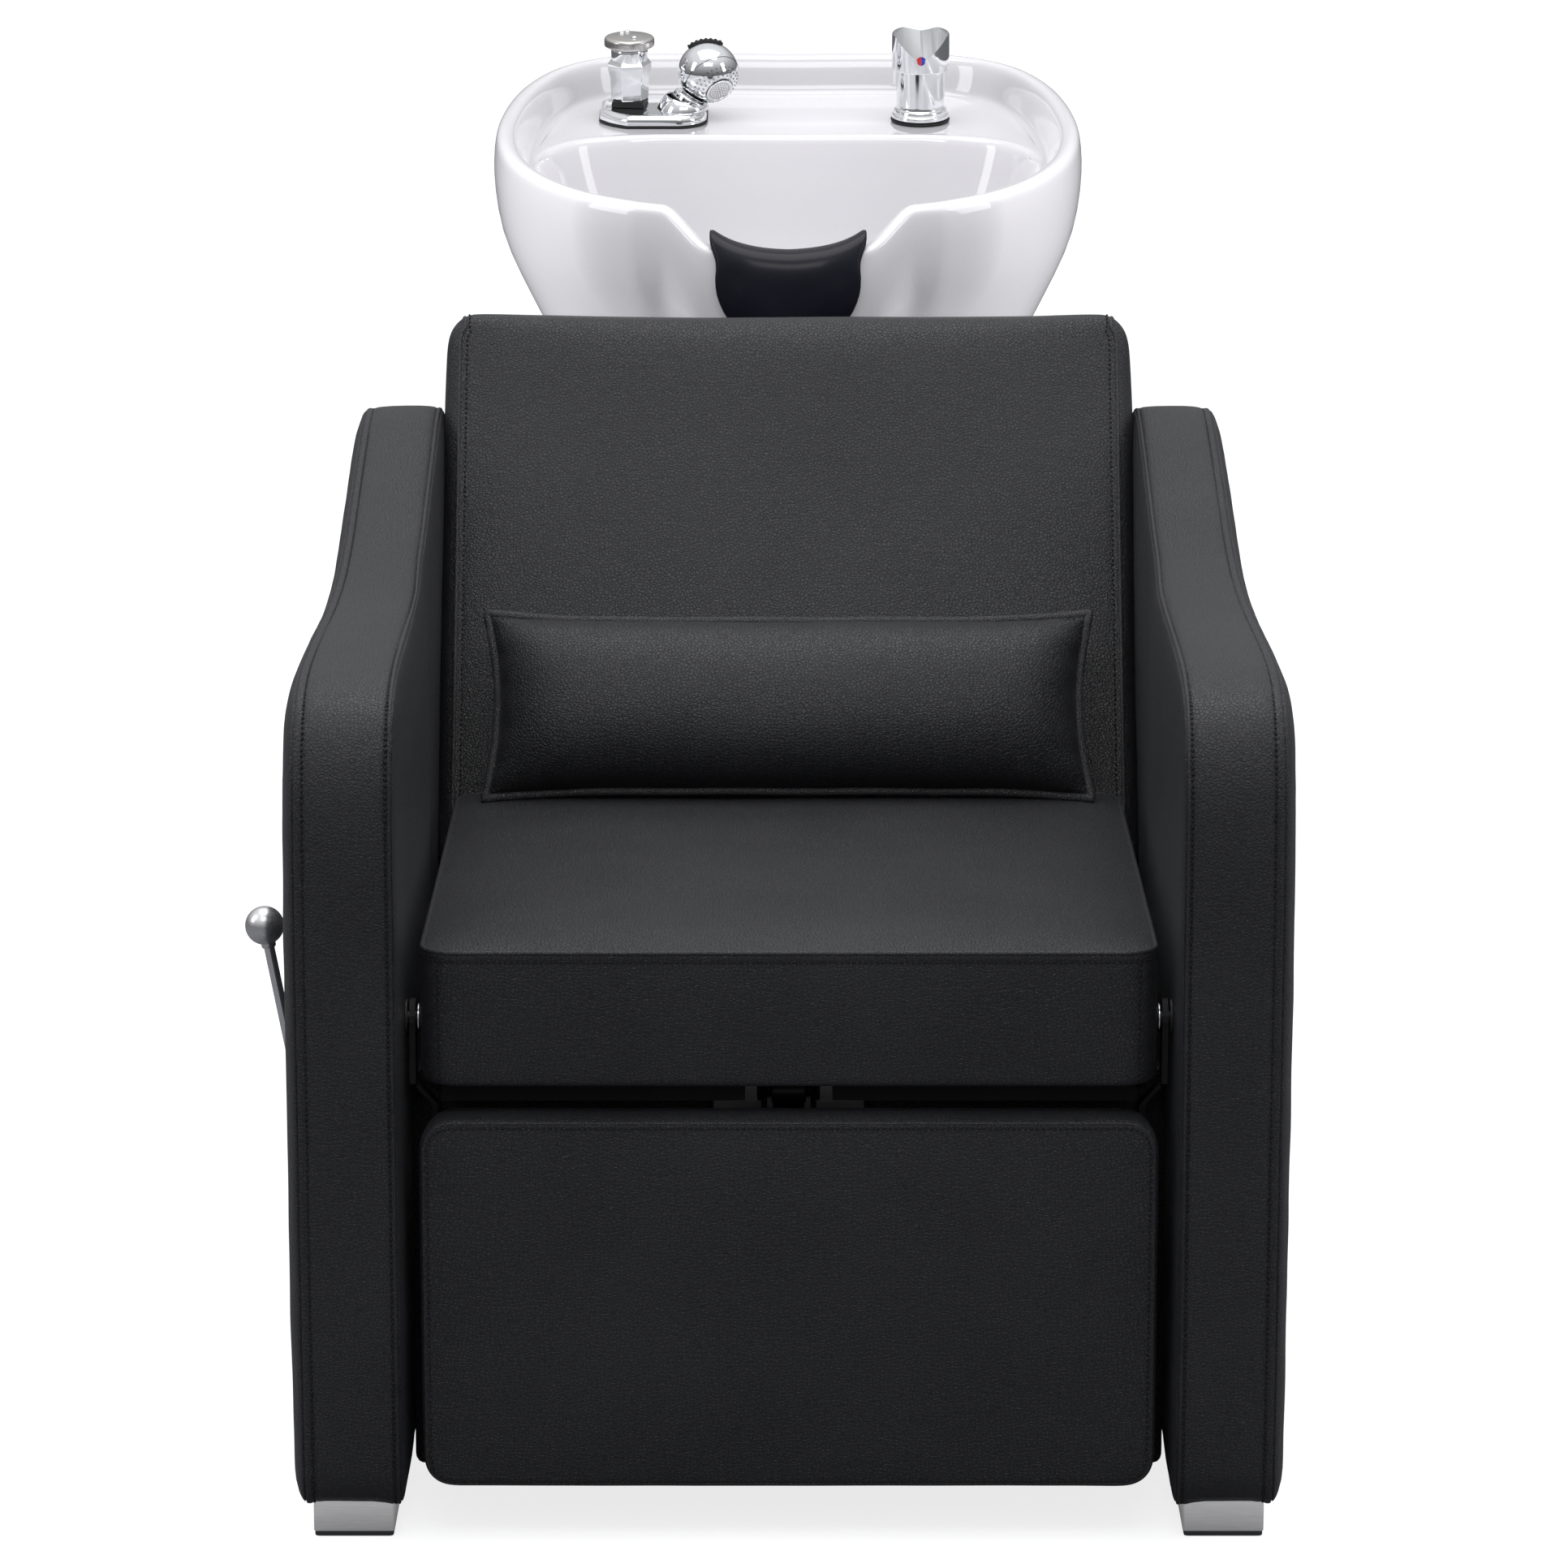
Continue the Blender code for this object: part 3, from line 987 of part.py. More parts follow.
# supply hoses from the mixer shank down into the pedestal
for tag, dx in (("hot", -0.0068), ("cold", 0.0068)):
    start = mixer_at + UP_DECK * -0.0425 + Vector((dx, 0, 0))
    path = [start, start + Vector((dx * 0.6, 0.000, -0.035)),
            start + Vector((dx * 1.4 - 0.012, -0.020, -0.10)),
            point(0.062 + dx * 2.2, 1.225, 0.600), point(0.058 + dx * 2.4, 1.215, 0.520)]
    add(f"supply_hose_{tag}", tube(path, 0.0050, 8), "basin", HOSE, mixer_at, 60)
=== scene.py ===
"""Shampoo backwash unit: an upholstered chair whose backrest leans to a ceramic basin on a pedestal.

World frame: metres, +Z up. The chair faces -Y and its left side is at +X. Places are given as
(x, depth, z), where depth is measured backwards (+Y) from the front face of the arms.
"""
import json
import math

import bmesh
import bpy
import numpy as np
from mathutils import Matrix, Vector, noise

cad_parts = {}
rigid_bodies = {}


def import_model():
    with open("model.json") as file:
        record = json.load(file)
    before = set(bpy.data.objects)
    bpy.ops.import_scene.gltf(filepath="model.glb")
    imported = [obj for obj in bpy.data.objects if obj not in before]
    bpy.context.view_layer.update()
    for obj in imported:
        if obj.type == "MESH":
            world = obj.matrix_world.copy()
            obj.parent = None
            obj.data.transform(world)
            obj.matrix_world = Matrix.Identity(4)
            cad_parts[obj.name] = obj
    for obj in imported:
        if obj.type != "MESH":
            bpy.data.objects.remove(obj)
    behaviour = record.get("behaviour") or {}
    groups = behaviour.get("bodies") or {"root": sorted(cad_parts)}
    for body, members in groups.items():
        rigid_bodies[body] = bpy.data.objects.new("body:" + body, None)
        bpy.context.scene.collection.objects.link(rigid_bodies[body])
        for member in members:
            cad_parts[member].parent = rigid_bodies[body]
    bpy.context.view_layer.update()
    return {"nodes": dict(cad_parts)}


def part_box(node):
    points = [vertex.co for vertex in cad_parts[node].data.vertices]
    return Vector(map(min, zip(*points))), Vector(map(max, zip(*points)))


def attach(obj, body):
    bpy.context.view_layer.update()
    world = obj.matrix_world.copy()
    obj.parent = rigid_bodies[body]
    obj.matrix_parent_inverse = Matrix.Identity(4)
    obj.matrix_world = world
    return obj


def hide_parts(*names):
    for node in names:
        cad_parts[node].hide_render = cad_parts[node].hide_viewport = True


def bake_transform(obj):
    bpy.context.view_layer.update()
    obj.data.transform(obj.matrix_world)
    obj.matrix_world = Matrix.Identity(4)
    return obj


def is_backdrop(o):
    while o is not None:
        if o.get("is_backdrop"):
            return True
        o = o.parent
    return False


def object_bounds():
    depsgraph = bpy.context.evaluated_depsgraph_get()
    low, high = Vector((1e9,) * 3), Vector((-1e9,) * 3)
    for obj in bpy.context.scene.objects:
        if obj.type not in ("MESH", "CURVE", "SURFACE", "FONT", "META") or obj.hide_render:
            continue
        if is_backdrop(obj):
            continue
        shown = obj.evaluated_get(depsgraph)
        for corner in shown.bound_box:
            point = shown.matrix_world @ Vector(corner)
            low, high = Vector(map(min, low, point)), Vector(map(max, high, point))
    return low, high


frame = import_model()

NODES = frame["nodes"]
SIDES = ((1, "left"), (-1, "right"))

# ------------------------------------------------------------------ driving dimensions
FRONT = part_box("arm_padding_left")[0].y + 0.0013    # world y of depth 0
ARM_IN, ARM_OUT, ARM_IN_REAR = 0.264, 0.341, 0.2677
FOOTREST_PIVOT = (0.065, 0.362)                     # pairs like this are (depth, z)
RECLINE = math.radians(29.7)
BACK_TOP, BACK_W, BACK_H, BACK_T = (0.750, 0.750), 0.2662, 0.470, 0.082
SEAT_W, SEAT_FRONT, SEAT_REAR = 0.2515, 0.020, 0.507
SEAT_Z_BOTTOM, SEAT_Z_FRONT, SEAT_Z_REAR = 0.3240, 0.423, 0.412
BASIN_MID, RIM_REF, RIM_Z, RIM_SLOPE, DECK_DROP = 1.160, 0.93, 0.810, 0.133, 0.032
DRAIN = (0.0, 1.120)                                # on the basin, pairs are (x, depth)
MIXER, BREAKER, SOCKET = (0.1142, 1.308), (-0.1366, 1.322), (-0.0930, 1.312)
LEVER = (0.200, 0.275)
GAS_LOW, GAS_HIGH = (0.300, 0.130), (0.100, 0.300)
PLATE_H = 0.0105
GASKET_GAP = 0.0003


def at(x, depth, z):
    return Vector((x, FRONT + depth, z))


def rim_z(depth):
    return RIM_Z + RIM_SLOPE * (depth - RIM_REF)


def on_deck(x, depth):
    return at(x, depth, rim_z(depth) - DECK_DROP)


def smoothstep(t):
    t = max(0.0, min(1.0, t))
    return t * t * (3 - 2 * t)


UP = Vector((0, 0, 1))
deck_up = Vector((0, -RIM_SLOPE, 1)).normalized()
spray_lean = math.radians(31)
spray_dir = Vector((math.sin(spray_lean), -0.06, math.cos(spray_lean))).normalized()
back_up = Vector((0, math.sin(RECLINE), math.cos(RECLINE)))
back_out = Vector((0, -math.cos(RECLINE), math.sin(RECLINE)))
back_top = at(0, *BACK_TOP)


# ------------------------------------------------------------------ materials
def fill_ramp(node, stops):
    """Sets a colour ramp from (position, grey or colour) stops."""
    elements = node.color_ramp.elements
    while len(elements) < len(stops):
        elements.new(0.5)
    for element, (position, colour) in zip(elements, stops):
        element.position = position
        element.color = (*colour, 1) if hasattr(colour, "__len__") else (colour,) * 3 + (1,)


def shade(colour, factor, lift=0.0):
    return tuple(c * factor + lift for c in colour)


class Look:
    """A Principled material with procedural layers. Any input takes a value or a node output."""

    def __init__(self, name, colour, rough, metal=0.0, spec=0.5):
        self.material = bpy.data.materials.new(name)
        self.material.use_nodes = True
        self.tree = self.material.node_tree
        self.shader = self.tree.nodes["Principled BSDF"]
        self.set(Base_Color=(*colour, 1), Roughness=rough, Metallic=metal, Specular_IOR_Level=spec)
        self.material.diffuse_color = (*colour, 1)
        self.space = self.node("TexCoord").outputs["Object"]

    def feed(self, socket, value):
        if hasattr(value, "is_output"):
            self.tree.links.new(value, socket)
        else:
            socket.default_value = value

    def node(self, kind, **inputs):
        node = self.tree.nodes.new("ShaderNode" + kind)
        for name, value in inputs.items():
            self.feed(node.inputs[name.replace("_", " ")], value)
        return node

    def set(self, **inputs):
        for name, value in inputs.items():
            self.feed(self.shader.inputs[name.replace("_", " ")], value)

    def scaled(self, scale):
        return self.node("Mapping", Vector=self.space, Scale=scale).outputs["Vector"]

    def axes(self, vector):
        return self.node("SeparateXYZ", Vector=vector).outputs

    def noise(self, scale, detail=3, vector=None, roughness=0.5):
        return self.node("TexNoise", Vector=vector or self.space, Scale=scale, Detail=detail,
                         Roughness=roughness).outputs["Fac"]

    def voronoi(self, scale, feature="F1"):
        node = self.node("TexVoronoi", Vector=self.space, Scale=scale)
        node.feature = feature
        return node.outputs["Distance"]

    def wave(self, scale, distortion, direction):
        node = self.node("TexWave", Vector=self.space, Scale=scale, Distortion=distortion)
        node.bands_direction = direction
        return node.outputs["Fac"]

    def ramp(self, factor, *stops):
        node = self.node("ValToRGB", Fac=factor)
        fill_ramp(node, stops)
        return node.outputs["Color"]

    def math(self, operation, *values):
        node = self.node("Math")
        node.operation = operation
        for socket, value in zip(node.inputs, values):
            self.feed(socket, value)
        return node.outputs[0]

    def times(self, first, second):
        return self.math("MULTIPLY", first, second)

    def weighted(self, first, first_weight, second, second_weight):
        """first * first_weight + second * second_weight"""
        return self.math("ADD", self.times(first, first_weight), self.times(second, second_weight))

    def span(self, factor, low, high):
        """Maps 0..1 to low..high."""
        return self.math("ADD", self.times(factor, high - low), low)

    def clamp(self, value):
        return self.math("MINIMUM", self.math("MAXIMUM", value, 0.0), 1.0)

    def bump(self, height, distance, strength=1.0, under=None):
        node = self.node("Bump", Strength=strength, Distance=distance, Height=height)
        if under is not None:
            self.feed(node.inputs["Normal"], under)
        return node.outputs["Normal"]


def leather(name, dark, light, grain, spec, rough):
    look = Look(name, dark, 0.42, spec=spec)
    cells = look.ramp(look.voronoi(grain * 0.62, "DISTANCE_TO_EDGE"),
                      (0.0, 0.0), (0.10, 0.72), (0.34, 1.0))
    fine = look.noise(scale=1500, detail=0)
    mottle = look.noise(scale=11, detail=1)
    grain_bump = look.bump(look.weighted(cells, 0.80, fine, 0.45), distance=0.00042)
    colour = look.ramp(look.weighted(cells, 0.55, mottle, 0.5),
                       (0.12, shade(dark, 0.62)), (0.55, dark), (0.95, light))
    look.set(Base_Color=colour, Roughness=look.span(look.weighted(mottle, 0.7, fine, 0.3), *rough),
             Normal=grain_bump, Sheen_Weight=0.05, Sheen_Roughness=0.4,
             Sheen_Tint=(0.75, 0.78, 0.86, 1))
    return look.material


def thread(name, colour):
    look = Look(name, colour, 0.55)
    twist = look.wave(scale=1400.0, distortion=2.0, direction="DIAGONAL")
    look.set(Normal=look.bump(twist, distance=0.0002, strength=0.6),
             Roughness=look.span(look.noise(scale=300), 0.45, 0.65),
             Base_Color=look.ramp(look.noise(scale=90), (0.3, colour), (0.8, shade(colour, 1.5))))
    return look.material


def ceramic(name):
    look = Look(name, (0.80, 0.79, 0.82), 0.07)
    cloud = look.noise(scale=5)
    speck = look.ramp(look.noise(scale=260), (0.72, 1.0), (0.78, 0.0))
    tone = look.times(look.math("ADD", cloud, 0.2), speck)
    look.set(Base_Color=look.ramp(tone, (0.15, (0.40, 0.39, 0.415)), (0.6, (0.44, 0.432, 0.455)),
                                  (0.9, (0.455, 0.45, 0.465))),
             Roughness=look.span(look.noise(scale=60, detail=4), 0.045, 0.10),
             Normal=look.bump(look.noise(scale=16, detail=2), distance=0.0006, strength=0.10),
             Coat_Weight=1.0, Coat_Roughness=0.03)
    # Painted light: an emitted glow stands in for studio light on the glaze, strongest on the outer
    # wall, dimmed by occlusion as painted shade in the bowl, and darkened by painted shade and a
    # painted reflection of the chair where the wall faces it.
    painted_shade_ao = look.node("AmbientOcclusion", Distance=0.24)
    painted_shade_ao.samples = 6
    place = look.axes(look.space)
    normal = look.axes(look.node("TexCoord").outputs["Normal"])
    outward = look.weighted(place[0], normal[0],
                            look.math("SUBTRACT", place[1], FRONT + BASIN_MID), normal[1])
    wall = look.clamp(look.times(outward, 7.0))
    faces_chair = look.clamp(look.times(look.math("SUBTRACT", -0.70, normal[1]), 5.0))
    painted_chair_shade = look.math("SUBTRACT", 1.0, look.times(look.times(faces_chair, wall), 0.42))
    painted_glow_level = look.times(look.span(wall, 0.46, 0.70), painted_chair_shade)
    look.set(Emission_Strength=look.times(look.math("POWER", painted_shade_ao.outputs["AO"], 1.35), painted_glow_level),
             Emission_Color=(0.97, 0.955, 1.0, 1))
    return look.material


def chrome(name, colour=(0.87, 0.88, 0.90)):
    look = Look(name, colour, 0.06, metal=1.0)
    smudge = look.noise(scale=42, detail=4)
    fine = look.noise(scale=900, detail=2)
    swell = look.bump(look.noise(scale=30, detail=2), distance=0.0002, strength=0.05)
    look.set(Roughness=look.span(look.ramp(smudge, (0.42, 0.0), (0.72, 1.0)), 0.035, 0.10),
             Normal=look.bump(fine, distance=0.00002, strength=0.25, under=swell),
             Base_Color=look.ramp(smudge, (0.2, shade(colour, 0.93)), (0.7, colour)))
    return look.material


def brushed(name, colour, rough, stretch, scale, depth=0.00003):
    look = Look(name, colour, rough, metal=1.0)
    lines = look.noise(scale, detail=5, vector=look.scaled(stretch), roughness=0.65)
    wear = look.noise(scale=26, detail=4)
    look.set(Base_Color=look.ramp(look.weighted(lines, 0.7, wear, 0.3),
                                  (0.25, shade(colour, 0.80)), (0.75, colour)),
             Roughness=look.span(lines, rough - 0.08, rough + 0.12),
             Normal=look.bump(lines, depth, strength=0.6))
    return look.material


def boot_metal(name):
    """Satin sheet metal with a painted glow for the pale floor's reflection: brighter towards the
    top edge.
    """
    look = Look(name, (0.80, 0.80, 0.80), 0.36, metal=1.0)
    lines = look.noise(scale=60.0, detail=5, vector=look.scaled((1, 1, 14)), roughness=0.65)
    painted_floor_glow = look.node("MapRange", Value=look.axes(look.space)[2], From_Min=0.002, From_Max=0.034,
                     To_Min=0.10, To_Max=0.30)
    look.set(Base_Color=look.ramp(lines, (0.25, (0.62, 0.62, 0.62)), (0.75, (0.80, 0.80, 0.81))),
             Roughness=look.span(lines, 0.28, 0.46),
             Normal=look.bump(lines, distance=0.00003, strength=0.6),
             Emission_Strength=painted_floor_glow.outputs[0], Emission_Color=(1, 1, 1, 1))
    return look.material


def powder(name, colour=(0.022, 0.022, 0.024), rough=0.42):
    look = Look(name, colour, rough)
    orange_peel = look.noise(scale=900, detail=2)
    dust = look.noise(scale=14, detail=5)
    worn = look.ramp(look.noise(scale=55, detail=6), (0.66, 0.0), (0.74, 1.0))
    look.set(Base_Color=look.ramp(dust, (0.3, colour), (0.8, shade(colour, 1.7, 0.004))),
             Roughness=look.span(look.weighted(dust, 0.7, worn, 0.3), rough - 0.08, rough + 0.16),
             Normal=look.bump(orange_peel, distance=0.00012, strength=0.5))
    return look.material


def plastic(name, colour=(0.020, 0.020, 0.022), rough=0.38, grain=1500.0, depth=0.00006, spec=0.5):
    look = Look(name, colour, rough, spec=spec)
    spark = look.voronoi(grain)
    cloud = look.noise(scale=30, detail=4)
    look.set(Base_Color=look.ramp(cloud, (0.3, colour), (0.8, shade(colour, 1.35, 0.001))),
             Roughness=look.span(cloud, rough - 0.05, rough + 0.10),
             Normal=look.bump(spark, depth, strength=0.55))
    return look.material


def gel(name):
    look = Look(name, (0.012, 0.012, 0.022), 0.24, spec=0.22)
    cloud = look.noise(scale=24, detail=4)
    dimples = look.bump(look.noise(scale=60, detail=2), distance=0.0005, strength=0.12)
    look.set(Base_Color=look.ramp(cloud, (0.3, (0.0075, 0.0070, 0.0150)),
                                  (0.75, (0.0110, 0.0105, 0.0200))),
             Roughness=look.span(cloud, 0.20, 0.34),
             Normal=look.bump(look.noise(scale=700, detail=2), distance=0.00008, strength=0.35,
                              under=dimples),
             Coat_Weight=0.06, Coat_Roughness=0.15)
    return look.material


def wood(name):
    look = Look(name, (0.42, 0.28, 0.15), 0.62)
    fibre = look.noise(scale=60, detail=6, vector=look.scaled((6, 6, 1)), roughness=0.7)
    layers = look.wave(scale=95.0, distortion=1.5, direction="X")
    look.set(Base_Color=look.ramp(look.weighted(fibre, 0.7, layers, 0.5),
                                  (0.2, (0.23, 0.135, 0.062)), (0.55, (0.42, 0.28, 0.145)),
                                  (0.9, (0.56, 0.40, 0.23))),
             Roughness=look.span(fibre, 0.5, 0.75),
             Normal=look.bump(fibre, distance=0.0003, strength=0.4))
    return look.material


def laminate(name):
    look = Look(name, (0.020, 0.020, 0.022), 0.32)
    pores = look.noise(scale=110, detail=5, vector=look.scaled((9, 9, 0.6)), roughness=0.6)
    cloud = look.noise(scale=6, detail=4)
    look.set(Base_Color=look.ramp(look.weighted(pores, 0.6, cloud, 0.4),
                                  (0.3, (0.013, 0.013, 0.0145)), (0.75, (0.030, 0.030, 0.033))),
             Roughness=look.span(cloud, 0.26, 0.44),
             Normal=look.bump(pores, distance=0.00010, strength=0.35))
    return look.material


def braid(name, colour, around, along):
    """Woven sleeve: two crossing helical strands from the hose's UVs (turn, length in metres)."""
    look = Look(name, colour, 0.34, metal=0.85)
    turn, length, _ = look.axes(look.node("TexCoord").outputs["UV"])
    strands = []
    for sense in (1, -1):
        phase = look.weighted(turn, sense * around * 2 * math.pi, length, along * math.pi)
        strands.append(look.math("ABSOLUTE", look.math("SINE", phase)))
    top = look.math("MAXIMUM", *strands)
    look.set(Base_Color=look.ramp(top, (0.45, shade(colour, 0.22)), (0.85, colour)),
             Roughness=look.span(look.noise(scale=300, detail=2), 0.26, 0.45),
             Normal=look.bump(top, distance=0.0005, strength=0.8))
    return look.material


def two_tone_dot(name):
    """Red on the -X half and blue on the +X half, split close to the middle of the mixer."""
    look = Look(name, (0.5, 0.1, 0.2), 0.22)
    side = look.math("GREATER_THAN", look.axes(look.space)[0], MIXER[0] + 0.0002)
    tint = look.noise(scale=600, detail=2)
    mix = look.node("Mix")
    mix.data_type = "RGBA"
    look.feed(mix.inputs[0], side)
    mix.inputs[6].default_value = (0.72, 0.035, 0.045, 1)
    mix.inputs[7].default_value = (0.02, 0.045, 0.50, 1)
    look.set(Base_Color=mix.outputs[2], Roughness=look.span(tint, 0.18, 0.30), Coat_Weight=0.5)
    return look.material


LEATHER = leather("charcoal_leatherette", dark=(0.0175, 0.0178, 0.0200),
                  light=(0.0280, 0.0285, 0.0320), grain=640.0, spec=0.42, rough=(0.34, 0.45))
PIPING = leather("leatherette_piping", dark=(0.0190, 0.0193, 0.0220),
                 light=(0.031, 0.0316, 0.0355), grain=900.0, spec=0.5, rough=(0.32, 0.42))
THREAD = thread("black_thread", (0.0035, 0.0035, 0.0040))
CERAMIC = ceramic("white_glazed_ceramic")
CHROME = chrome("chrome")
SATIN = brushed("satin_foot_metal", (0.86, 0.86, 0.87), rough=0.36, stretch=(1, 1, 14), scale=60.0)
BOOT = boot_metal("satin_boot_metal")
BRUSHED = brushed("brushed_cap_metal", (0.66, 0.64, 0.62), rough=0.26, stretch=(2.0, 18, 2.0),
                  scale=150.0)
KNOB = brushed("knob_metal", (0.92, 0.92, 0.93), rough=0.26, stretch=(10, 10, 1.2), scale=120.0,
               depth=0.00002)
STEEL = powder("black_powder_coat")
# Matt black for the leg rest linkage and the gas cylinder; on the gas spring's satin steel pin it is
# painted shade that keeps the pin dark in the gap under the seat.
MATT_BLACK_AND_SHADE = powder("matt_black_linkage_and_pin_shade", (0.0055, 0.0055, 0.006), rough=0.62)
BOLT = brushed("zinc_hardware", (0.55, 0.55, 0.54), rough=0.30, stretch=(3, 3, 3), scale=200.0)
RUBBER = plastic("black_rubber", (0.013, 0.013, 0.014), rough=0.58, grain=1100.0, depth=0.00010,
                 spec=0.35)
PLASTIC = plastic("black_moulded_plastic")
GLIDE = plastic("dark_grey_glide", (0.045, 0.046, 0.048), rough=0.5, grain=1300.0)
GEL = gel("neck_gel")
PLY = wood("plywood")
PANEL = laminate("black_laminate")
HOSE = braid("braided_supply_hose", (0.62, 0.63, 0.65), around=9.0, along=300.0)
SPRAY_HOSE = braid("spray_hose_sleeve", (0.55, 0.56, 0.58), around=7.0, along=420.0)
WASTE_HOSE = plastic("waste_hose_plastic", (0.030, 0.030, 0.032), rough=0.42, grain=900.0)
NOZZLE = plastic("nozzle_dark", (0.012, 0.012, 0.013), rough=0.5, grain=2500.0)
# Near-black cloth on the plywood seat deck: painted shade for the dark gap between the seat and the
# leg rest.
DECK_SHADE_CLOTH = plastic("deck_cloth_painted_shade", (0.014, 0.014, 0.015), rough=0.85, grain=1900.0,
                     depth=0.00020, spec=0.2)
DOT = two_tone_dot("hot_cold_dot")


# ------------------------------------------------------------------ mesh helpers
LATER = "later"       # a body for pieces that are attached only once their mesh is finished


def new_object(name, data):
    item = bpy.data.objects.new(name, data)
    bpy.context.scene.collection.objects.link(item)
    return item


def shade_smooth(piece, angle):
    piece.data.shade_smooth()
    piece.data.set_sharp_from_angle(angle=math.radians(angle))


def split_ngons(work):
    bmesh.ops.triangulate(work, faces=[face for face in work.faces if len(face.verts) > 4])


def make(name, verts, faces, material, body=None, smooth=40.0, replaces=None, uvs=None, merge=0.0,
         triangles=False, slot=None):
    """One mesh piece. Without a body it is a loose part, to be joined or used as a cutter."""
    work = bmesh.new()
    corners = [work.verts.new(vert) for vert in verts]
    layer = work.loops.layers.uv.new("UVMap") if uvs is not None else None
    for indices in faces:
        try:
            face = work.faces.new([corners[i] for i in indices])
        except ValueError:      # a face that repeats an earlier one is left out
            continue
        if layer is not None:
            marks = [uvs[i] for i in indices]
            wraps = max(mark[0] for mark in marks) - min(mark[0] for mark in marks) > 0.5
            for loop, (u, v) in zip(face.loops, marks):
                loop[layer].uv = (u + (1.0 if wraps and u < 0.5 else 0.0), v)
    if merge:
        bmesh.ops.remove_doubles(work, verts=work.verts, dist=merge)
    if triangles:
        work.normal_update()
        split_ngons(work)
    bmesh.ops.recalc_face_normals(work, faces=work.faces)
    mesh = bpy.data.meshes.new(name)
    work.to_mesh(mesh)
    work.free()
    piece = new_object(name, mesh)
    mesh.materials.append(material)
    shade_smooth(piece, smooth)
    if body:
        if body != LATER:
            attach(piece, body)
    if replaces:
        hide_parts(replaces)
    return piece


def bake(piece):
    """Applies the piece's modifiers to its mesh."""
    bpy.context.view_layer.update()
    graph = bpy.context.evaluated_depsgraph_get()
    mesh = bpy.data.meshes.new_from_object(piece.evaluated_get(graph), depsgraph=graph)
    old = piece.data
    piece.modifiers.clear()
    piece.data = mesh
    bpy.data.meshes.remove(old)


def bevel(piece, width, segments=2, angle=32.0):
    modifier = piece.modifiers.new("soft_edges", "BEVEL")
    modifier.width = width
    modifier.segments = segments
    modifier.limit_method = "ANGLE"
    modifier.angle_limit = math.radians(angle)
    modifier.harden_normals = False
    return piece


def subdivide(piece):
    modifier = piece.modifiers.new("soft", "SUBSURF")
    modifier.levels = modifier.render_levels = 1


def joined(name, parts, body):
    """Several loose parts of one material made one piece."""
    work = bmesh.new()
    material = parts[0].data.materials[0]
    for part in parts:
        if part.modifiers:
            bake(part)
            shade_smooth(part, 40)
        work.from_mesh(part.data)
    for part in parts:
        bpy.data.objects.remove(part)
    mesh = bpy.data.meshes.new(name)
    work.to_mesh(mesh)
    work.free()
    mesh.materials.append(material)
    piece = new_object(name, mesh)
    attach(piece, body)


def catmull(points, steps, closed=False):
    """Catmull-Rom curve through the points, with a number of steps per span."""
    points = [Vector(point) for point in points]
    if closed:
        points = [points[-1]] + points + [points[0], points[1]]
    else:
        points = [points[0] * 2 - points[1]] + points + [points[-1] * 2 - points[-2]]
    curve = []
    for a, b, c, e in zip(points, points[1:], points[2:], points[3:]):
        for step in range(steps):
            t = step / steps
            curve.append(.5 * ((2 * b) + (c - a) * t + (2 * a - 5 * b + 4 * c - e) * t * t
                               + (3 * b - a - 3 * c + e) * t ** 3))
    if not closed:
        curve.append(points[-2])
    return curve


def arc_lengths(points):
    lengths = [0.0]
    for start, end in zip(points, points[1:]):
        lengths.append(lengths[-1] + (end - start).length)
    return lengths


def positions(lengths, distances):
    """Segment index, and share of that segment, for each of the rising distances."""
    index = 0
    for distance in distances:
        while index < len(lengths) - 2 and lengths[index + 1] < distance:
            index += 1
        yield index, (distance - lengths[index]) / max(lengths[index + 1] - lengths[index], 1e-12)


def resample(points, step, closed=False):
    """Points at an even spacing along a polyline."""
    points = [Vector(point) for point in points]
    if closed:
        points.append(points[0])
    lengths = arc_lengths(points)
    count = max(3, round(lengths[-1] / step))
    distances = [lengths[-1] * i / count for i in range(count if closed else count + 1)]
    return [points[j].lerp(points[j + 1], min(1.0, t)) for j, t in positions(lengths, distances)]


def loop_normals(loop, passes):
    """Unit normals to the left of travel round a closed 2-D loop, smoothed in passes."""
    count = len(loop)
    normals = []
    for i in range(count):
        along = (loop[(i + 1) % count] - loop[i - 1]).normalized()
        normals.append(Vector((-along.y, along.x)))
    for _ in range(passes):
        normals = [(normals[i - 1] + normals[i] * 2 + normals[(i + 1) % count]).normalized()
                   for i in range(count)]
    return normals


def corner(x, y, radius, start, steps):
    """Quarter circle about (x, y) from the start angle in degrees."""
    turns = [math.radians(start + 90 * k / steps) for k in range(steps + 1)]
    return [(x + radius * math.cos(turn), y + radius * math.sin(turn)) for turn in turns]


def circle(centre, across, up, radius, sides, spin=0.0):
    turns = [spin + 2 * math.pi * k / sides for k in range(sides)]
    return [centre + (across * math.cos(turn) + up * math.sin(turn)) * radius for turn in turns]


def border(columns, rows, inset=0):
    """(i, j) pairs once round a grid, a number of cells in from its edge."""
    right, top = columns - inset, rows - inset
    return ([(i, inset) for i in range(inset, right)] + [(right, j) for j in range(inset, top)]
            + [(i, top) for i in range(right, inset, -1)]
            + [(inset, j) for j in range(top, inset, -1)])


def loft(rings, close=False, caps=True):
    """Vertices and faces between closed rings with the same count."""
    sides, count = len(rings[0]), len(rings)
    verts = [point for ring in rings for point in ring]
    faces = []
    for j in range(count if close else count - 1):
        low, high = j * sides, ((j + 1) % count) * sides
        for i in range(sides):
            k = (i + 1) % sides
            faces.append((low + i, low + k, high + k, high + i))
    if caps and not close:
        faces.append(tuple(range(sides))[::-1])
        faces.append(tuple(range((count - 1) * sides, count * sides)))
    return verts, faces


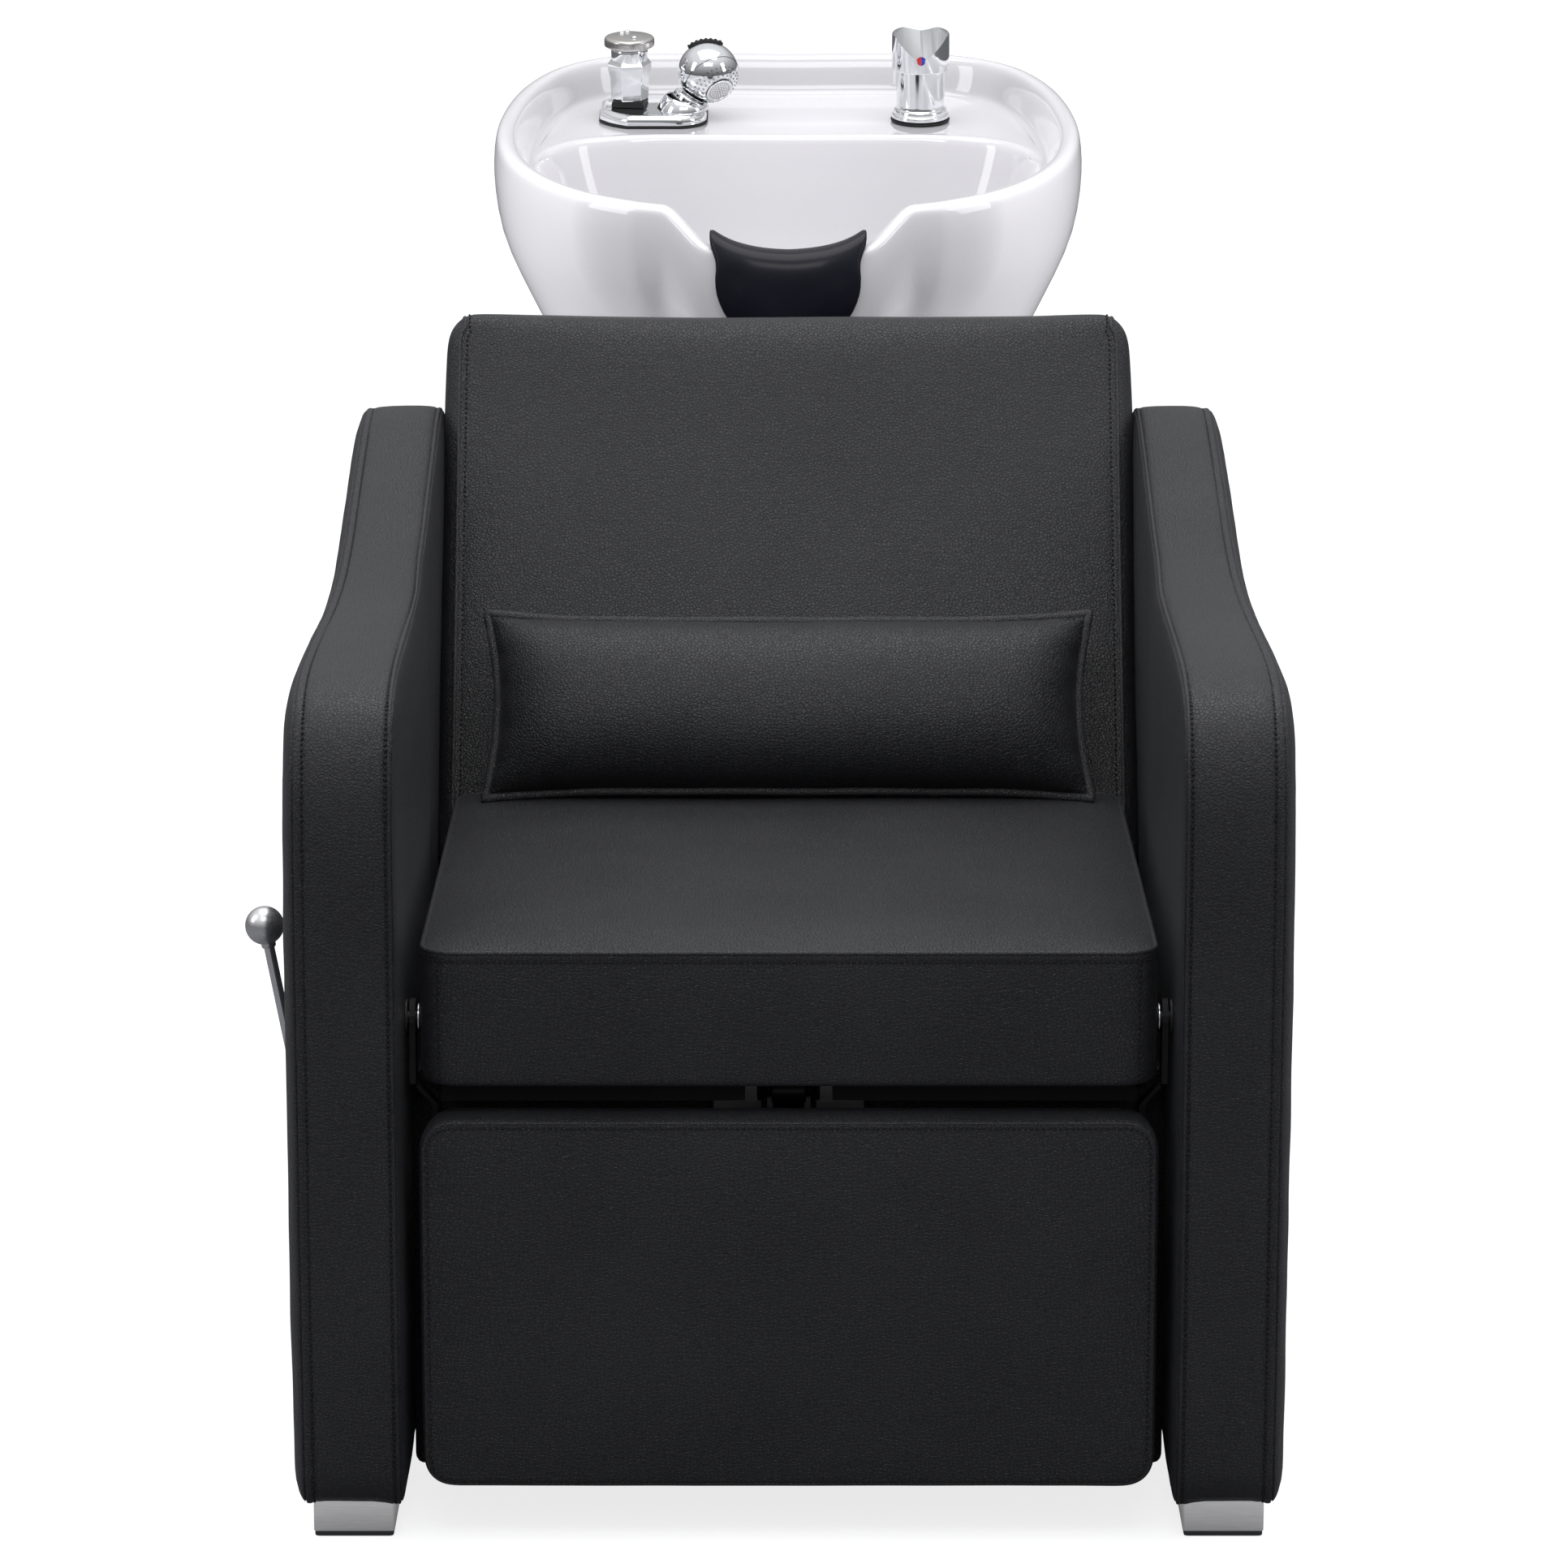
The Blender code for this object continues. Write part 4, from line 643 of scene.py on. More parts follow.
def lofts(solids):
    """Vertices and faces of several separate capped lofts."""
    verts, faces = [], []
    for rings in solids:
        base = len(verts)
        more_verts, more_faces = loft(rings)
        verts += more_verts
        faces += [tuple(base + i for i in face) for face in more_faces]
    return verts, faces


def frame_of(axis):
    """Two unit vectors across an axis, and the unit axis."""
    axis = Vector(axis).normalized()
    if abs(axis.z) < .9:
        across = axis.orthogonal().normalized()
    else:
        across = Vector((1, 0, 0)).cross(axis).cross(axis) * -1
    across = (across - axis * across.dot(axis)).normalized()
    return across, axis.cross(across), axis


def turned(name, base, axis, profile, material, body=None, sides=56, spin=0.0, smooth=32.0,
           edge=0.0, **options):
    """Turned shape from (radius, height) pairs; a repeated first point closes it as a ring."""
    across, up, axis = frame_of(axis)
    closed = tuple(profile[0]) == tuple(profile[-1])
    rings = [circle(base + axis * height, across, up, radius, sides, spin)
             for radius, height in (profile[:-1] if closed else profile)]
    piece = make(name, *loft(rings, close=closed), material, body, smooth, **options)
    if edge:
        bevel(piece, edge)
    return piece


def rounded(profile, radius, steps=3, closed=False):
    """A (radius, height) profile with its corners rounded where there is room."""
    points = [Vector(point) for point in profile]
    count = len(points)
    result = []
    for i, point in enumerate(points):
        if not closed and i in (0, count - 1):
            result.append(tuple(point))
            continue
        back, ahead = points[i - 1] - point, points[(i + 1) % count] - point
        reach = min(radius, back.length * 0.45, ahead.length * 0.45)
        if reach < 1e-6:
            result.append(tuple(point))
            continue
        start, end = point + back.normalized() * reach, point + ahead.normalized() * reach
        for k in range(steps + 1):
            t = k / steps
            result.append(tuple(start * (1 - t) ** 2 + point * 2 * t * (1 - t) + end * t * t))
    if closed:
        result.append(result[0])
    return result


def rounded_ring(profile, radius, steps=3):
    return rounded(profile, radius, steps, closed=True)


def tube(name, points, radius, material, body=None, sides=16, inner=None, closed=False, flat=1.0,
         up=None, **options):
    """Tube along a path, with UVs (turn, length).

    radius may be a function of length; inner hollows the tube; flat squeezes it along up.
    """
    points = [Vector(point) for point in points]
    count = len(points)
    across = up
    rings, uvs = [], []
    for i, (point, length) in enumerate(zip(points, arc_lengths(points))):
        before = points[i - 1] if closed or i else point
        after = points[(i + 1) % count] if closed or i < count - 1 else point
        along = (after - before).normalized()
        if up is not None:
            across = up
        elif across is None:
            across = frame_of(along)[0]
        across = (across - along * across.dot(along)).normalized()
        size = radius(length) if callable(radius) else radius
        rings.append(circle(point, across * flat, along.cross(across), size, sides))
        uvs += [(k / sides, length) for k in range(sides)]
    if inner is not None:
        rings += [[point + (spot - point).normalized() * inner for spot in ring]
                  for point, ring in zip(points[::-1], rings[::-1])]
        uvs += [(k / sides, 0) for k in range(sides)] * count
    return make(name, *loft(rings, close=closed or inner is not None), material, body, 60,
                uvs=uvs, **options)


BOX_FACES = [(0, 1, 3, 2), (4, 6, 7, 5), (0, 4, 5, 1), (2, 3, 7, 6), (0, 2, 6, 4), (1, 5, 7, 3)]


def slab(name, xs, depths, zs, material, edge, body=None, replaces=None):
    """Bevelled box between pairs of limits."""
    verts = [at(x, depth, z) for x in xs for depth in depths for z in zs]
    return bevel(make(name, verts, BOX_FACES, material, body, 30, replaces), edge, 3)


STITCH_PITCH, STITCH_LENGTH, STITCH_SINK = 0.0040, 0.0030, 0.00012
# share along the stitch, share of its radius, lift in radii
STITCH_SHAPE = [(-0.5, 0.35, -1.0), (-0.30, 0.95, 0.1), (0.0, 1.0, 0.35), (0.30, 0.95, 0.1),
                (0.5, 0.35, -1.0)]


def stitches(name, path, normals, body=None, closed=False, radius=0.00068):
    """A row of thread: short rounded dashes that dip into the leather at both ends."""
    if closed:
        path, normals = path + [path[0]], normals + [normals[0]]
    lengths = arc_lengths(path)
    count = max(1, int(lengths[-1] / STITCH_PITCH))
    dashes = []
    for j, t in positions(lengths, [lengths[-1] * (i + 0.5) / count for i in range(count)]):
        centre = path[j].lerp(path[j + 1], t)
        along = (path[j + 1] - path[j]).normalized()
        up = normals[j].lerp(normals[j + 1], t)
        up = (up - along * up.dot(along)).normalized()
        dashes.append([circle(centre + along * (share * STITCH_LENGTH)
                              + up * (lift * radius - STITCH_SINK),
                              along.cross(up), up, size * radius, 6)
                       for share, size, lift in STITCH_SHAPE])
    return make(name, *lofts(dashes), THREAD, body, 50)


def coords(piece):
    flat = np.zeros(len(piece.data.vertices) * 3)
    piece.data.vertices.foreach_get("co", flat)
    return flat.reshape(-1, 3)


def set_coords(piece, places):
    piece.data.vertices.foreach_set("co", np.ascontiguousarray(places, np.float32).ravel())
    piece.data.update()


def normals_of(piece):
    flat = np.zeros(len(piece.data.vertices) * 3, np.float32)
    piece.data.vertices.foreach_get("normal", flat)
    return flat.reshape(-1, 3).astype(float)


def ripple(piece, low, mid, low_scale, mid_scale, seed, mask=None, extra=None):
    """Unevenness along the normals: slow swells (low) and small dimples (mid).

    extra(place, normal) adds a height of its own; mask weights each vertex.
    """
    places, normals = coords(piece), normals_of(piece)
    moved = places.copy()
    offset = Vector((seed, seed * 1.7, -seed))
    for i, row in enumerate(places):
        place = Vector(row)
        height = (low * noise.noise(place * low_scale + offset)
                  + mid * noise.noise(place * mid_scale + offset))
        if extra is not None:
            height += extra(place, Vector(normals[i]))
        if mask is not None:
            height *= mask[i]
        moved[i] = row + normals[i] * height
    set_coords(piece, moved)


CLOTH_FRAMES = 20


def inflate(piece, pinned, cap, gain):
    """Cloth under inner pressure, held at the pinned vertices and written to the mesh.

    The movement is scaled by gain and eased off towards cap.
    """
    scene = bpy.context.scene
    rest = coords(piece)
    group = piece.vertex_groups.new(name="pin")
    for i in pinned:
        group.add([i], 1.0, "REPLACE")
    modifier = piece.modifiers.new("cloth", "CLOTH")
    cloth = modifier.settings
    cloth.quality = 6
    cloth.mass = 0.3
    cloth.tension_stiffness = cloth.compression_stiffness = 16.0
    cloth.shear_stiffness = 6
    cloth.bending_stiffness = 0.6
    cloth.use_pressure = True
    cloth.uniform_pressure_force = 4.0
    cloth.effector_weights.gravity = 0
    cloth.vertex_group_mass = "pin"
    cloth.pin_stiffness = 1
    modifier.collision_settings.use_collision = False
    modifier.collision_settings.use_self_collision = False
    modifier.point_cache.frame_start, modifier.point_cache.frame_end = 1, CLOTH_FRAMES
    scene.frame_start, scene.frame_end = 1, CLOTH_FRAMES
    for step in range(1, CLOTH_FRAMES + 1):
        scene.frame_set(step)
    result = piece.evaluated_get(bpy.context.evaluated_depsgraph_get()).data
    now = np.zeros(len(result.vertices) * 3, np.float32)
    result.vertices.foreach_get("co", now)
    now = now.reshape(-1, 3).astype(float)
    piece.modifiers.remove(modifier)
    piece.vertex_groups.remove(group)
    scene.frame_set(1)
    if not np.isfinite(now).all():      # the cloth blew up: keep the rest shape
        return
    move = (now - rest) * gain
    size = np.linalg.norm(move, axis=1)
    eased = cap * np.tanh(size / cap)
    set_coords(piece, rest + move * (eased / np.maximum(size, 1e-9))[:, None])


class Lattice:
    """Box of quads for upholstery, with rounded plan corners and top and bottom edges."""

    def __init__(self, xs, ys, zs, plan_r, top_r, bottom_r):
        self.nx, self.ny, self.nz = nx, ny, nz = len(xs) - 1, len(ys) - 1, len(zs) - 1
        self.ids, self.points, self.faces = {}, [], []
        mid_x, mid_y = (xs[0] + xs[-1]) / 2, (ys[0] + ys[-1]) / 2
        half_x, half_y = (xs[-1] - xs[0]) / 2, (ys[-1] - ys[0]) / 2

        def place(x, y, z):
            side_x, side_y = (1 if x >= mid_x else -1), (1 if y >= mid_y else -1)
            off_x, off_y = abs(x - mid_x) - (half_x - plan_r), abs(y - mid_y) - (half_y - plan_r)
            gap_x, gap_y = half_x - abs(x - mid_x), half_y - abs(y - mid_y)
            # inset is the distance from the side wall; (in_x, in_y) points away from the wall
            if off_x > 0 and off_y > 0:
                squeeze = max(off_x, off_y) / math.hypot(off_x, off_y)
                off_x, off_y = off_x * squeeze, off_y * squeeze
                reach = math.hypot(off_x, off_y)
                inset = plan_r - reach
                in_x, in_y = -side_x * off_x / reach, -side_y * off_y / reach
            elif gap_x < gap_y:
                inset, in_x, in_y = gap_x, -side_x, 0.0
            else:
                inset, in_x, in_y = gap_y, 0.0, -side_y
            x = mid_x + side_x * (off_x + half_x - plan_r)
            y = mid_y + side_y * (off_y + half_y - plan_r)
            for edge, radius, sign in ((zs[-1], top_r, -1), (zs[0], bottom_r, 1)):
                rise = abs(edge - z)
                if inset < radius and rise < radius:
                    wide, high = radius - inset, radius - rise
                    squeeze = max(wide, high) / math.hypot(wide, high)
                    shift = radius - wide * squeeze - inset
                    return (x + in_x * shift, y + in_y * shift,
                            edge + sign * (radius - high * squeeze))
            return (x, y, z)

        for i, x in enumerate(xs):
            for j, y in enumerate(ys):
                for k, z in enumerate(zs):
                    if 0 < i < nx and 0 < j < ny and 0 < k < nz:
                        continue
                    self.ids[i, j, k] = len(self.points)
                    self.points.append(place(x, y, z))
        for i in range(nx):
            for j in range(ny):
                self.quad((i, j, nz), (i + 1, j, nz), (i + 1, j + 1, nz), (i, j + 1, nz))
                self.quad((i, j, 0), (i, j + 1, 0), (i + 1, j + 1, 0), (i + 1, j, 0))
        for i in range(nx):
            for k in range(nz):
                self.quad((i, 0, k), (i + 1, 0, k), (i + 1, 0, k + 1), (i, 0, k + 1))
                self.quad((i, ny, k), (i, ny, k + 1), (i + 1, ny, k + 1), (i + 1, ny, k))
        for j in range(ny):
            for k in range(nz):
                self.quad((0, j, k), (0, j, k + 1), (0, j + 1, k + 1), (0, j + 1, k))
                self.quad((nx, j, k), (nx, j + 1, k), (nx, j + 1, k + 1), (nx, j, k + 1))

    def quad(self, *keys):
        self.faces.append(tuple(self.ids[key] for key in keys))

    def ring(self, inset, k):
        """Closed index loop on layer k, a number of cells in from the sides."""
        return [self.ids[i, j, k] for i, j in border(self.nx, self.ny, inset)]

    def column(self, i):
        """Line up the front at column i, over the top and down behind it (for the backrest)."""
        return ([self.ids[i, j, self.nz] for j in range(self.ny, 0, -1)]
                + [self.ids[i, 0, k] for k in range(self.nz, -1, -1)])


def spaced(low, high, edge, step):
    """Coordinates at the given offsets from both ends, with an even step between."""
    start, end = low + edge[-1], high - edge[-1]
    count = max(1, round((end - start) / step))
    return ([low + offset for offset in edge]
            + [start + (end - start) * i / count for i in range(1, count)]
            + [high - offset for offset in edge[::-1]])


def cushion(name, lattice, mapping, body, replaces, seams, pins, cap, gain, seed, low=0.0007,
            extra=None):
    """Inflated leather cover: seams are sunk and held, pins and the under side are held."""
    piece = make(name, [mapping(point) for point in lattice.points], lattice.faces, LEATHER,
                 LATER, 180, replaces)
    for seam in seams:
        places, normals = coords(piece), normals_of(piece)
        for i in seam:
            places[i] -= normals[i] * 0.0004
        set_coords(piece, places)
    held = {i for ids in seams + pins for i in ids}
    held |= {index for (_, _, k), index in lattice.ids.items() if k == 0}
    inflate(piece, held, cap, gain)
    mask = [0.25 if i in held else 1.0 for i in range(len(piece.data.vertices))]
    ripple(piece, low, 0.0002, low_scale=6.5, mid_scale=30.0, seed=seed, mask=mask, extra=extra)
    subdivide(piece)
    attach(piece, body)
    return piece


def path_on(piece, ids, lift):
    places, normals = coords(piece), normals_of(piece)
    return [Vector(places[i] + normals[i] * lift) for i in ids], [Vector(normals[i]) for i in ids]


def stitch_on(piece, ids, closed=False, name="row", body=None):
    return stitches(name, *path_on(piece, ids, 0.0004), body, closed)


def welt_on(piece, ids, lift, radius, closed=False, name="welt", body=None):
    path = resample(path_on(piece, ids, lift)[0], 0.006, closed)
    return tube(name, path, radius, PIPING, body, sides=10, closed=closed)


# ------------------------------------------------------------------ arms
# (depth, z) over the arm, from the front hem to the rear hem
ARM_SIDE = [(0.012, 0.030), (0.003, 0.060), (0.0, 0.20), (0.0, 0.40), (0.001, 0.500),
            (0.010, 0.552), (0.032, 0.584), (0.075, 0.599), (0.150, 0.603), (0.300, 0.602),
            (0.400, 0.606), (0.480, 0.616), (0.560, 0.636), (0.640, 0.656), (0.700, 0.669),
            (0.742, 0.672), (0.776, 0.661), (0.796, 0.632), (0.800, 0.580), (0.795, 0.400),
            (0.785, 0.200), (0.778, 0.060), (0.768, 0.030)]
# (x, inset of the outline): inner panel's rolled edge, seam, raised allowance, sewn line and
# band, then the same outwards
ARM_PROFILE = [
    (0.2650, 0.0090), (0.2656, 0.0060), (0.2664, 0.0038), (0.2671, 0.0026), (0.2675, 0.0036),
    (0.2679, 0.0014), (0.2685, 0.0006), (0.2694, 0.0004), (0.2703, 0.0006), (0.2709, 0.0010),
    (0.2713, 0.0014), (0.2717, 0.0009), (0.2725, 0.0004), (0.2745, -0.0003), (0.2790, -0.0008),
    (0.2870, -0.0012), (0.2990, -0.0013), (0.3110, -0.0011), (0.3200, -0.0006), (0.3245, 0.0),
    (0.3262, 0.0006), (0.3270, 0.0009), (0.3275, 0.0015), (0.3279, 0.0010), (0.3287, 0.0008),
    (0.3303, 0.0006), (0.3320, 0.0008), (0.3332, 0.0014), (0.3337, 0.0034), (0.3343, 0.0024),
    (0.3358, 0.0036), (0.3374, 0.0060), (0.3388, 0.0090)]
# how far each loop of a side panel lies towards the panel's centre
PANEL_SHARES = [0.012, 0.026, 0.045, 0.072, 0.11, 0.17, 0.26, 0.38, 0.52, 0.68, 0.85]
ARM_CENTRE = Vector((0.415, 0.320))
ARM_SEAMS = ((0.2713, 0.0012), (0.3275, 0.0013))    # x and inset of the stitch rows
FOOT_DEPTHS = (0.053, 0.715)


def arm_outline():
    """Closed, evenly spaced (depth, z) loop, hem included."""
    (front, hem), rear = ARM_SIDE[0], ARM_SIDE[-1][0]
    under = [Vector((rear + (front - rear) * t / 40, hem)) for t in range(1, 40)]
    points = resample(catmull(ARM_SIDE, 10) + under, 0.0065, closed=True)
    for _ in range(2):      # soften the two bottom corners
        points = [point * 0.5 + (points[i - 1] + points[(i + 1) % len(points)]) * 0.25
                  if point.y < 0.045 else point for i, point in enumerate(points)]
    return points[::-1]


OUTLINE = arm_outline()
INWARD = loop_normals(OUTLINE, passes=3)


def arm_x(x, depth, side):
    """x with the arm's slight taper towards the rear, on either side."""
    share = (x - ARM_IN) / (ARM_OUT - ARM_IN)
    inner = ARM_IN + (ARM_IN_REAR - ARM_IN) * smoothstep((depth - 0.33) / 0.14)
    outer = ARM_OUT - 0.0055 * smoothstep((depth - 0.03) / 0.40)
    return side * (inner + (outer - inner) * share)


def hem_shift(point, x):
    """The hem dips a little round each foot, least over the foot itself."""
    drop = 0.0
    for foot in FOOT_DEPTHS:
        near = 1 - smoothstep((abs(point.x - foot) - 0.036) / 0.030)
        over = math.exp(-((x - 0.3013) / 0.0255) ** 6)
        drop += near * (0.0012 * over + 0.0052 * (1 - over))
    return -drop * smoothstep((0.062 - point.y) / 0.030)


def arm_creases(place, normal):
    """Gathers at the front elbow, puckers beside the sewn lines, faint drag on the panels."""
    depth, z, x = place.y - FRONT, place.z, abs(place.x)
    bend = math.exp(-(((depth - 0.022) / 0.035) ** 2 + ((z - 0.565) / 0.045) ** 2))
    height = (-0.00045 * bend * abs(math.sin((z - depth) * 260 + 2 * noise.noise(place * 40)))
              * (0.4 + 0.6 * abs(noise.noise(place * 25))))
    along = z if depth < 0.03 else depth
    for seam_x in (0.2712, 0.3275):
        near = math.exp(-((x - seam_x) / 0.0045) ** 2)
        if near > 0.05:
            phase = along * 2 * math.pi / 0.0106 + 3 * noise.noise(place * 30)
            height += 0.00022 * near * math.sin(phase)
    if abs(normal.x) > 0.9:
        height += 0.0005 * noise.noise(Vector((depth * 5, z * 22, place.x * 3)))
    return height


def build_arm(side, tag):
    border_pairs = list(zip(OUTLINE, INWARD))
    sections = []
    inner_edge = [point + inward * 0.0105 for point, inward in border_pairs]
    for share in PANEL_SHARES[::-1]:
        bulge = 1 - math.exp(-share / 0.034)
        x = 0.2646 - 0.0012 * bulge - 0.0004 * math.sin(math.pi * share)
        sections.append([(x, point.lerp(ARM_CENTRE, share)) for point in inner_edge])
    for x, inset in ARM_PROFILE:
        sections.append([(x, point + inward * inset) for point, inward in border_pairs])
    outer_edge = [point + inward * 0.0115 for point, inward in border_pairs]
    for share in PANEL_SHARES:
        bulge = 1 - math.exp(-share / 0.020)
        section = []
        for point in outer_edge:
            spot = point.lerp(ARM_CENTRE, share)
            # the right arm is drawn in round the lever
            near = math.exp(-(((spot.x - LEVER[0]) / 0.034) ** 2
                              + ((spot.y - LEVER[1]) / 0.034) ** 2)) if side < 0 else 0.0
            section.append((0.3396 + 0.0038 * bulge - 0.0026 * near, spot))
        sections.append(section)
    verts, faces = loft([[at(arm_x(x, spot.x, side), spot.x, spot.y + hem_shift(spot, x))
                          for x, spot in section] for section in sections], caps=False)
    count = len(OUTLINE)
    for base, x in ((0, 0.2632), ((len(sections) - 1) * count, 0.3415)):
        centre = len(verts)
        verts.append(at(arm_x(x, ARM_CENTRE.x, side), *ARM_CENTRE))
        faces += [(base + i, base + (i + 1) % count, centre) for i in range(count)]
    arm = make(f"arm_cover_{tag}", verts, faces, LEATHER, LATER, 180, f"arm_padding_{tag}")
    ripple(arm, 0.0009, 0.00022, low_scale=6.0, mid_scale=36.0, seed=3.1 * side,
           extra=arm_creases)
    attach(arm, "frame")
    rows = []
    for x, inset in ARM_SEAMS:
        path = [at(arm_x(x, point.x, side), point.x + inward.x * (inset - 0.0003),
                   point.y + inward.y * inset + hem_shift(point, x))
                for point, inward in border_pairs]
        outward = [Vector((0, -inward.x, -inward.y)) for inward in INWARD]
        rows.append(stitches("row", path, outward, closed=True))
    joined(f"arm_stitches_{tag}", rows, "frame")


for side, tag in SIDES:
    build_arm(side, tag)


# ------------------------------------------------------------------ feet
def square(centre, half, z, radius=0.0022):
    """Horizontal square ring with rounded corners."""
    reach = half - radius
    return [Vector((x, y, z))
            for side_x, side_y, start in ((1, 1, 0), (-1, 1, 90), (-1, -1, 180), (1, -1, 270))
            for x, y in corner(centre.x + side_x * reach, centre.y + side_y * reach,
                               radius, start, 6)]


# inset of the wall, z, and a corner radius where it is not the usual one
BOOT_RINGS = [(0.0028, 0.006, 0.001), (0.0026, 0.0040, 0.001), (0.0004, 0.0040), (0, 0.0044),
              (0, 0.0120), (0, 0.0220), (0, 0.0346), (0.001, 0.0352)]
GLIDE_RINGS = [(0.0018, 0.0), (0.0010, 0.0004), (0.0007, 0.0012), (0.0007, 0.0034),
               (0.0012, 0.0038)]

for side, tag in SIDES:
    for where in ("front", "rear"):
        low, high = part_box(f"foot_{where}_{tag}")
        centre, half = (low + high) / 2, (high.x - low.x) / 2
        for kind, cad, table, material in (("boot", "foot", BOOT_RINGS, BOOT),
                                           ("glide", "glide", GLIDE_RINGS, GLIDE)):
            rings = [square(centre, half - inset, *rest) for inset, *rest in table]
            make(f"foot_{kind}_{where}_{tag}", *loft(rings), material, "frame", 35,
                 f"{cad}_{where}_{tag}")

# ------------------------------------------------------------------ seat cushion
SEAT_BOXING = 0.0945        # height for which the edge radii are given
SEAT_LAYERS = [0.0, 0.03, 0.10, 0.22, 0.36, 0.50, 0.64, 0.76, 0.84, 0.895, 0.925, 0.948, 0.970,
               0.985, 1.0]
SEAT_EDGE = [0, 0.0016, 0.0040, 0.0072, 0.0110, 0.0160, 0.0230]


def seat_map(point):
    """Stretches the boxing to the sloping top and leans its rear to the backrest."""
    x, depth, z = point
    share = (depth - SEAT_FRONT) / (SEAT_REAR - SEAT_FRONT)
    top = SEAT_Z_FRONT + (SEAT_Z_REAR - SEAT_Z_FRONT) * share - 0.0030
    z = SEAT_Z_BOTTOM + z / SEAT_BOXING * (top - SEAT_Z_BOTTOM)
    lean = smoothstep((depth - (SEAT_REAR - 0.20)) / 0.16) * math.tan(RECLINE)
    return at(x, depth + lean * max(0.0, z - 0.338), z)


grid = Lattice(spaced(-SEAT_W, SEAT_W, SEAT_EDGE, 0.0105),
               spaced(SEAT_FRONT, SEAT_REAR, SEAT_EDGE, 0.0105),
               [share * SEAT_BOXING for share in SEAT_LAYERS],
               plan_r=0.025, top_r=0.0042, bottom_r=0.0065)
top_edge = grid.ring(0, grid.nz)
sewn_layer = grid.nz - 4
sewn = grid.ring(0, sewn_layer)
front_seams = [[grid.ids[i, 0, k] for k in range(1, sewn_layer + 1)] for i in (4, grid.nx - 4)]
seat = cushion("seat_cushion_cover", grid, seat_map, "frame", "seat_cushion",
               [sewn] + front_seams, [top_edge, grid.ring(0, 0), grid.ring(0, 1)],
               cap=0.0082, gain=1.0, seed=1.3)
joined("seat_stitches", [stitch_on(seat, sewn, closed=True)]
       + [stitch_on(seat, ids) for ids in front_seams], "frame")
welt_on(seat, top_edge, -0.0002, 0.0017, closed=True, name="seat_seam_welt", body="frame")

# ------------------------------------------------------------------ backrest
BACK_EDGE_X = [0, 0.0025, 0.006, 0.0105, 0.0138, 0.0162, 0.0185, 0.0215, 0.027]
BACK_EDGE_Y = [0, 0.0025, 0.006, 0.011, 0.017, 0.025]
BACK_LAYERS = [0.0, 0.002, 0.006, 0.014, 0.026, 0.040, 0.052, 0.0605, 0.066, 0.071, 0.0745,
               0.0775, BACK_T - 0.002]


def back_map(point):
    """(x, distance down from the top, distance forwards from the rear face)"""
    x, down, forward = point
    return back_top + Vector((x, 0, 0)) - back_up * down - back_out * (BACK_T - forward)


def back_gathers(place, normal):
    """Light gathers along the side seams of the front face."""
    if normal.dot(back_out) <= 0.5:
        return 0.0
    down = -(place - back_top).dot(back_up)
    near = math.exp(-((abs(place.x) - 0.2500) / 0.007) ** 2)
    return 0.00022 * near * math.sin(down * 2 * math.pi / 0.0115 + 3 * noise.noise(place * 25))


grid = Lattice(spaced(-BACK_W, BACK_W, BACK_EDGE_X, 0.0115),
               spaced(0.0, BACK_H, BACK_EDGE_Y, 0.0115), BACK_LAYERS,
               plan_r=0.026, top_r=0.013, bottom_r=0.006)
seams = [grid.column(5), grid.column(grid.nx - 5)]
edges = [grid.column(3), grid.column(grid.nx - 3)]
backrest = cushion("backrest_cover", grid, back_map, "frame", "backrest_cushion", seams, edges,
                   cap=0.0060, gain=0.6, seed=4.2, low=0.0010, extra=back_gathers)
rows = [stitch_on(backrest, ids) for ids in seams]
welts = [welt_on(backrest, ids, -0.0005, 0.0016) for ids in edges]
joined("backrest_stitches", rows, "frame")
joined("backrest_seam_welts", welts, "frame")

# ------------------------------------------------------------------ leg rest pad
LEG_EDGE = [0, 0.0014, 0.0034, 0.0055, 0.0090, 0.0140, 0.0210]
LEG_LAYERS = [0.0, 0.003, 0.010, 0.018, 0.025, 0.0295, 0.0325, 0.0345, 0.0360]


def leg_map(point):
    """(x, z, distance forwards from the board); the pad widens towards its front face"""
    x, z, forward = point
    return at(x * (1 + 0.0085 * smoothstep(forward / 0.030)), 0.0500 - forward, z)


grid = Lattice(spaced(-0.2503, 0.2503, LEG_EDGE, 0.0110), spaced(0.039, 0.3030, LEG_EDGE, 0.0105),
               LEG_LAYERS, plan_r=0.0215, top_r=0.0058, bottom_r=0.004)
seam = grid.ring(3, grid.nz)
leg_pad = cushion("footrest_cover", grid, leg_map, "footrest", "footrest_pad", [seam],
                  [grid.ring(0, grid.nz), grid.ring(0, 0), grid.ring(0, 1)],
                  cap=0.0065, gain=0.8, seed=7.7)
stitch_on(leg_pad, seam, closed=True, name="footrest_stitches", body="footrest")
welt_on(leg_pad, grid.ring(1, grid.nz), -0.0008, 0.0013, closed=True,
        name="footrest_edge_welt", body="footrest")

# ------------------------------------------------------------------ apron behind the leg rest
# right half of the (x, z) outline is mirrored; the middle is notched for the gas spring
APRON_HALF = [(0.2615, 0.0335), (0.2615, 0.3225), (0.2402, 0.3225), (0.2402, 0.3080),
              (0.052, 0.3080), (0.052, 0.198)]
# (inset of the outline, depth) from the rear face to the front face
APRON_SECTION = [(0.0030, 0.0965), (0.0010, 0.0958), (0.0, 0.0935), (0.0, 0.0850),
                 (0.0008, 0.0818), (0.0020, 0.0804), (0.0030, 0.0800), (0.0034, 0.0806),
                 (0.0038, 0.0800)]


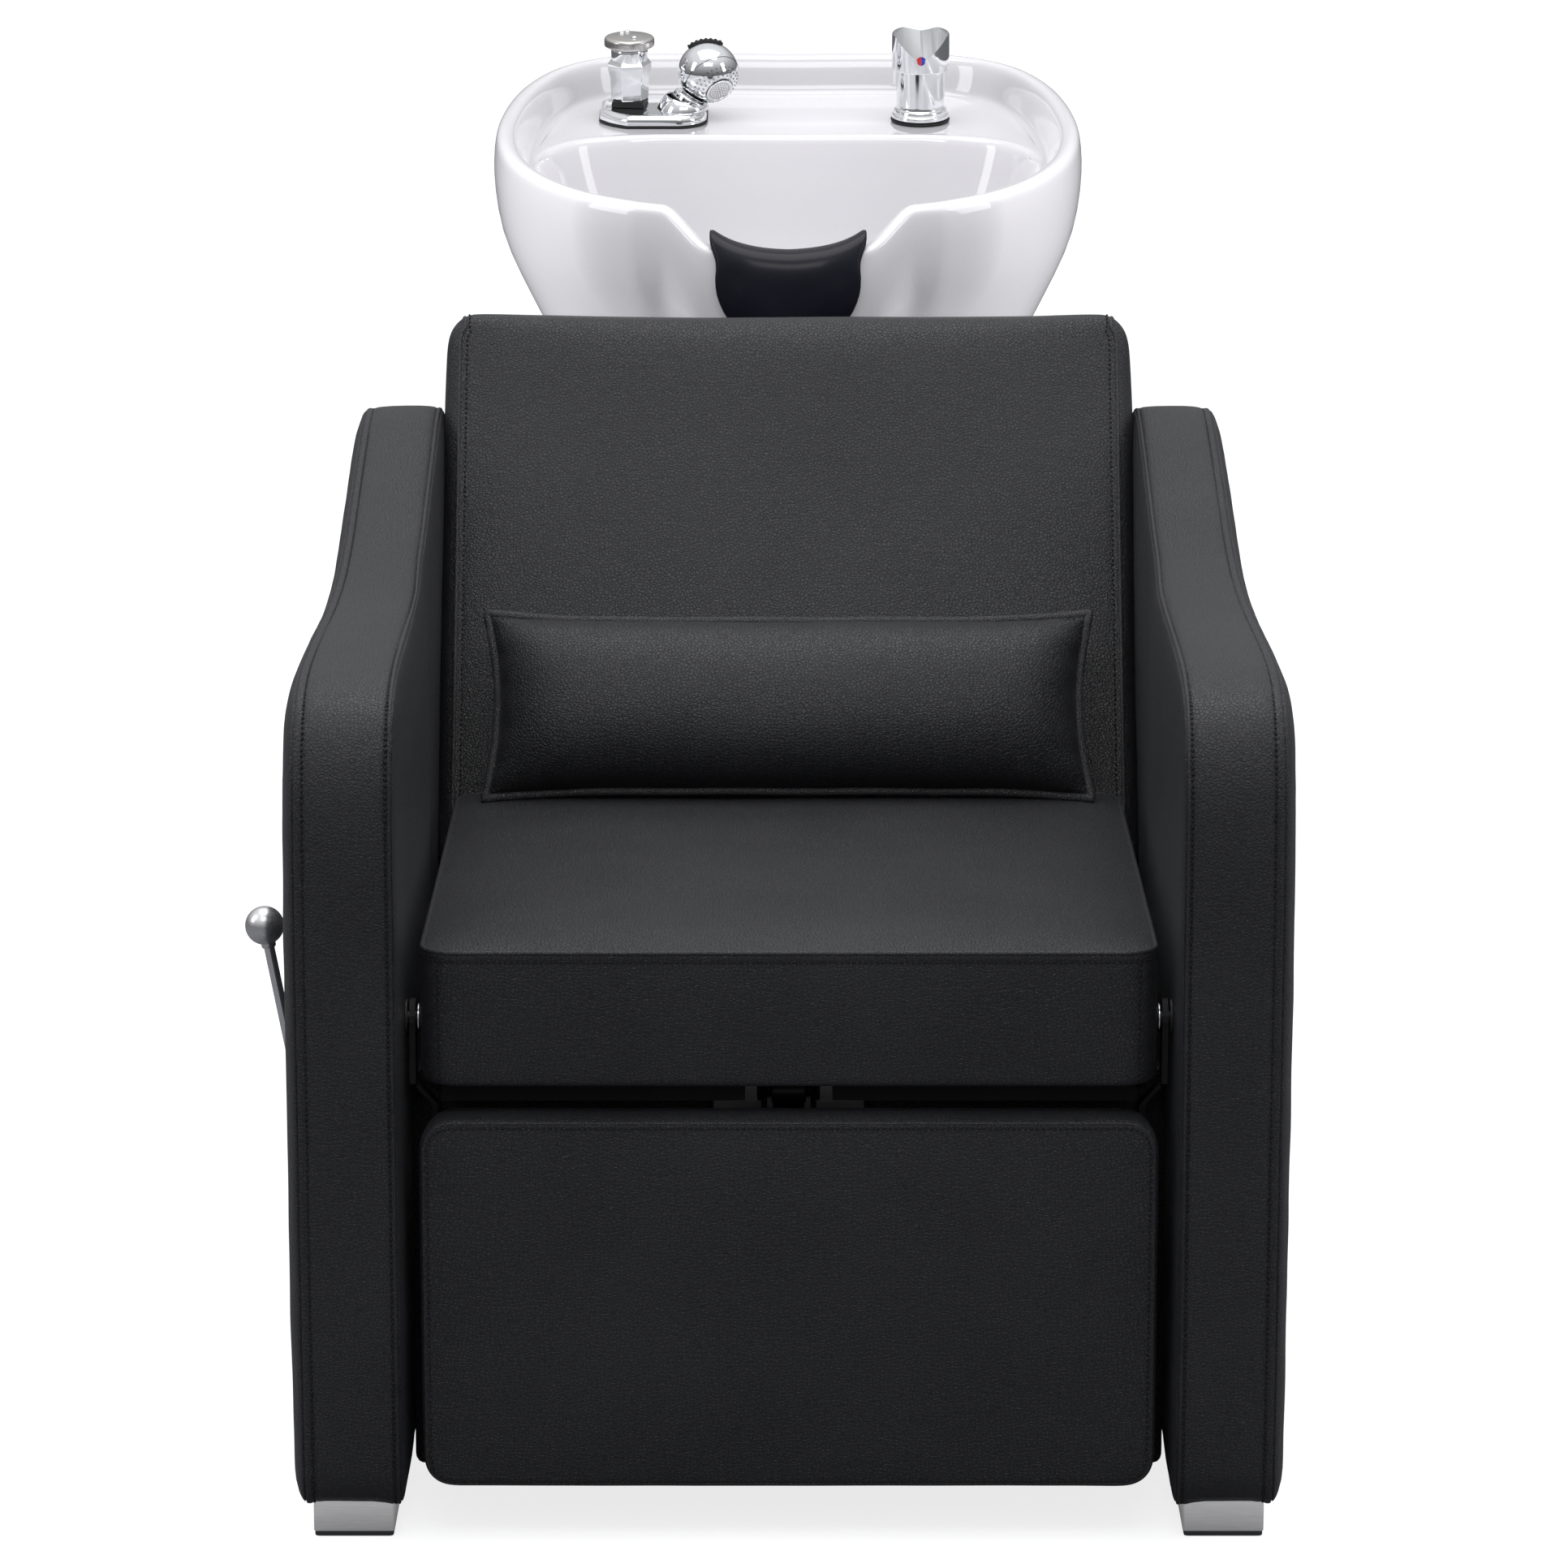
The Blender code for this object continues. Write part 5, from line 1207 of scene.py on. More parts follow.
def build_apron():
    mirrored = [(-x, z) for x, z in APRON_HALF]
    corners = [Vector(pair) for pair in mirrored[:1] + APRON_HALF + mirrored[:0:-1]]
    points = []
    for i, point in enumerate(corners):
        ahead = corners[(i + 1) % len(corners)]
        start = point + (corners[i - 1] - point).normalized() * 0.007
        end = point + (ahead - point).normalized() * 0.007
        for k in range(6):
            t = k / 5
            points.append(start * (1 - t) ** 2 + point * 2 * t * (1 - t) + end * t * t)
    points = resample(points, 0.003, closed=True)
    normals = loop_normals(points, passes=0)

    def ring(inset, depth):
        return [at(spot.x, depth, spot.y)
                for spot in (point + inward * inset for point, inward in zip(points, normals))]

    make("apron_cover", *loft([ring(*pair) for pair in APRON_SECTION]), LEATHER, "frame", 60,
         "front_apron", triangles=True)
    path = ring(0.0034, 0.0803)
    stitches("apron_stitches", path, [Vector((0, -1, 0))] * len(path), "frame", closed=True)


build_apron()

# ------------------------------------------------------------------ lumbar pillow
PILLOW_AT = at(0, 0.5345, 0.4790)
PILLOW_W, PILLOW_H, PILLOW_T = 0.456, 0.146, 0.084


def pillow_gathers(place, _):
    """Short pulls into the edge seam, stronger at the ends."""
    offset = place - PILLOW_AT
    up = offset.dot(back_up)
    end = math.exp(-((1 - abs(offset.x / (PILLOW_W / 2))) / 0.10) ** 2)
    long_edge = math.exp(-((1 - abs(up / (PILLOW_H / 2))) / 0.16) ** 2)
    end_phase = up * 2 * math.pi / 0.024 + 2.5 * noise.noise(place * 16)
    long_phase = offset.x * 2 * math.pi / 0.030 + 3 * noise.noise(place * 14)
    return (-0.0016 * end * (0.5 + 0.5 * math.sin(end_phase))
            - 0.0010 * long_edge * (0.5 + 0.5 * math.sin(long_phase)))


def pillow_mesh(columns, rows):
    """Two domed faces that share their border; returns the front's indices too."""
    front, rear, verts, faces = {}, {}, [], []
    for j in range(rows + 1):
        for i in range(columns + 1):
            u, v = -1 + 2 * i / columns, -1 + 2 * j / rows
            u = math.copysign(1 - (1 - abs(u)) ** 1.25, u)
            v = math.copysign(1 - (1 - abs(v)) ** 1.25, v)
            x = u * (PILLOW_W / 2 - 0.0100 * (1 - v * v) * abs(u) ** 3)
            up = v * (PILLOW_H / 2 - 0.0070 * (1 - u ** 6) * abs(v) ** 2)
            dome = (PILLOW_T / 2 * (max(0, 1 - abs(u) ** 7) ** 0.60)
                    * (max(0, 1 - abs(v) ** 2.3) ** 0.60))
            place = PILLOW_AT + Vector((x, 0, 0)) + back_up * up
            edge = i in (0, columns) or j in (0, rows)
            front[i, j] = rear[i, j] = len(verts)
            verts.append(place + back_out * (0.0 if edge else dome))
            if not edge:
                rear[i, j] = len(verts)
                verts.append(place - back_out * dome)
    for j in range(rows):
        for i in range(columns):
            a, b, c, e = (i, j), (i + 1, j), (i + 1, j + 1), (i, j + 1)
            faces.append((front[a], front[b], front[c], front[e]))
            faces.append((rear[a], rear[e], rear[c], rear[b]))
    return verts, faces, front


def build_pillow(columns=60, rows=24):
    verts, faces, front = pillow_mesh(columns, rows)
    pillow = make("pillow_cover", verts, faces, LEATHER, LATER, 180, "lumbar_pillow")
    ring = [front[pair] for pair in border(columns, rows)]
    held = set(ring)
    inflate(pillow, held, cap=0.006, gain=0.6)
    mask = [0.0 if i in held else 1.0 for i in range(len(pillow.data.vertices))]
    ripple(pillow, 0.0016, 0.0004, low_scale=8.0, mid_scale=30.0, seed=9.4, mask=mask,
           extra=pillow_gathers)
    places = coords(pillow)
    subdivide(pillow)
    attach(pillow, "pillow")

    # a flat sewn flange stands out of the edge
    points = []
    for i, index in enumerate(ring):
        place = Vector(places[index])
        offset = place - PILLOW_AT
        up = offset.dot(back_up)
        side = math.copysign(1, offset.x) if abs(offset.x) > PILLOW_W / 2 * 0.93 else 0
        rise = math.copysign(1, up) if abs(up) > PILLOW_H / 2 * 0.80 else 0
        away = Vector((side, 0, 0)) + back_up * rise
        points.append(place + (away.normalized() if away.length else Vector()) * 0.0012
                      + back_out * 0.0006 * math.sin(i * 0.55))
    points = resample(catmull(points, 3, closed=True), 0.0035, closed=True)
    tube("pillow_piping", points, 0.0035, PIPING, "pillow", sides=12, closed=True, flat=0.55,
         up=back_out)
    path = []
    for offset in (point - PILLOW_AT for point in points):
        path.append(PILLOW_AT + (Vector((offset.x * (1 - 0.0046 / (PILLOW_W / 2)), 0, 0))
                                 + back_up * (offset.dot(back_up) * (1 - 0.0050 / (PILLOW_H / 2)))
                                 + back_out * 0.0058))
    stitches("pillow_stitches", path, [back_out] * len(path), "pillow", closed=True,
             radius=0.0004)


build_pillow()

# ------------------------------------------------------------------ basin
# (x, depth) of the rim on the left half, from the rear to the front
HALF_PLAN = [(0.0, 1.408), (0.080, 1.410), (0.140, 1.405), (0.186, 1.374), (0.213, 1.322),
             (0.229, 1.250), (0.235, 1.160), (0.226, 1.075), (0.203, 1.008), (0.168, 0.957),
             (0.125, 0.926), (0.098, 0.914), (0.063, 0.897), (0.032, 0.884), (0.0, 0.880)]
BASIN_REAR = HALF_PLAN[0][1]
WELL_Z, UNDER_Z = 0.645, 0.629      # floor of the well, and the under side of that floor

half_plan = catmull(HALF_PLAN, 7)
PLAN = half_plan + [Vector((-point.x, point.y)) for point in half_plan[-2:0:-1]]
PLAN_OUT = loop_normals(PLAN, passes=4)


def notch(x):
    """Depth of the neck dip in the front lip."""
    off = abs(x)
    if off >= 0.100:
        return 0.0
    if off >= 0.060:
        return 0.028 * smoothstep((0.100 - off) / 0.040) ** 0.9
    return 0.028 + 0.016 * (1 - (off / 0.060) ** 2)


def front_share(point):
    return smoothstep((1.02 - point.y) / 0.10)


def dip(point):
    return notch(point.x) * front_share(point)


def crest(point):
    return rim_z(point.y) - dip(point)


def rim_ring(outset, drop):
    return [at(point.x + out.x * outset, point.y + out.y * outset, crest(point) - drop)
            for point, out in zip(PLAN, PLAN_OUT)]


def plan_ring(scale, z, slope):
    return [at(point.x * scale, BASIN_MID + (point.y - BASIN_MID) * scale,
               z + slope * (point.y - BASIN_MID) * scale) for point in PLAN]


def deck_ring(inset, drop, extra=0.0):
    ring = []
    for point, out in zip(PLAN, PLAN_OUT):
        depth = point.y - out.y * inset
        ring.append(at(point.x - out.x * inset, depth, rim_z(depth) - dip(point)
                       - drop * (1 - 0.1 * front_share(point)) - extra))
    return ring


def well_ring(share, lift, floor=WELL_Z, grow=0.0):
    """Ring between drain (share 0) and well edge (1); lift goes from the floor to the deck."""
    ring = []
    for point in PLAN:
        if point.y > BASIN_MID:
            rear = 1.253 + grow * 0.6
            stretch = (rear - BASIN_MID) / (BASIN_REAR - BASIN_MID)
        else:
            stretch = 0.955
        edge_x = point.x * 0.905 * (1 + grow)
        edge_depth = BASIN_MID + (point.y - BASIN_MID) * stretch * (1 + grow)
        x = DRAIN[0] + (edge_x - DRAIN[0]) * share
        depth = DRAIN[1] + (edge_depth - DRAIN[1]) * share
        edge_z = rim_z(depth) - DECK_DROP - dip(point) * 0.9
        ring.append(at(x, depth, edge_z + (floor - edge_z) * (1 - lift)))
    return ring


def drain_ring(radius, z):
    turns = [math.atan2(point.y - BASIN_MID, point.x) for point in PLAN]
    return [at(DRAIN[0] + radius * math.cos(turn), DRAIN[1] + radius * math.sin(turn), z)
            for turn in turns]


def fine_rings(rings, steps):
    """Smooth surface through a closed list of rings; centripetal weights avoid overshoot."""
    table = np.array([[tuple(point) for point in ring] for ring in rings])
    count = len(rings)

    def root_gap(start, end):
        return np.maximum(np.linalg.norm(end - start, axis=1), 1e-5)[:, None] ** 0.5

    result = []
    for i in range(count):
        p0, p1, p2, p3 = (table[(i + k) % count] for k in (-1, 0, 1, 2))
        gap1, gap2, gap3 = root_gap(p0, p1), root_gap(p1, p2), root_gap(p2, p3)
        slope1 = p2 - p1 + gap2 * ((p1 - p0) / gap1 - (p2 - p0) / (gap1 + gap2))
        slope2 = p2 - p1 + gap2 * ((p3 - p2) / gap3 - (p3 - p1) / (gap2 + gap3))
        for step in range(steps):
            t = step / steps
            ring = ((2 * t ** 3 - 3 * t ** 2 + 1) * p1 + (t ** 3 - 2 * t ** 2 + t) * slope1
                    + (-2 * t ** 3 + 3 * t ** 2) * p2 + (t ** 3 - t ** 2) * slope2)
            result.append([Vector(point) for point in ring])
    return result


BASIN_RINGS = [
    # outer wall, upwards
    plan_ring(0.70, 0.640, 0.06), plan_ring(0.825, 0.668, 0.08), plan_ring(0.940, 0.718, 0.11),
    rim_ring(0.0060, 0.074), rim_ring(0.0118, 0.034), rim_ring(0.0105, 0.0105),
    rim_ring(0.0085, 0.0040),
    # over the rim
    rim_ring(0.0040, 0.0006), rim_ring(-0.0010, 0.0001), rim_ring(-0.0055, 0.0022),
    rim_ring(-0.0092, 0.010),
    # deck, well and drain seat
    deck_ring(0.0130, 0.0220), deck_ring(0.0160, 0.0290), deck_ring(0.0215, DECK_DROP),
    well_ring(1.06, 1.0), well_ring(1.0, 1.0), well_ring(0.975, 0.93), well_ring(0.945, 0.80),
    well_ring(0.84, 0.47), well_ring(0.63, 0.18), well_ring(0.34, 0.03),
    drain_ring(0.0335, 0.6452), drain_ring(0.0290, 0.6432), drain_ring(0.0235, 0.6410),
    # under side, from the drain outwards
    drain_ring(0.0235, UNDER_Z), drain_ring(0.085, UNDER_Z), well_ring(0.64, 0.15, UNDER_Z, 0.03),
    well_ring(0.865, 0.46, UNDER_Z, 0.04), well_ring(0.960, 0.80, UNDER_Z, 0.045),
    # inside of the outer wall, downwards
    deck_ring(0.0135, DECK_DROP, 0.0115), rim_ring(-0.0055, 0.074), plan_ring(0.890, 0.720, 0.11),
    plan_ring(0.775, 0.672, 0.08), plan_ring(0.655, 0.640, 0.06)]


def cutter(rings):
    piece = make("cutter", *loft(rings), CERAMIC)
    piece.hide_render = piece.hide_viewport = True
    return piece


def drill(centre, axis, below, above, radius, sides=40):
    """Round cutter through a point, reaching below and above it along the axis."""
    low, high = centre - axis * below, centre + axis * above
    across, up, _ = frame_of(high - low)
    return cutter([circle(end, across, up, radius, sides) for end in (low, high)])


def cut(piece, cutters):
    for tool in cutters:
        modifier = piece.modifiers.new("cut", "BOOLEAN")
        modifier.operation = "DIFFERENCE"
        modifier.solver = "EXACT"
        modifier.object = tool
    bake(piece)
    for tool in cutters:
        bpy.data.objects.remove(tool)


mixer_base, breaker_base, socket_base = on_deck(*MIXER), on_deck(*BREAKER), on_deck(*SOCKET)
socket = socket_base + spray_dir * 0.004

bowl = make("basin_shell", *loft(fine_rings(BASIN_RINGS, 3), close=True), CERAMIC, LATER, 180,
            "basin_bowl")
cut(bowl, [drill(mixer_base, deck_up, 0.06, 0.03, 0.0165),
           drill(breaker_base, deck_up, 0.06, 0.03, 0.0125),
           drill(socket, spray_dir, 0.075, 0.03, 0.0165)])
shade_smooth(bowl, 55)
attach(bowl, "basin")

# ------------------------------------------------------------------ gel neck rest over the lip
# (distance behind the lip, height): the outer side from rear to front foot, then back inside
NECK_OUTER = [(0.0335, -0.0180), (0.0270, -0.0108), (0.0212, -0.0045), (0.0150, 0.0016),
              (0.0090, 0.0062), (0.0030, 0.0084), (-0.0030, 0.0082), (-0.0100, 0.0058),
              (-0.0150, 0.0012), (-0.0185, -0.0060), (-0.0203, -0.0150), (-0.0216, -0.0260),
              (-0.0222, -0.0370), (-0.0220, -0.0480), (-0.0208, -0.0580), (-0.0188, -0.0640)]
NECK_INNER = [(-0.0150, -0.0625), (-0.0150, -0.0480), (-0.0150, -0.0340), (-0.0140, -0.0200),
              (-0.0120, -0.0085), (-0.0080, 0.0), (0.0, 0.0028), (0.0060, 0.0010),
              (0.0155, -0.0070), (0.0272, -0.0200)]
LIP = sorted([point for point in PLAN if point.y < 1.0], key=lambda point: point.x)


def lip_at(x):
    for start, end in zip(LIP, LIP[1:]):
        if start.x <= x <= end.x:
            return start.lerp(end, (x - start.x) / (end.x - start.x))


def neck_ring(across):
    """Section at a share of the width from -1 to 1."""
    off = abs(across)
    ring = []
    for outer, section in ((True, NECK_OUTER), (False, NECK_INNER)):
        for behind, height in section:
            # width at this height: ears at the crest, waist below, round foot
            ear = flare = crease = fill = 0.0
            if behind < 0.003:
                fall = max(0.0, -height) / 0.064
                ear = 0.0045 * math.exp(-(fall / 0.07) ** 2) * off ** 10
                if fall < 0.45:
                    half = 0.0610 - 0.0030 * math.sin(math.pi * min(1.0, fall * 2.2))
                else:
                    half = 0.0600 * math.sqrt(max(0.0, 1 - ((fall - 0.45) / 0.62) ** 2.4))
            else:
                half = 0.0610 - 0.010 * (behind / 0.0335) ** 2
            x = across * half + math.copysign(ear, across)
            if outer:
                flare = 0.0045 * off ** 8 * math.exp(-((behind + 0.002) / 0.012) ** 2)
                fill = 0.0075 * (1 - off * off) * smoothstep((height + 0.050) / 0.040)
                if behind < -0.005:
                    line = -0.0060 - 0.0180 * (1 - off ** 2)
                    crease = 0.0011 * math.exp(-((height - line) / 0.0032) ** 2)
            thin = 0.0008 * off ** 6 * (1 if behind < 0 else -1)
            lip = lip_at(x)
            ring.append(at(x, lip.y + behind + crease + thin,
                           crest(lip) + height + 0.0016 + flare + fill))
    return ring


neck_rest = make("neck_rest_gel", *loft([neck_ring(-1 + 2 * i / 44) for i in range(45)]), GEL,
                 LATER, 70, "neck_rest")
ripple(neck_rest, 0.0004, 0.0001, low_scale=18.0, mid_scale=60.0, seed=2.2)
subdivide(neck_rest)
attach(neck_rest, "neck_rest")

# ------------------------------------------------------------------ drain, strainer, waste hose
turned("drain_flange", at(*DRAIN, 0.560), UP, rounded_ring(
    [(0.016, 0), (0.019, 0), (0.019, 0.012), (0.0196, 0.014), (0.0196, 0.020), (0.019, 0.022),
     (0.019, 0.062), (0.022, 0.064), (0.022, 0.0852), (0.033, 0.0882), (0.0334, 0.0892),
     (0.0325, 0.0898), (0.0215, 0.0868), (0.020, 0.0855), (0.020, 0.066), (0.016, 0.064)],
    0.0006), CHROME, "basin", 64, replaces="drain_body")
basket = turned("strainer_basket", at(*DRAIN, 0.6290), UP, rounded(
    [(0.015, 0), (0.0165, 0.001), (0.0185, 0.0182), (0.025, 0.0206), (0.0254, 0.0214),
     (0.0246, 0.022), (0.0172, 0.020), (0.0145, 0.0028)],
    0.0005), CHROME, LATER, 48, replaces="hair_strainer")
holes = []
for ring_radius, count in ((0.0042, 5), (0.0095, 11)):
    for k in range(count):
        turn = 2 * math.pi * k / count
        low = at(ring_radius * math.cos(turn), DRAIN[1] + ring_radius * math.sin(turn), 0.62)
        holes.append(drill(low, UP, 0, 0.04, 0.0014, sides=10))
cut(basket, holes)
shade_smooth(basket, 35)
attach(basket, "strainer")


def waste_radius(length):
    """Corrugated between two plain ends."""
    if 0.02 < length < 0.50:
        return 0.0212 + 0.0014 * math.sin(2 * math.pi * length / 0.0085)
    return 0.0222


# (distance behind the drain, z)
WASTE_PATH = [(0, 0.532), (0, 0.46), (0.02, 0.38), (0.065, 0.26), (0.085, 0.14), (0.085, 0.012)]
path = catmull([at(0, DRAIN[1] + behind, z) for behind, z in WASTE_PATH], 40)
waste = tube("waste_hose_corrugated", resample(path, 0.0016), waste_radius, WASTE_HOSE, LATER,
             sides=32, inner=0.0192, replaces="waste_hose")
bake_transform(waste)
turned("waste_hose_cuff", at(*DRAIN, 0.5325), UP, rounded_ring(
    [(0.0188, 0), (0.0232, 0), (0.0232, 0.024), (0.0222, 0.027), (0.0194, 0.027)],
    0.0008), RUBBER, "basin", 48)
turned("waste_hose_clamp", at(*DRAIN, 0.5385), UP,
       [(0.0233, 0), (0.0239, 0.0002), (0.0239, 0.0088), (0.0233, 0.009), (0.0233, 0)],
       BOLT, "basin", 48)

# ------------------------------------------------------------------ mixer
CAP_R = 0.0247
cap_base = mixer_base + deck_up * 0.0455

turned("mixer_gasket_ring", mixer_base + deck_up * GASKET_GAP, deck_up, rounded_ring(
    [(0.017, 0), (0.017, 0.0018), (0.0253, 0.0018), (0.0256, 0.0009), (0.0253, 0)],
    0.0004, 2), RUBBER, "basin", 64, replaces="mixer_gasket")
turned("mixer_shank", mixer_base + deck_up * 0.0024, deck_up, rounded_ring(
    [(0.011, -0.042), (0.015, -0.042), (0.015, -0.001), (0.024, 0), (0.025, 0.0012),
     (0.025, 0.0036), (0.024, 0.0048), (0.0232, 0.0052), (0.0234, 0.0066), (0.0226, 0.0084),
     (0.0214, 0.0096), (0.0209, 0.012), (0.0208, 0.0427), (0.0198, 0.044), (0.011, 0.044)],
    0.0005), CHROME, "basin", 72, replaces="mixer_body")
turned("mixer_nut", mixer_base - deck_up * 0.0300, deck_up,
       [(0.0152, 0), (0.0225, 0), (0.0225, 0.009), (0.0152, 0.009), (0.0152, 0)],
       BOLT, "basin", 6, math.radians(15), edge=0.0006, slot="chrome")
turned("mixer_spindle_disc", mixer_base + deck_up * 0.0469, deck_up, rounded(
    [(0.014, 0), (0.014, 0.0016), (0.0058, 0.002), (0.0055, 0.010)],
    0.0004, 2), CHROME, "mixer_spindle", 40, replaces="mixer_stem")
cap = turned("mixer_cap_shell", cap_base, deck_up, rounded(
    [(0.0222, -0.0002), (0.024, 0), (0.0246, 0.0008), (CAP_R, 0.015), (0.0246, 0.0305),
     (0.0238, 0.0318)], 0.0004), CHROME, LATER, 96, replaces="mixer_cap")
hollow = cutter([circle(mixer_base + deck_up * height, Vector((1, 0, 0)), Vector((0, 1, 0)),
                        radius, 48)
                 for radius, height in ((0.0222, 0.0405), (0.0222, 0.0505), (0.0130, 0.0570))])


def scoop_ring(along, power, rise):
    """Section of the concave scoop that slopes down to the front of the cap."""
    base = (cap_base + deck_up * 0.0204
            + Vector((0, along, (0.345 + RIM_SLOPE) * along)))
    shares = [-1 + 2 * k / 40 for k in range(41)]
    section = [(t * 0.034, rise * abs(t) ** power - 0.0010 * (1 - t * t)) for t in shares]
    return [base + Vector((x, 0, 0)) + deck_up * height
            for x, height in section + [(0.034, 0.07), (-0.034, 0.07)]]


scoop = cutter([scoop_ring(-0.045, power=1.25, rise=0.0300),
                scoop_ring(0.052, power=2.2, rise=0.0230)])
cut(cap, [hollow, scoop])
bevel(cap, 0.0005, 2, 30)
bake(cap)
work = bmesh.new()
work.from_mesh(cap.data)
split_ngons(work)
work.to_mesh(cap.data)
work.free()
shade_smooth(cap, 35)
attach(cap, "mixer_handle")


def dot_ring(radius, sink):
    """Ring of the dot, which follows the cap's round wall."""
    ring = []
    for k in range(32):
        turn = 2 * math.pi * k / 32
        x, z = radius * math.cos(turn), radius * math.sin(turn)
        out = (math.sqrt(max(0, CAP_R ** 2 - x * x)) + 0.00035 * (1 - (radius / 0.0043) ** 4)
               - sink)
        ring.append(cap_base + Vector((x, -out, 0)) + deck_up * (0.0085 + z))
    return ring


rings = ([dot_ring(0.0042 * k / 4, 0.0) for k in range(5)]
         + [dot_ring(0.0042 * k / 4, 0.0007) for k in range(4, -1, -1)])
make("mixer_dot", *loft(rings, caps=False), DOT, "mixer_handle", 60, "mixer_indicator",
     merge=0.00001)

# ------------------------------------------------------------------ tap plate
# shares along a chamfer; those outside 0..1 run on down the straight sides
CHAMFER_SHARES = (-0.10, -0.04, 0.0, 0.04, 0.10, 0.3, 0.5, 0.7, 0.90, 0.96, 1.0, 1.04, 1.10)


def chamfer(tip, start, end):
    points = []
    for t in CHAMFER_SHARES:
        if t < 0:
            points.append(start + (start - tip).normalized() * (-t) * 0.02)
        elif t > 1:
            points.append(end + (end - tip).normalized() * (t - 1) * 0.02)
        else:
            middle = start.lerp(end, t)
            points.append(middle + (tip - middle) * 0.16 * (1 - (2 * t - 1) ** 2))
    return points


def plate_ring(grow, height):
    """The +X end has round corners of 26 mm, the -X end long chamfers of 24 mm."""
    right, left = -0.0700 + grow, -0.1620 - grow
    near, far = 1.2780 - grow, 1.3620 + grow
    points = [Vector(pair) for pair in corner(right - 0.026, far - 0.026, 0.026, 0, 10)]
    points += chamfer(Vector((left, far)), Vector((left + 0.024, far)),
                      Vector((left, far - 0.024)))
    points += chamfer(Vector((left, near)), Vector((left, near + 0.024)),
                      Vector((left + 0.024, near)))
    points += [Vector(pair) for pair in corner(right - 0.026, near + 0.026, 0.026, 270, 10)]
    return [on_deck(*point) + deck_up * height for point in points]


# (growth of the outline, height)
SEAL_RINGS = [(0.0006, GASKET_GAP), (0.0009, 0.0009), (0.0006, 0.0016)]
PLATE_RINGS = [(-0.0004, 0.0019), (0.0, 0.0023), (0.0, 0.0060), (-0.0006, PLATE_H - 0.0030),
               (-0.0016, PLATE_H - 0.0012), (-0.0034, PLATE_H - 0.0002), (-0.0052, PLATE_H),
               (-0.0068, PLATE_H - 0.0005), (-0.0090, PLATE_H - 0.0005)]
seal = make("tap_plate_seal", *loft([plate_ring(*pair) for pair in SEAL_RINGS]), RUBBER, LATER,
            40, "tap_plate_gasket")
plate = make("tap_plate_body", *loft([plate_ring(*pair) for pair in PLATE_RINGS]), CHROME, LATER,
             40, "tap_plate")
for piece in (plate, seal):
    cut(piece, [drill(breaker_base, deck_up, 0.01, 0.02, 0.0118),
                drill(socket, spray_dir, 0.06, 0.03, 0.0163)])
    shade_smooth(piece, 40)
    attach(piece, "basin")

# ------------------------------------------------------------------ vacuum breaker
turned("breaker_collar_ring", breaker_base + deck_up * (PLATE_H - 0.0002), deck_up, rounded_ring(
    [(0.0118, 0), (0.0198, 0), (0.020, 0.0012), (0.019, 0.0052), (0.0118, 0.0052)],
    0.0006), RUBBER, "basin", 4, math.radians(38), edge=0.0016, replaces="breaker_collar")
turned("breaker_nut", breaker_base + deck_up * (PLATE_H + 0.0052), deck_up,
       [(0.0118, 0), (0.0158, 0), (0.0162, 0.0004), (0.0168, 0.018), (0.019, 0.027),
        (0.019, 0.031), (0.016, 0.0352), (0.0118, 0.0352), (0.0118, 0)],
       CHROME, "basin", 6, math.radians(8), smooth=20, edge=0.0007, replaces="breaker_body")
turned("breaker_neck", breaker_base - deck_up * 0.0300, deck_up, rounded_ring(
    [(0.0075, 0), (0.0112, 0), (0.0112, 0.079), (0.0156, 0.0796), (0.0158, 0.088),
     (0.015, 0.0905), (0.0118, 0.0905), (0.0075, 0.070)], 0.0005), CHROME, "basin", 48)
turned("breaker_cap", breaker_base + deck_up * 0.0583, deck_up, rounded(
    [(0.008, 0.001), (0.015, 0.0014), (0.0196, 0.003), (0.0214, 0.004), (0.0216, 0.0052),
     (0.0216, 0.0098), (0.0206, 0.0114), (0.0188, 0.012), (0.010, 0.0127), (0.0004, 0.013)],
    0.0009, 4), BRUSHED, "basin", 72, replaces="breaker_bonnet")
RIVET = [(0.0026, -0.0006), (0.0026, 0.0004), (0.0022, 0.0011), (0.0015, 0.0016),
         (0.0007, 0.0019), (0.0001, 0.00195)]
rivets = []
for x, y in ((-0.0065, 0.0065), (-0.0020, 0.0125), (0.0045, -0.0085)):
    base = breaker_base + deck_up * 0.0709 + Vector((x, y, y * RIM_SLOPE))
    rivets.append(turned("rivet", base, deck_up, RIVET, CHROME, sides=24))
joined("breaker_cap_rivets", rivets, "basin")

# ------------------------------------------------------------------ spray socket
turned("spray_socket_cup", socket, spray_dir, rounded_ring(
    [(0.0088, -0.034), (0.0108, -0.034), (0.0108, 0), (0.0128, 0.0055), (0.0156, 0.0095),
     (0.0168, 0.012), (0.0168, 0.016), (0.016, 0.0176), (0.0146, 0.018), (0.0134, 0.0168),
     (0.0122, 0.0125), (0.0088, 0.004)], 0.0006), CHROME, "basin", 64, replaces="spray_socket")
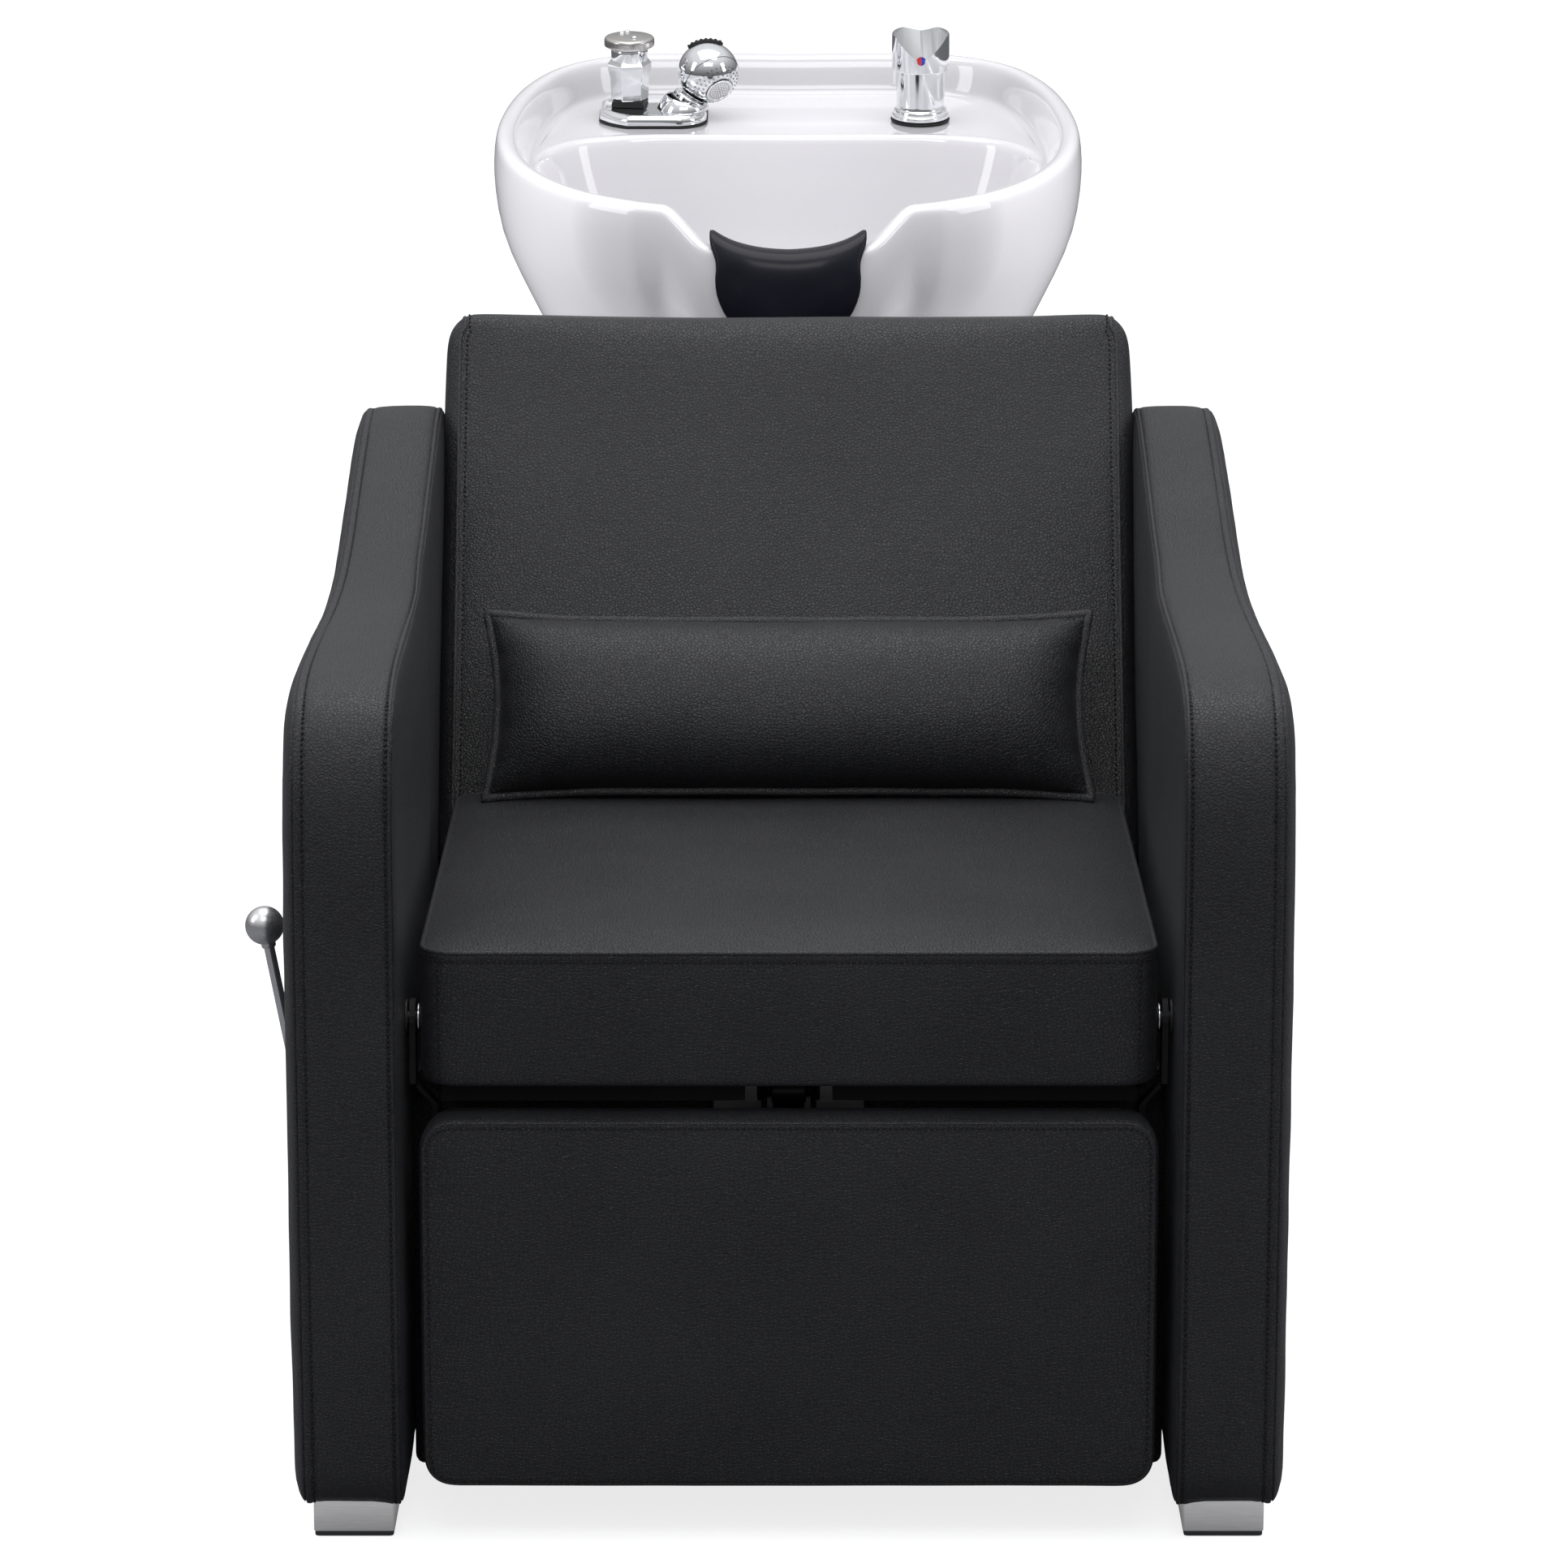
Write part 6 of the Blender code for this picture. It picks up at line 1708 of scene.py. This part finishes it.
# raised boss of the plate that carries the cup: (radius, height)
BOSS_H = 0.0094
BOSS = [(0.0225, 0.0), (0.0222, 0.0020), (0.0206, 0.0060), (0.0190, 0.0086), (0.0178, BOSS_H),
        (0.0172, 0.0088), (0.0170, 0.0040), (0.0170, 0.0)]
boss_base = socket_base + deck_up * (PLATE_H - 0.0012) + Vector((0.0022, 0, 0))
rings = []
for radius, height in BOSS:
    lean = spray_dir * (height * 0.8) + deck_up * (height * 0.2)
    ring = []
    for k in range(64):
        turn = 2 * math.pi * k / 64
        x, y = radius * math.cos(turn), radius * math.sin(turn)
        tilt = Vector((0, 0, -0.24)) * x * (height / BOSS_H)
        ring.append(boss_base + Vector((x, y, y * RIM_SLOPE)) + lean + tilt)
    rings.append(ring)
make("spray_socket_boss", *loft(rings, close=True), CHROME, "basin", 40)
turned("spray_socket_ring", socket + spray_dir * 0.0100, spray_dir,
       [(0.016, 0), (0.0173, 0.0004), (0.0173, 0.0016), (0.016, 0.002), (0.016, 0)],
       RUBBER, "basin", 48)
slots = []
across, up, axis = frame_of(spray_dir)
for radial in circle(Vector(), across, up, 1.0, 14):
    side_dir = axis.cross(radial)
    centre = socket + spray_dir * 0.0140 + radial * 0.0166
    verts = [centre + side_dir * (i * 0.0011) + axis * (j * 0.0012) + radial * (k * 0.0004)
             for i in (-1, 1) for j in (-1, 1) for k in (-1, 1)]
    slots.append(bevel(make("slot", verts, BOX_FACES, RUBBER, smooth=30), 0.0003))
joined("spray_socket_slots", slots, "basin")

# ------------------------------------------------------------------ hand spray
BALL_R = 0.0262
ball = socket + spray_dir * 0.0432
face_across, face_up, face_dir = frame_of(Vector((0.43, -0.66, -0.62)).normalized())


def ball_profile(radius, start, stop, step):
    """(radius, height) of a ball at angles in degrees from its lower pole."""
    turns = [math.radians(degrees) for degrees in range(start, stop, step)]
    return [(radius * math.sin(turn), -radius * math.cos(turn)) for turn in turns]


profile = [(0.0004, -BALL_R)] + ball_profile(BALL_R, 4, 152, 4)
edge_r, edge_h = profile[-1]
profile += [(edge_r - 0.0006, edge_h + 0.0006), (edge_r - 0.0012, edge_h + 0.0001),
            (edge_r - 0.0018, edge_h - 0.0016), (0.0004, edge_h - 0.0018)]
turned("spray_ball", ball, face_dir, profile, CHROME, "sprayer", 80, smooth=50,
       replaces="spray_head")
turned("spray_neck", socket + spray_dir * 0.0062, spray_dir, rounded(
    [(0.006, 0), (0.0078, 0.0004), (0.0084, 0.003), (0.0105, 0.0085), (0.0112, 0.014),
     (0.0112, 0.023), (0.010, 0.027)], 0.0008), CHROME, "sprayer", 56)

# the face: a fine metal grille in a thin ring
face_edge = math.radians(28)
face_at = ball + face_dir * (BALL_R * math.cos(face_edge) - 0.0012)
face_r = BALL_R * math.sin(face_edge) - 0.0014
turned("spray_grille", face_at, face_dir,
       [(face_r, 0), (face_r, 0.0008), (face_r * 0.6, 0.0013), (0.0004, 0.0015)],
       SATIN, "sprayer", 48, replaces="spray_face")
turned("spray_grille_ring", face_at + face_dir * 0.0002, face_dir, rounded_ring(
    [(face_r - 0.0004, 0), (face_r + 0.0010, 0), (face_r + 0.0011, 0.0013),
     (face_r - 0.0001, 0.0013)], 0.0003, 2), CHROME, "sprayer", 48)


def dots(name, spots, radius, depth):
    """Many small nozzles, each at a (place, outward direction)."""
    solids = []
    for place, direction in spots:
        across, up, out = frame_of(direction)
        solids.append([circle(place + out * height, across, up, size, 8)
                       for size, height in ((radius, -depth), (radius, depth * 0.35),
                                            (radius * 0.62, depth * 0.5),
                                            (radius * 0.55, -depth * 0.6))])
    make(name, *lofts(solids), NOZZLE, "sprayer", 40)


spots = []
for ring_radius, count in ((0.0, 1), (0.0022, 6), (0.0044, 12), (0.0066, 18), (0.0088, 24)):
    centre = face_at + face_dir * (0.0015 - 0.0007 * (ring_radius / face_r) ** 2)
    spots += [(spot, face_dir) for spot in circle(centre, face_across, face_up, ring_radius, count)]
dots("spray_grille_holes", spots, radius=0.00062, depth=0.0002)
spots = []
# degrees from the face's axis, count in the ring, share of a pitch the ring is turned
for degrees, count, start in ((37, 22, 0.0), (45, 26, 0.5), (53, 30, 0.0)):
    away = math.radians(degrees)
    for out in circle(face_dir * math.cos(away), face_across, face_up, math.sin(away), count,
                      2 * math.pi * start / count):
        out = out.normalized()
        if out.z < 0.35 and out.dot(-spray_dir) < 0.80:
            spots.append((ball + out * BALL_R, out))
dots("spray_nozzles", spots, radius=0.00085, depth=0.0003)

# joint line between the ball's two shells
joint, joint_r = math.radians(74), BALL_R + 0.00002
tube("spray_joint_line", circle(ball + face_dir * (joint_r * math.cos(joint)), face_across,
                                face_up, joint_r * math.sin(joint), 96),
     0.00028, NOZZLE, "sprayer", sides=6, closed=True)


def build_thumb_pad(columns=60, rows=18):
    """Ridged black pad on top of the ball."""
    out = Vector((-0.10, 0.22, 0.97)).normalized()
    long_dir = Vector((0.90, 0.05, 0.40))
    long_dir = (long_dir - out * long_dir.dot(out)).normalized()
    wide_dir = out.cross(long_dir)
    verts, faces = [], []
    for top in (True, False):
        for j in range(rows + 1):
            for i in range(columns + 1):
                u, v = -1 + 2 * i / columns, -1 + 2 * j / rows
                shrink = math.sqrt(max(0.0, 1 - abs(u) ** 4.0))
                along = math.radians(34) * u
                aside = math.radians(17) * v * (0.35 + 0.65 * shrink)
                way = (out * math.cos(along) * math.cos(aside)
                       + long_dir * math.sin(along) * math.cos(aside)
                       + wide_dir * math.sin(aside)).normalized()
                edge = min(1.0, (1 - abs(u)) / 0.10, (1 - abs(v)) / 0.22)
                rise = (0.0026 * math.sqrt(max(0.0, 1 - (1 - edge) ** 2))
                        + 0.00055 * edge * math.sin(u * math.pi * 8))
                verts.append(ball + way * (BALL_R + (0.0002 + rise if top else -0.0012)))
    under, stride = (columns + 1) * (rows + 1), columns + 1
    for j in range(rows):
        for i in range(columns):
            a = j * stride + i
            faces.append((a, a + 1, a + stride + 1, a + stride))
            faces.append((under + a, under + a + stride, under + a + stride + 1, under + a + 1))
    rim = [j * stride + i for i, j in border(columns, rows)]
    for a, b in zip(rim, rim[1:] + rim[:1]):
        faces.append((a, b, under + b, under + a))
    make("spray_thumb_pad", verts, faces, RUBBER, "spray_valve", 60, "spray_thumb_valve")


build_thumb_pad()
tube("spray_hose_sleeved",
     resample([socket - spray_dir * 0.1150, socket + spray_dir * 0.0057], 0.002),
     0.0058, SPRAY_HOSE, "sprayer", sides=24, replaces="spray_hose")

# ------------------------------------------------------------------ supply hoses
for tag, x in (("hot", -0.0068), ("cold", 0.0068)):
    top = mixer_base - deck_up * 0.0425 + Vector((x, 0, 0))
    path = catmull([top, top + Vector((x * 0.6, 0.000, -0.035)),
                    top + Vector((x * 1.4 - 0.012, -0.020, -0.10)),
                    at(0.062 + x * 2.2, 1.225, 0.600), at(0.058 + x * 2.4, 1.215, 0.520)], 14)
    tube(f"supply_hose_braided_{tag}", path, 0.0050, HOSE, "basin", sides=20,
         replaces=f"supply_hose_{tag}")
    tube(f"supply_hose_ferrule_{tag}", [top + deck_up * 0.0002, top - deck_up * 0.0140],
         0.0060, CHROME, "basin", sides=20)

# ------------------------------------------------------------------ release lever
turned("lever_axle", at(-0.2530, *LEVER), (-1, 0, 0), rounded(
    [(0.0066, 0), (0.007, 0.0006), (0.007, 0.093), (0.0094, 0.0934), (0.0096, 0.094),
     (0.0096, 0.100), (0.0088, 0.1012), (0.005, 0.1018)],
    0.0005), CHROME, "release_lever", 48, replaces="lever_shaft")
rod_low, rod_high = at(-0.3500, LEVER[0], LEVER[1] + 0.0080), at(-0.3680, LEVER[0], 0.3800)
rod_dir = (rod_high - rod_low).normalized()
tube("lever_rod", resample([rod_low, rod_high], 0.006), 0.0038, CHROME, "release_lever", sides=32)
# (depth, z) from the lever's axis
CAM = [(0.0105, 0.005), (0.0075, 0.0105), (-0.0075, 0.0105), (-0.0105, 0.005),
       (-0.0075, -0.036), (-0.0040, -0.0405), (0.0040, -0.0405), (0.0075, -0.036)]
make("lever_cam", *loft([[at(x, LEVER[0] + depth, LEVER[1] + z) for depth, z in CAM]
                         for x in (-0.2562, -0.2532)]),
     STEEL, "release_lever", 30, slot="chrome")
KNOB_R = 0.0138
turned("lever_ball_knob", rod_high + rod_dir * 0.0131, rod_dir,
       [(0.0046, -0.016), (0.0052, -0.015), (0.0052, -0.0128)]
       + ball_profile(KNOB_R, 28, 178, 6) + [(0.0002, KNOB_R)],
       KNOB, "release_lever", smooth=40, replaces="lever_knob")
turned("lever_boss", at(-0.3409, *LEVER), (-1, 0, 0), rounded_ring(
    [(0.0078, 0), (0.0078, 0.0046), (0.015, 0.005), (0.018, 0.0036), (0.0194, 0.0008),
     (0.0194, 0)], 0.0007), PLASTIC, "frame", replaces="lever_escutcheon")

# ------------------------------------------------------------------ leg rest pivots
for side, tag in SIDES:
    turned(f"pivot_bolt_{tag}", at(side * 0.2516, *FOOTREST_PIVOT), (side, 0, 0), rounded(
        [(0.0034, 0.001), (0.0036, 0), (0.007, 0), (0.0096, 0.0008), (0.0102, 0.002),
         (0.0102, 0.0032), (0.0048, 0.0034), (0.0048, 0.056)],
        0.0004), CHROME, "frame", 48, replaces=f"footrest_pivot_bolt_{tag}")
    turned(f"pivot_grommet_{tag}", at(side * 0.2612, *FOOTREST_PIVOT), (side, 0, 0), rounded_ring(
        [(0.0052, 0), (0.0125, 0), (0.013, 0.0014), (0.012, 0.0032), (0.0052, 0.0032)],
        0.0006), PLASTIC, "frame", 40)

# ------------------------------------------------------------------ gas spring
gas_low, gas_high = at(0, *GAS_LOW), at(0, *GAS_HIGH)
gas_dir = (gas_high - gas_low).normalized()
gas_length = (gas_high - gas_low).length


def cross_pin(name, centre, half_length, profile, steps, material, body, sides, **options):
    """Turned shape along +X whose start lies half a length to the right of the centre."""
    turned(name, centre - Vector((half_length, 0, 0)), (1, 0, 0), profile(steps), material, body,
           sides, **options)


turned("gas_rod", gas_low, gas_dir, rounded(
    [(0.0046, 0.010), (0.0048, 0.011), (0.0048, 0.203), (0.0042, 0.205)],
    0.0003, 2), CHROME, "gas_rod", 40, replaces="gas_spring_rod")
turned("gas_rod_eye", gas_low - Vector((0.0105, 0, 0)), (1, 0, 0), rounded_ring(
    [(0.0046, 0), (0.012, 0), (0.0125, 0.0008), (0.0125, 0.0202), (0.012, 0.021),
     (0.0046, 0.021)], 0.0006, 2), PLASTIC, "gas_rod", 48)
turned("gas_cylinder", gas_low + gas_dir * (gas_length - 0.180), gas_dir, rounded(
    [(0.0056, 0.002), (0.006, 0), (0.009, 0), (0.011, 0.0022), (0.011, 0.006),
     (0.0106, 0.0075), (0.011, 0.009), (0.011, 0.158), (0.006, 0.163), (0.006, 0.173)],
    0.0006), MATT_BLACK_AND_SHADE, "gas_cylinder", 48, replaces="gas_spring_cylinder", slot="black_plastic")
turned("gas_cylinder_eye", gas_high - Vector((0.0120, 0, 0)), (1, 0, 0), rounded_ring(
    [(0.0046, 0), (0.008, 0), (0.0086, 0.0008), (0.0086, 0.0232), (0.008, 0.024),
     (0.0046, 0.024)], 0.0006, 2), PLASTIC, "gas_cylinder", 48)
# The pin is satin steel; its matt black finish is painted shade for the gap under the seat.
turned("gas_pin", gas_high - Vector((0.0215, 0, 0)), (1, 0, 0), rounded(
    [(0.0036, -0.0006), (0.007, 0), (0.007, 0.0022), (0.0042, 0.0024), (0.0042, 0.0406),
     (0.007, 0.0408), (0.007, 0.0426), (0.0036, 0.0432)],
    0.0003, 2), MATT_BLACK_AND_SHADE, "footrest", 32, slot="satin_steel")

# ------------------------------------------------------------------ pedestal
WALL_T = 0.010


def shell_path(inset):
    """(x, depth) of a U open to the rear, inset from the pedestal's outer face."""
    half, front, radius = 0.155 - inset, 0.938 + inset, 0.035 - inset
    return (corner(-half + radius, front + radius, radius, 180, 14)
            + corner(half - radius, front + radius, radius, 270, 14))


def wall_ring(inset, z):
    rear = 1.300 - inset
    ring = []
    for face_inset, order in ((inset, 1), (WALL_T - inset, -1)):
        half = 0.155 - face_inset
        ring += ([(-half, rear)] + shell_path(face_inset) + [(half, rear)])[::order]
    return [at(x, depth, z) for x, depth in ring]


make("pedestal_wall", *loft([wall_ring(inset, z) for inset, z in (
    (0.0012, 0.0685), (0.0004, 0.0690), (0.0, 0.0700), (0.0, 0.5365), (0.0004, 0.5375),
    (0.0012, 0.5380))]), PANEL, "frame", 30, "pedestal_shell")
slab("pedestal_door_leaf", (-0.1520, 0.1350), (1.3006, 1.3120), (0.0700, 0.5370), PANEL, 0.0022,
     "pedestal_door", "pedestal_door")
turned("pedestal_door_pull", at(-0.128, 1.3110, 0.300), (0, 1, 0), rounded(
    [(0.0052, 0), (0.005, 0.007), (0.0085, 0.0105), (0.0112, 0.014), (0.0112, 0.019),
     (0.0095, 0.0212), (0.0004, 0.0216)], 0.0008), BOLT, "pedestal_door", 40, slot="laminate")
leaves, pins = [], []
for z in (0.140, 0.420):
    leaves.append(slab("leaf", (0.118, 0.1478), (1.3118, 1.3136), (z, z + 0.040), BOLT, 0.0005))
    pins.append(tube("pin", [at(0.1500, 1.3080, z), at(0.1500, 1.3080, z + 0.040)], 0.0034, BOLT,
                     sides=20))
    for rise in (0.010, 0.030):
        leaves.append(turned("screw", at(0.126, 1.3134, z + rise), (0, 1, 0),
                             [(0.003, 0), (0.0028, 0.0008), (0.0012, 0.0011), (0.001, 0.0006),
                              (0.0002, 0.0005)], BOLT, sides=20))
joined("pedestal_hinge_leaves", leaves, "pedestal_door")
joined("pedestal_hinge_pins", pins, "frame")
bolts = []
for depth in (0.945, 1.298):
    for x in (-0.146, 0.146):
        bolts.append(turned("washer", at(x, depth, 0.0061), UP, rounded(
            [(0.0085, 0), (0.0085, 0.0012), (0.005, 0.0014)], 0.0002, 2), BOLT, sides=32))
        bolts.append(turned("head", at(x, depth, 0.0073), UP,
                            [(0.0058, 0), (0.0058, 0.0036), (0.005, 0.0042), (0.0004, 0.0043)],
                            BOLT, sides=6, edge=0.0003))
joined("foot_plate_bolts", bolts, "frame")

# ------------------------------------------------------------------ back board screws and piping
screws = []
for side in (-1, 1):
    for down in (0.040, 0.230, 0.435):
        screws.append(turned("screw", back_map((side * 0.236, down, -0.0153)), -back_out,
                             [(0.0055, 0), (0.0052, 0.001), (0.0036, 0.0016), (0.002, 0.0016),
                              (0.0016, 0.0008), (0.0003, 0.0007)], BOLT, sides=24))
joined("back_board_screws", screws, "frame")
outline = []
for x, up, start in ((0.236, -0.032, 0), (-0.236, -0.032, 90), (-0.236, -0.442, 180),
                     (0.236, -0.442, 270)):
    outline += [back_map((spot_x, -spot_up, -0.0004))
                for spot_x, spot_up in corner(x, up, 0.02, start, 8)]
tube("back_board_piping", resample(outline, 0.006, True), 0.0030, PIPING, "frame", sides=12,
     closed=True)

# ------------------------------------------------------------------ CAD pieces that stay visible
# material, slot, bevel width
FINISH = {
    "arm_frame_left": (PLY, "plywood", 0),
    "arm_frame_right": (PLY, "plywood", 0),
    # the seat deck's near-black cloth is painted shade for the dark gap under the seat
    "seat_deck": (DECK_SHADE_CLOTH, "plywood", 0.001),
    "backrest_board": (PANEL, "black_plastic", 0.002),
    "footrest_board": (PLY, "plywood", 0.001),
    "base_frame": (STEEL, "black_steel", 0.0015),
    "footrest_crank": (MATT_BLACK_AND_SHADE, "black_steel", 0.0004),
    "footrest_link_left": (MATT_BLACK_AND_SHADE, "black_steel", 0.0004),
    "footrest_link_right": (MATT_BLACK_AND_SHADE, "black_steel", 0.0004),
    "basin_cradle": (STEEL, "black_steel", 0.0008),
    "basin_column": (STEEL, "black_steel", 0.0015),
    "tilt_axle": (BOLT, "satin_steel", 0.0003),
    "tilt_lock_handle": (PLASTIC, "black_plastic", 0.0006),
    "pedestal_foot_plate": (STEEL, "black_steel", 0.001),
}
for name, (material, slot, width) in FINISH.items():
    node = NODES[name]
    node.data.materials.clear()
    node.data.materials.append(material)
    if width:
        bevel(node, width, 2, 35)

# ------------------------------------------------------------------ stage
bpy.context.view_layer.update()
FLOOR_HALF = 14.0
mesh = bpy.data.meshes.new("studio_floor")
mesh.from_pydata([(x * FLOOR_HALF, y * FLOOR_HALF, 0)
                  for x, y in ((-1, -1), (1, -1), (1, 1), (-1, 1))], [], [(0, 1, 2, 3)])
floor = new_object("studio_floor", mesh)
look = Look("pale_floor", (0.90, 0.90, 0.91), 0.7, spec=0.1)
look.set(Base_Color=look.ramp(look.noise(scale=3), (0.3, (0.44, 0.44, 0.445)),
                              (0.7, (0.46, 0.46, 0.465))),
         Emission_Strength=0.80, Emission_Color=(1, 1, 1, 1))
# seen directly the floor is nearly white; as a bounce it is a dark grey card
card = look.node("BsdfDiffuse", Color=(0.20, 0.20, 0.21, 1))
pick = look.node("MixShader")
for socket_in, source in zip(pick.inputs, (look.node("LightPath").outputs["Is Camera Ray"],
                                           card.outputs[0], look.shader.outputs[0])):
    look.feed(socket_in, source)
look.feed(look.tree.nodes["Material Output"].inputs["Surface"], pick.outputs[0])
floor.data.materials.append(look.material)
floor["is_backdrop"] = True


def build_world():
    """White to the camera; lights the scene with a grey gradient that brightens upwards."""
    world = bpy.data.worlds.new("studio")
    bpy.context.scene.world = world
    world.use_nodes = True
    nodes, link = world.node_tree.nodes, world.node_tree.links.new
    seen = nodes["Background"]
    seen.inputs[0].default_value = (1, 1, 1, 1)
    seen.inputs[1].default_value = 1.0
    rays = nodes.new("ShaderNodeLightPath")
    lighting = nodes.new("ShaderNodeBackground")
    lighting.inputs[1].default_value = 1.0
    direction = nodes.new("ShaderNodeTexCoord")
    split = nodes.new("ShaderNodeSeparateXYZ")
    height = nodes.new("ShaderNodeMapRange")
    height.inputs["From Min"].default_value = -1.0
    height.inputs["From Max"].default_value = 1.0
    gradient = nodes.new("ShaderNodeValToRGB")
    levels = [(0.0, 0.12), (0.49, 0.17), (0.56, 0.25), (0.70, 0.48), (0.84, 0.80), (1.0, 0.90)]
    fill_ramp(gradient, [(position, (grey * 0.97, grey * 0.98, grey))
                         for position, grey in levels])
    link(direction.outputs["Generated"], split.inputs[0])
    link(split.outputs[2], height.inputs["Value"])
    link(height.outputs[0], gradient.inputs["Fac"])
    link(gradient.outputs["Color"], lighting.inputs[0])
    mix = nodes.new("ShaderNodeMixShader")
    link(rays.outputs["Is Camera Ray"], mix.inputs[0])
    link(lighting.outputs[0], mix.inputs[1])
    link(seen.outputs[0], mix.inputs[2])
    link(mix.outputs[0], nodes["World Output"].inputs[0])


build_world()

# name, place, aim, width, height, power
LIGHTS = [("overhead_softbox", (0.0, -0.30, 3.0), (0, -0.40, 0.5), 2.4, 1.8, 28),
          ("front_softbox", (0.0, -3.0, 3.2), (0, -0.4, 0.6), 2.2, 0.9, 17),
          ("left_softbox", (-2.6, -1.2, 2.0), (0, -0.3, 0.6), 0.8, 1.6, 10),
          ("right_softbox", (2.7, -1.1, 1.9), (0, -0.3, 0.6), 0.8, 1.6, 9)]
for name, place, aim, width, height, power in LIGHTS:
    light = bpy.data.lights.new(name, "AREA")
    light.shape = "RECTANGLE"
    light.size, light.size_y, light.energy = width, height, power
    lamp = new_object(name, light)
    lamp.location = place
    lamp.rotation_euler = (Vector(aim) - Vector(place)).to_track_quat("-Z", "Y").to_euler()

lens = bpy.data.cameras.new("camera")
lens.lens = 143.85
lens.sensor_width = 36
lens.clip_end = 60
camera = new_object("camera", lens)
camera.location = (-0.0033, -5.2124, 1.4864)
camera.rotation_euler = (math.radians(77), 0, 0)
bpy.context.scene.camera = camera
bpy.context.scene.view_settings.view_transform = "Standard"

low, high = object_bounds()
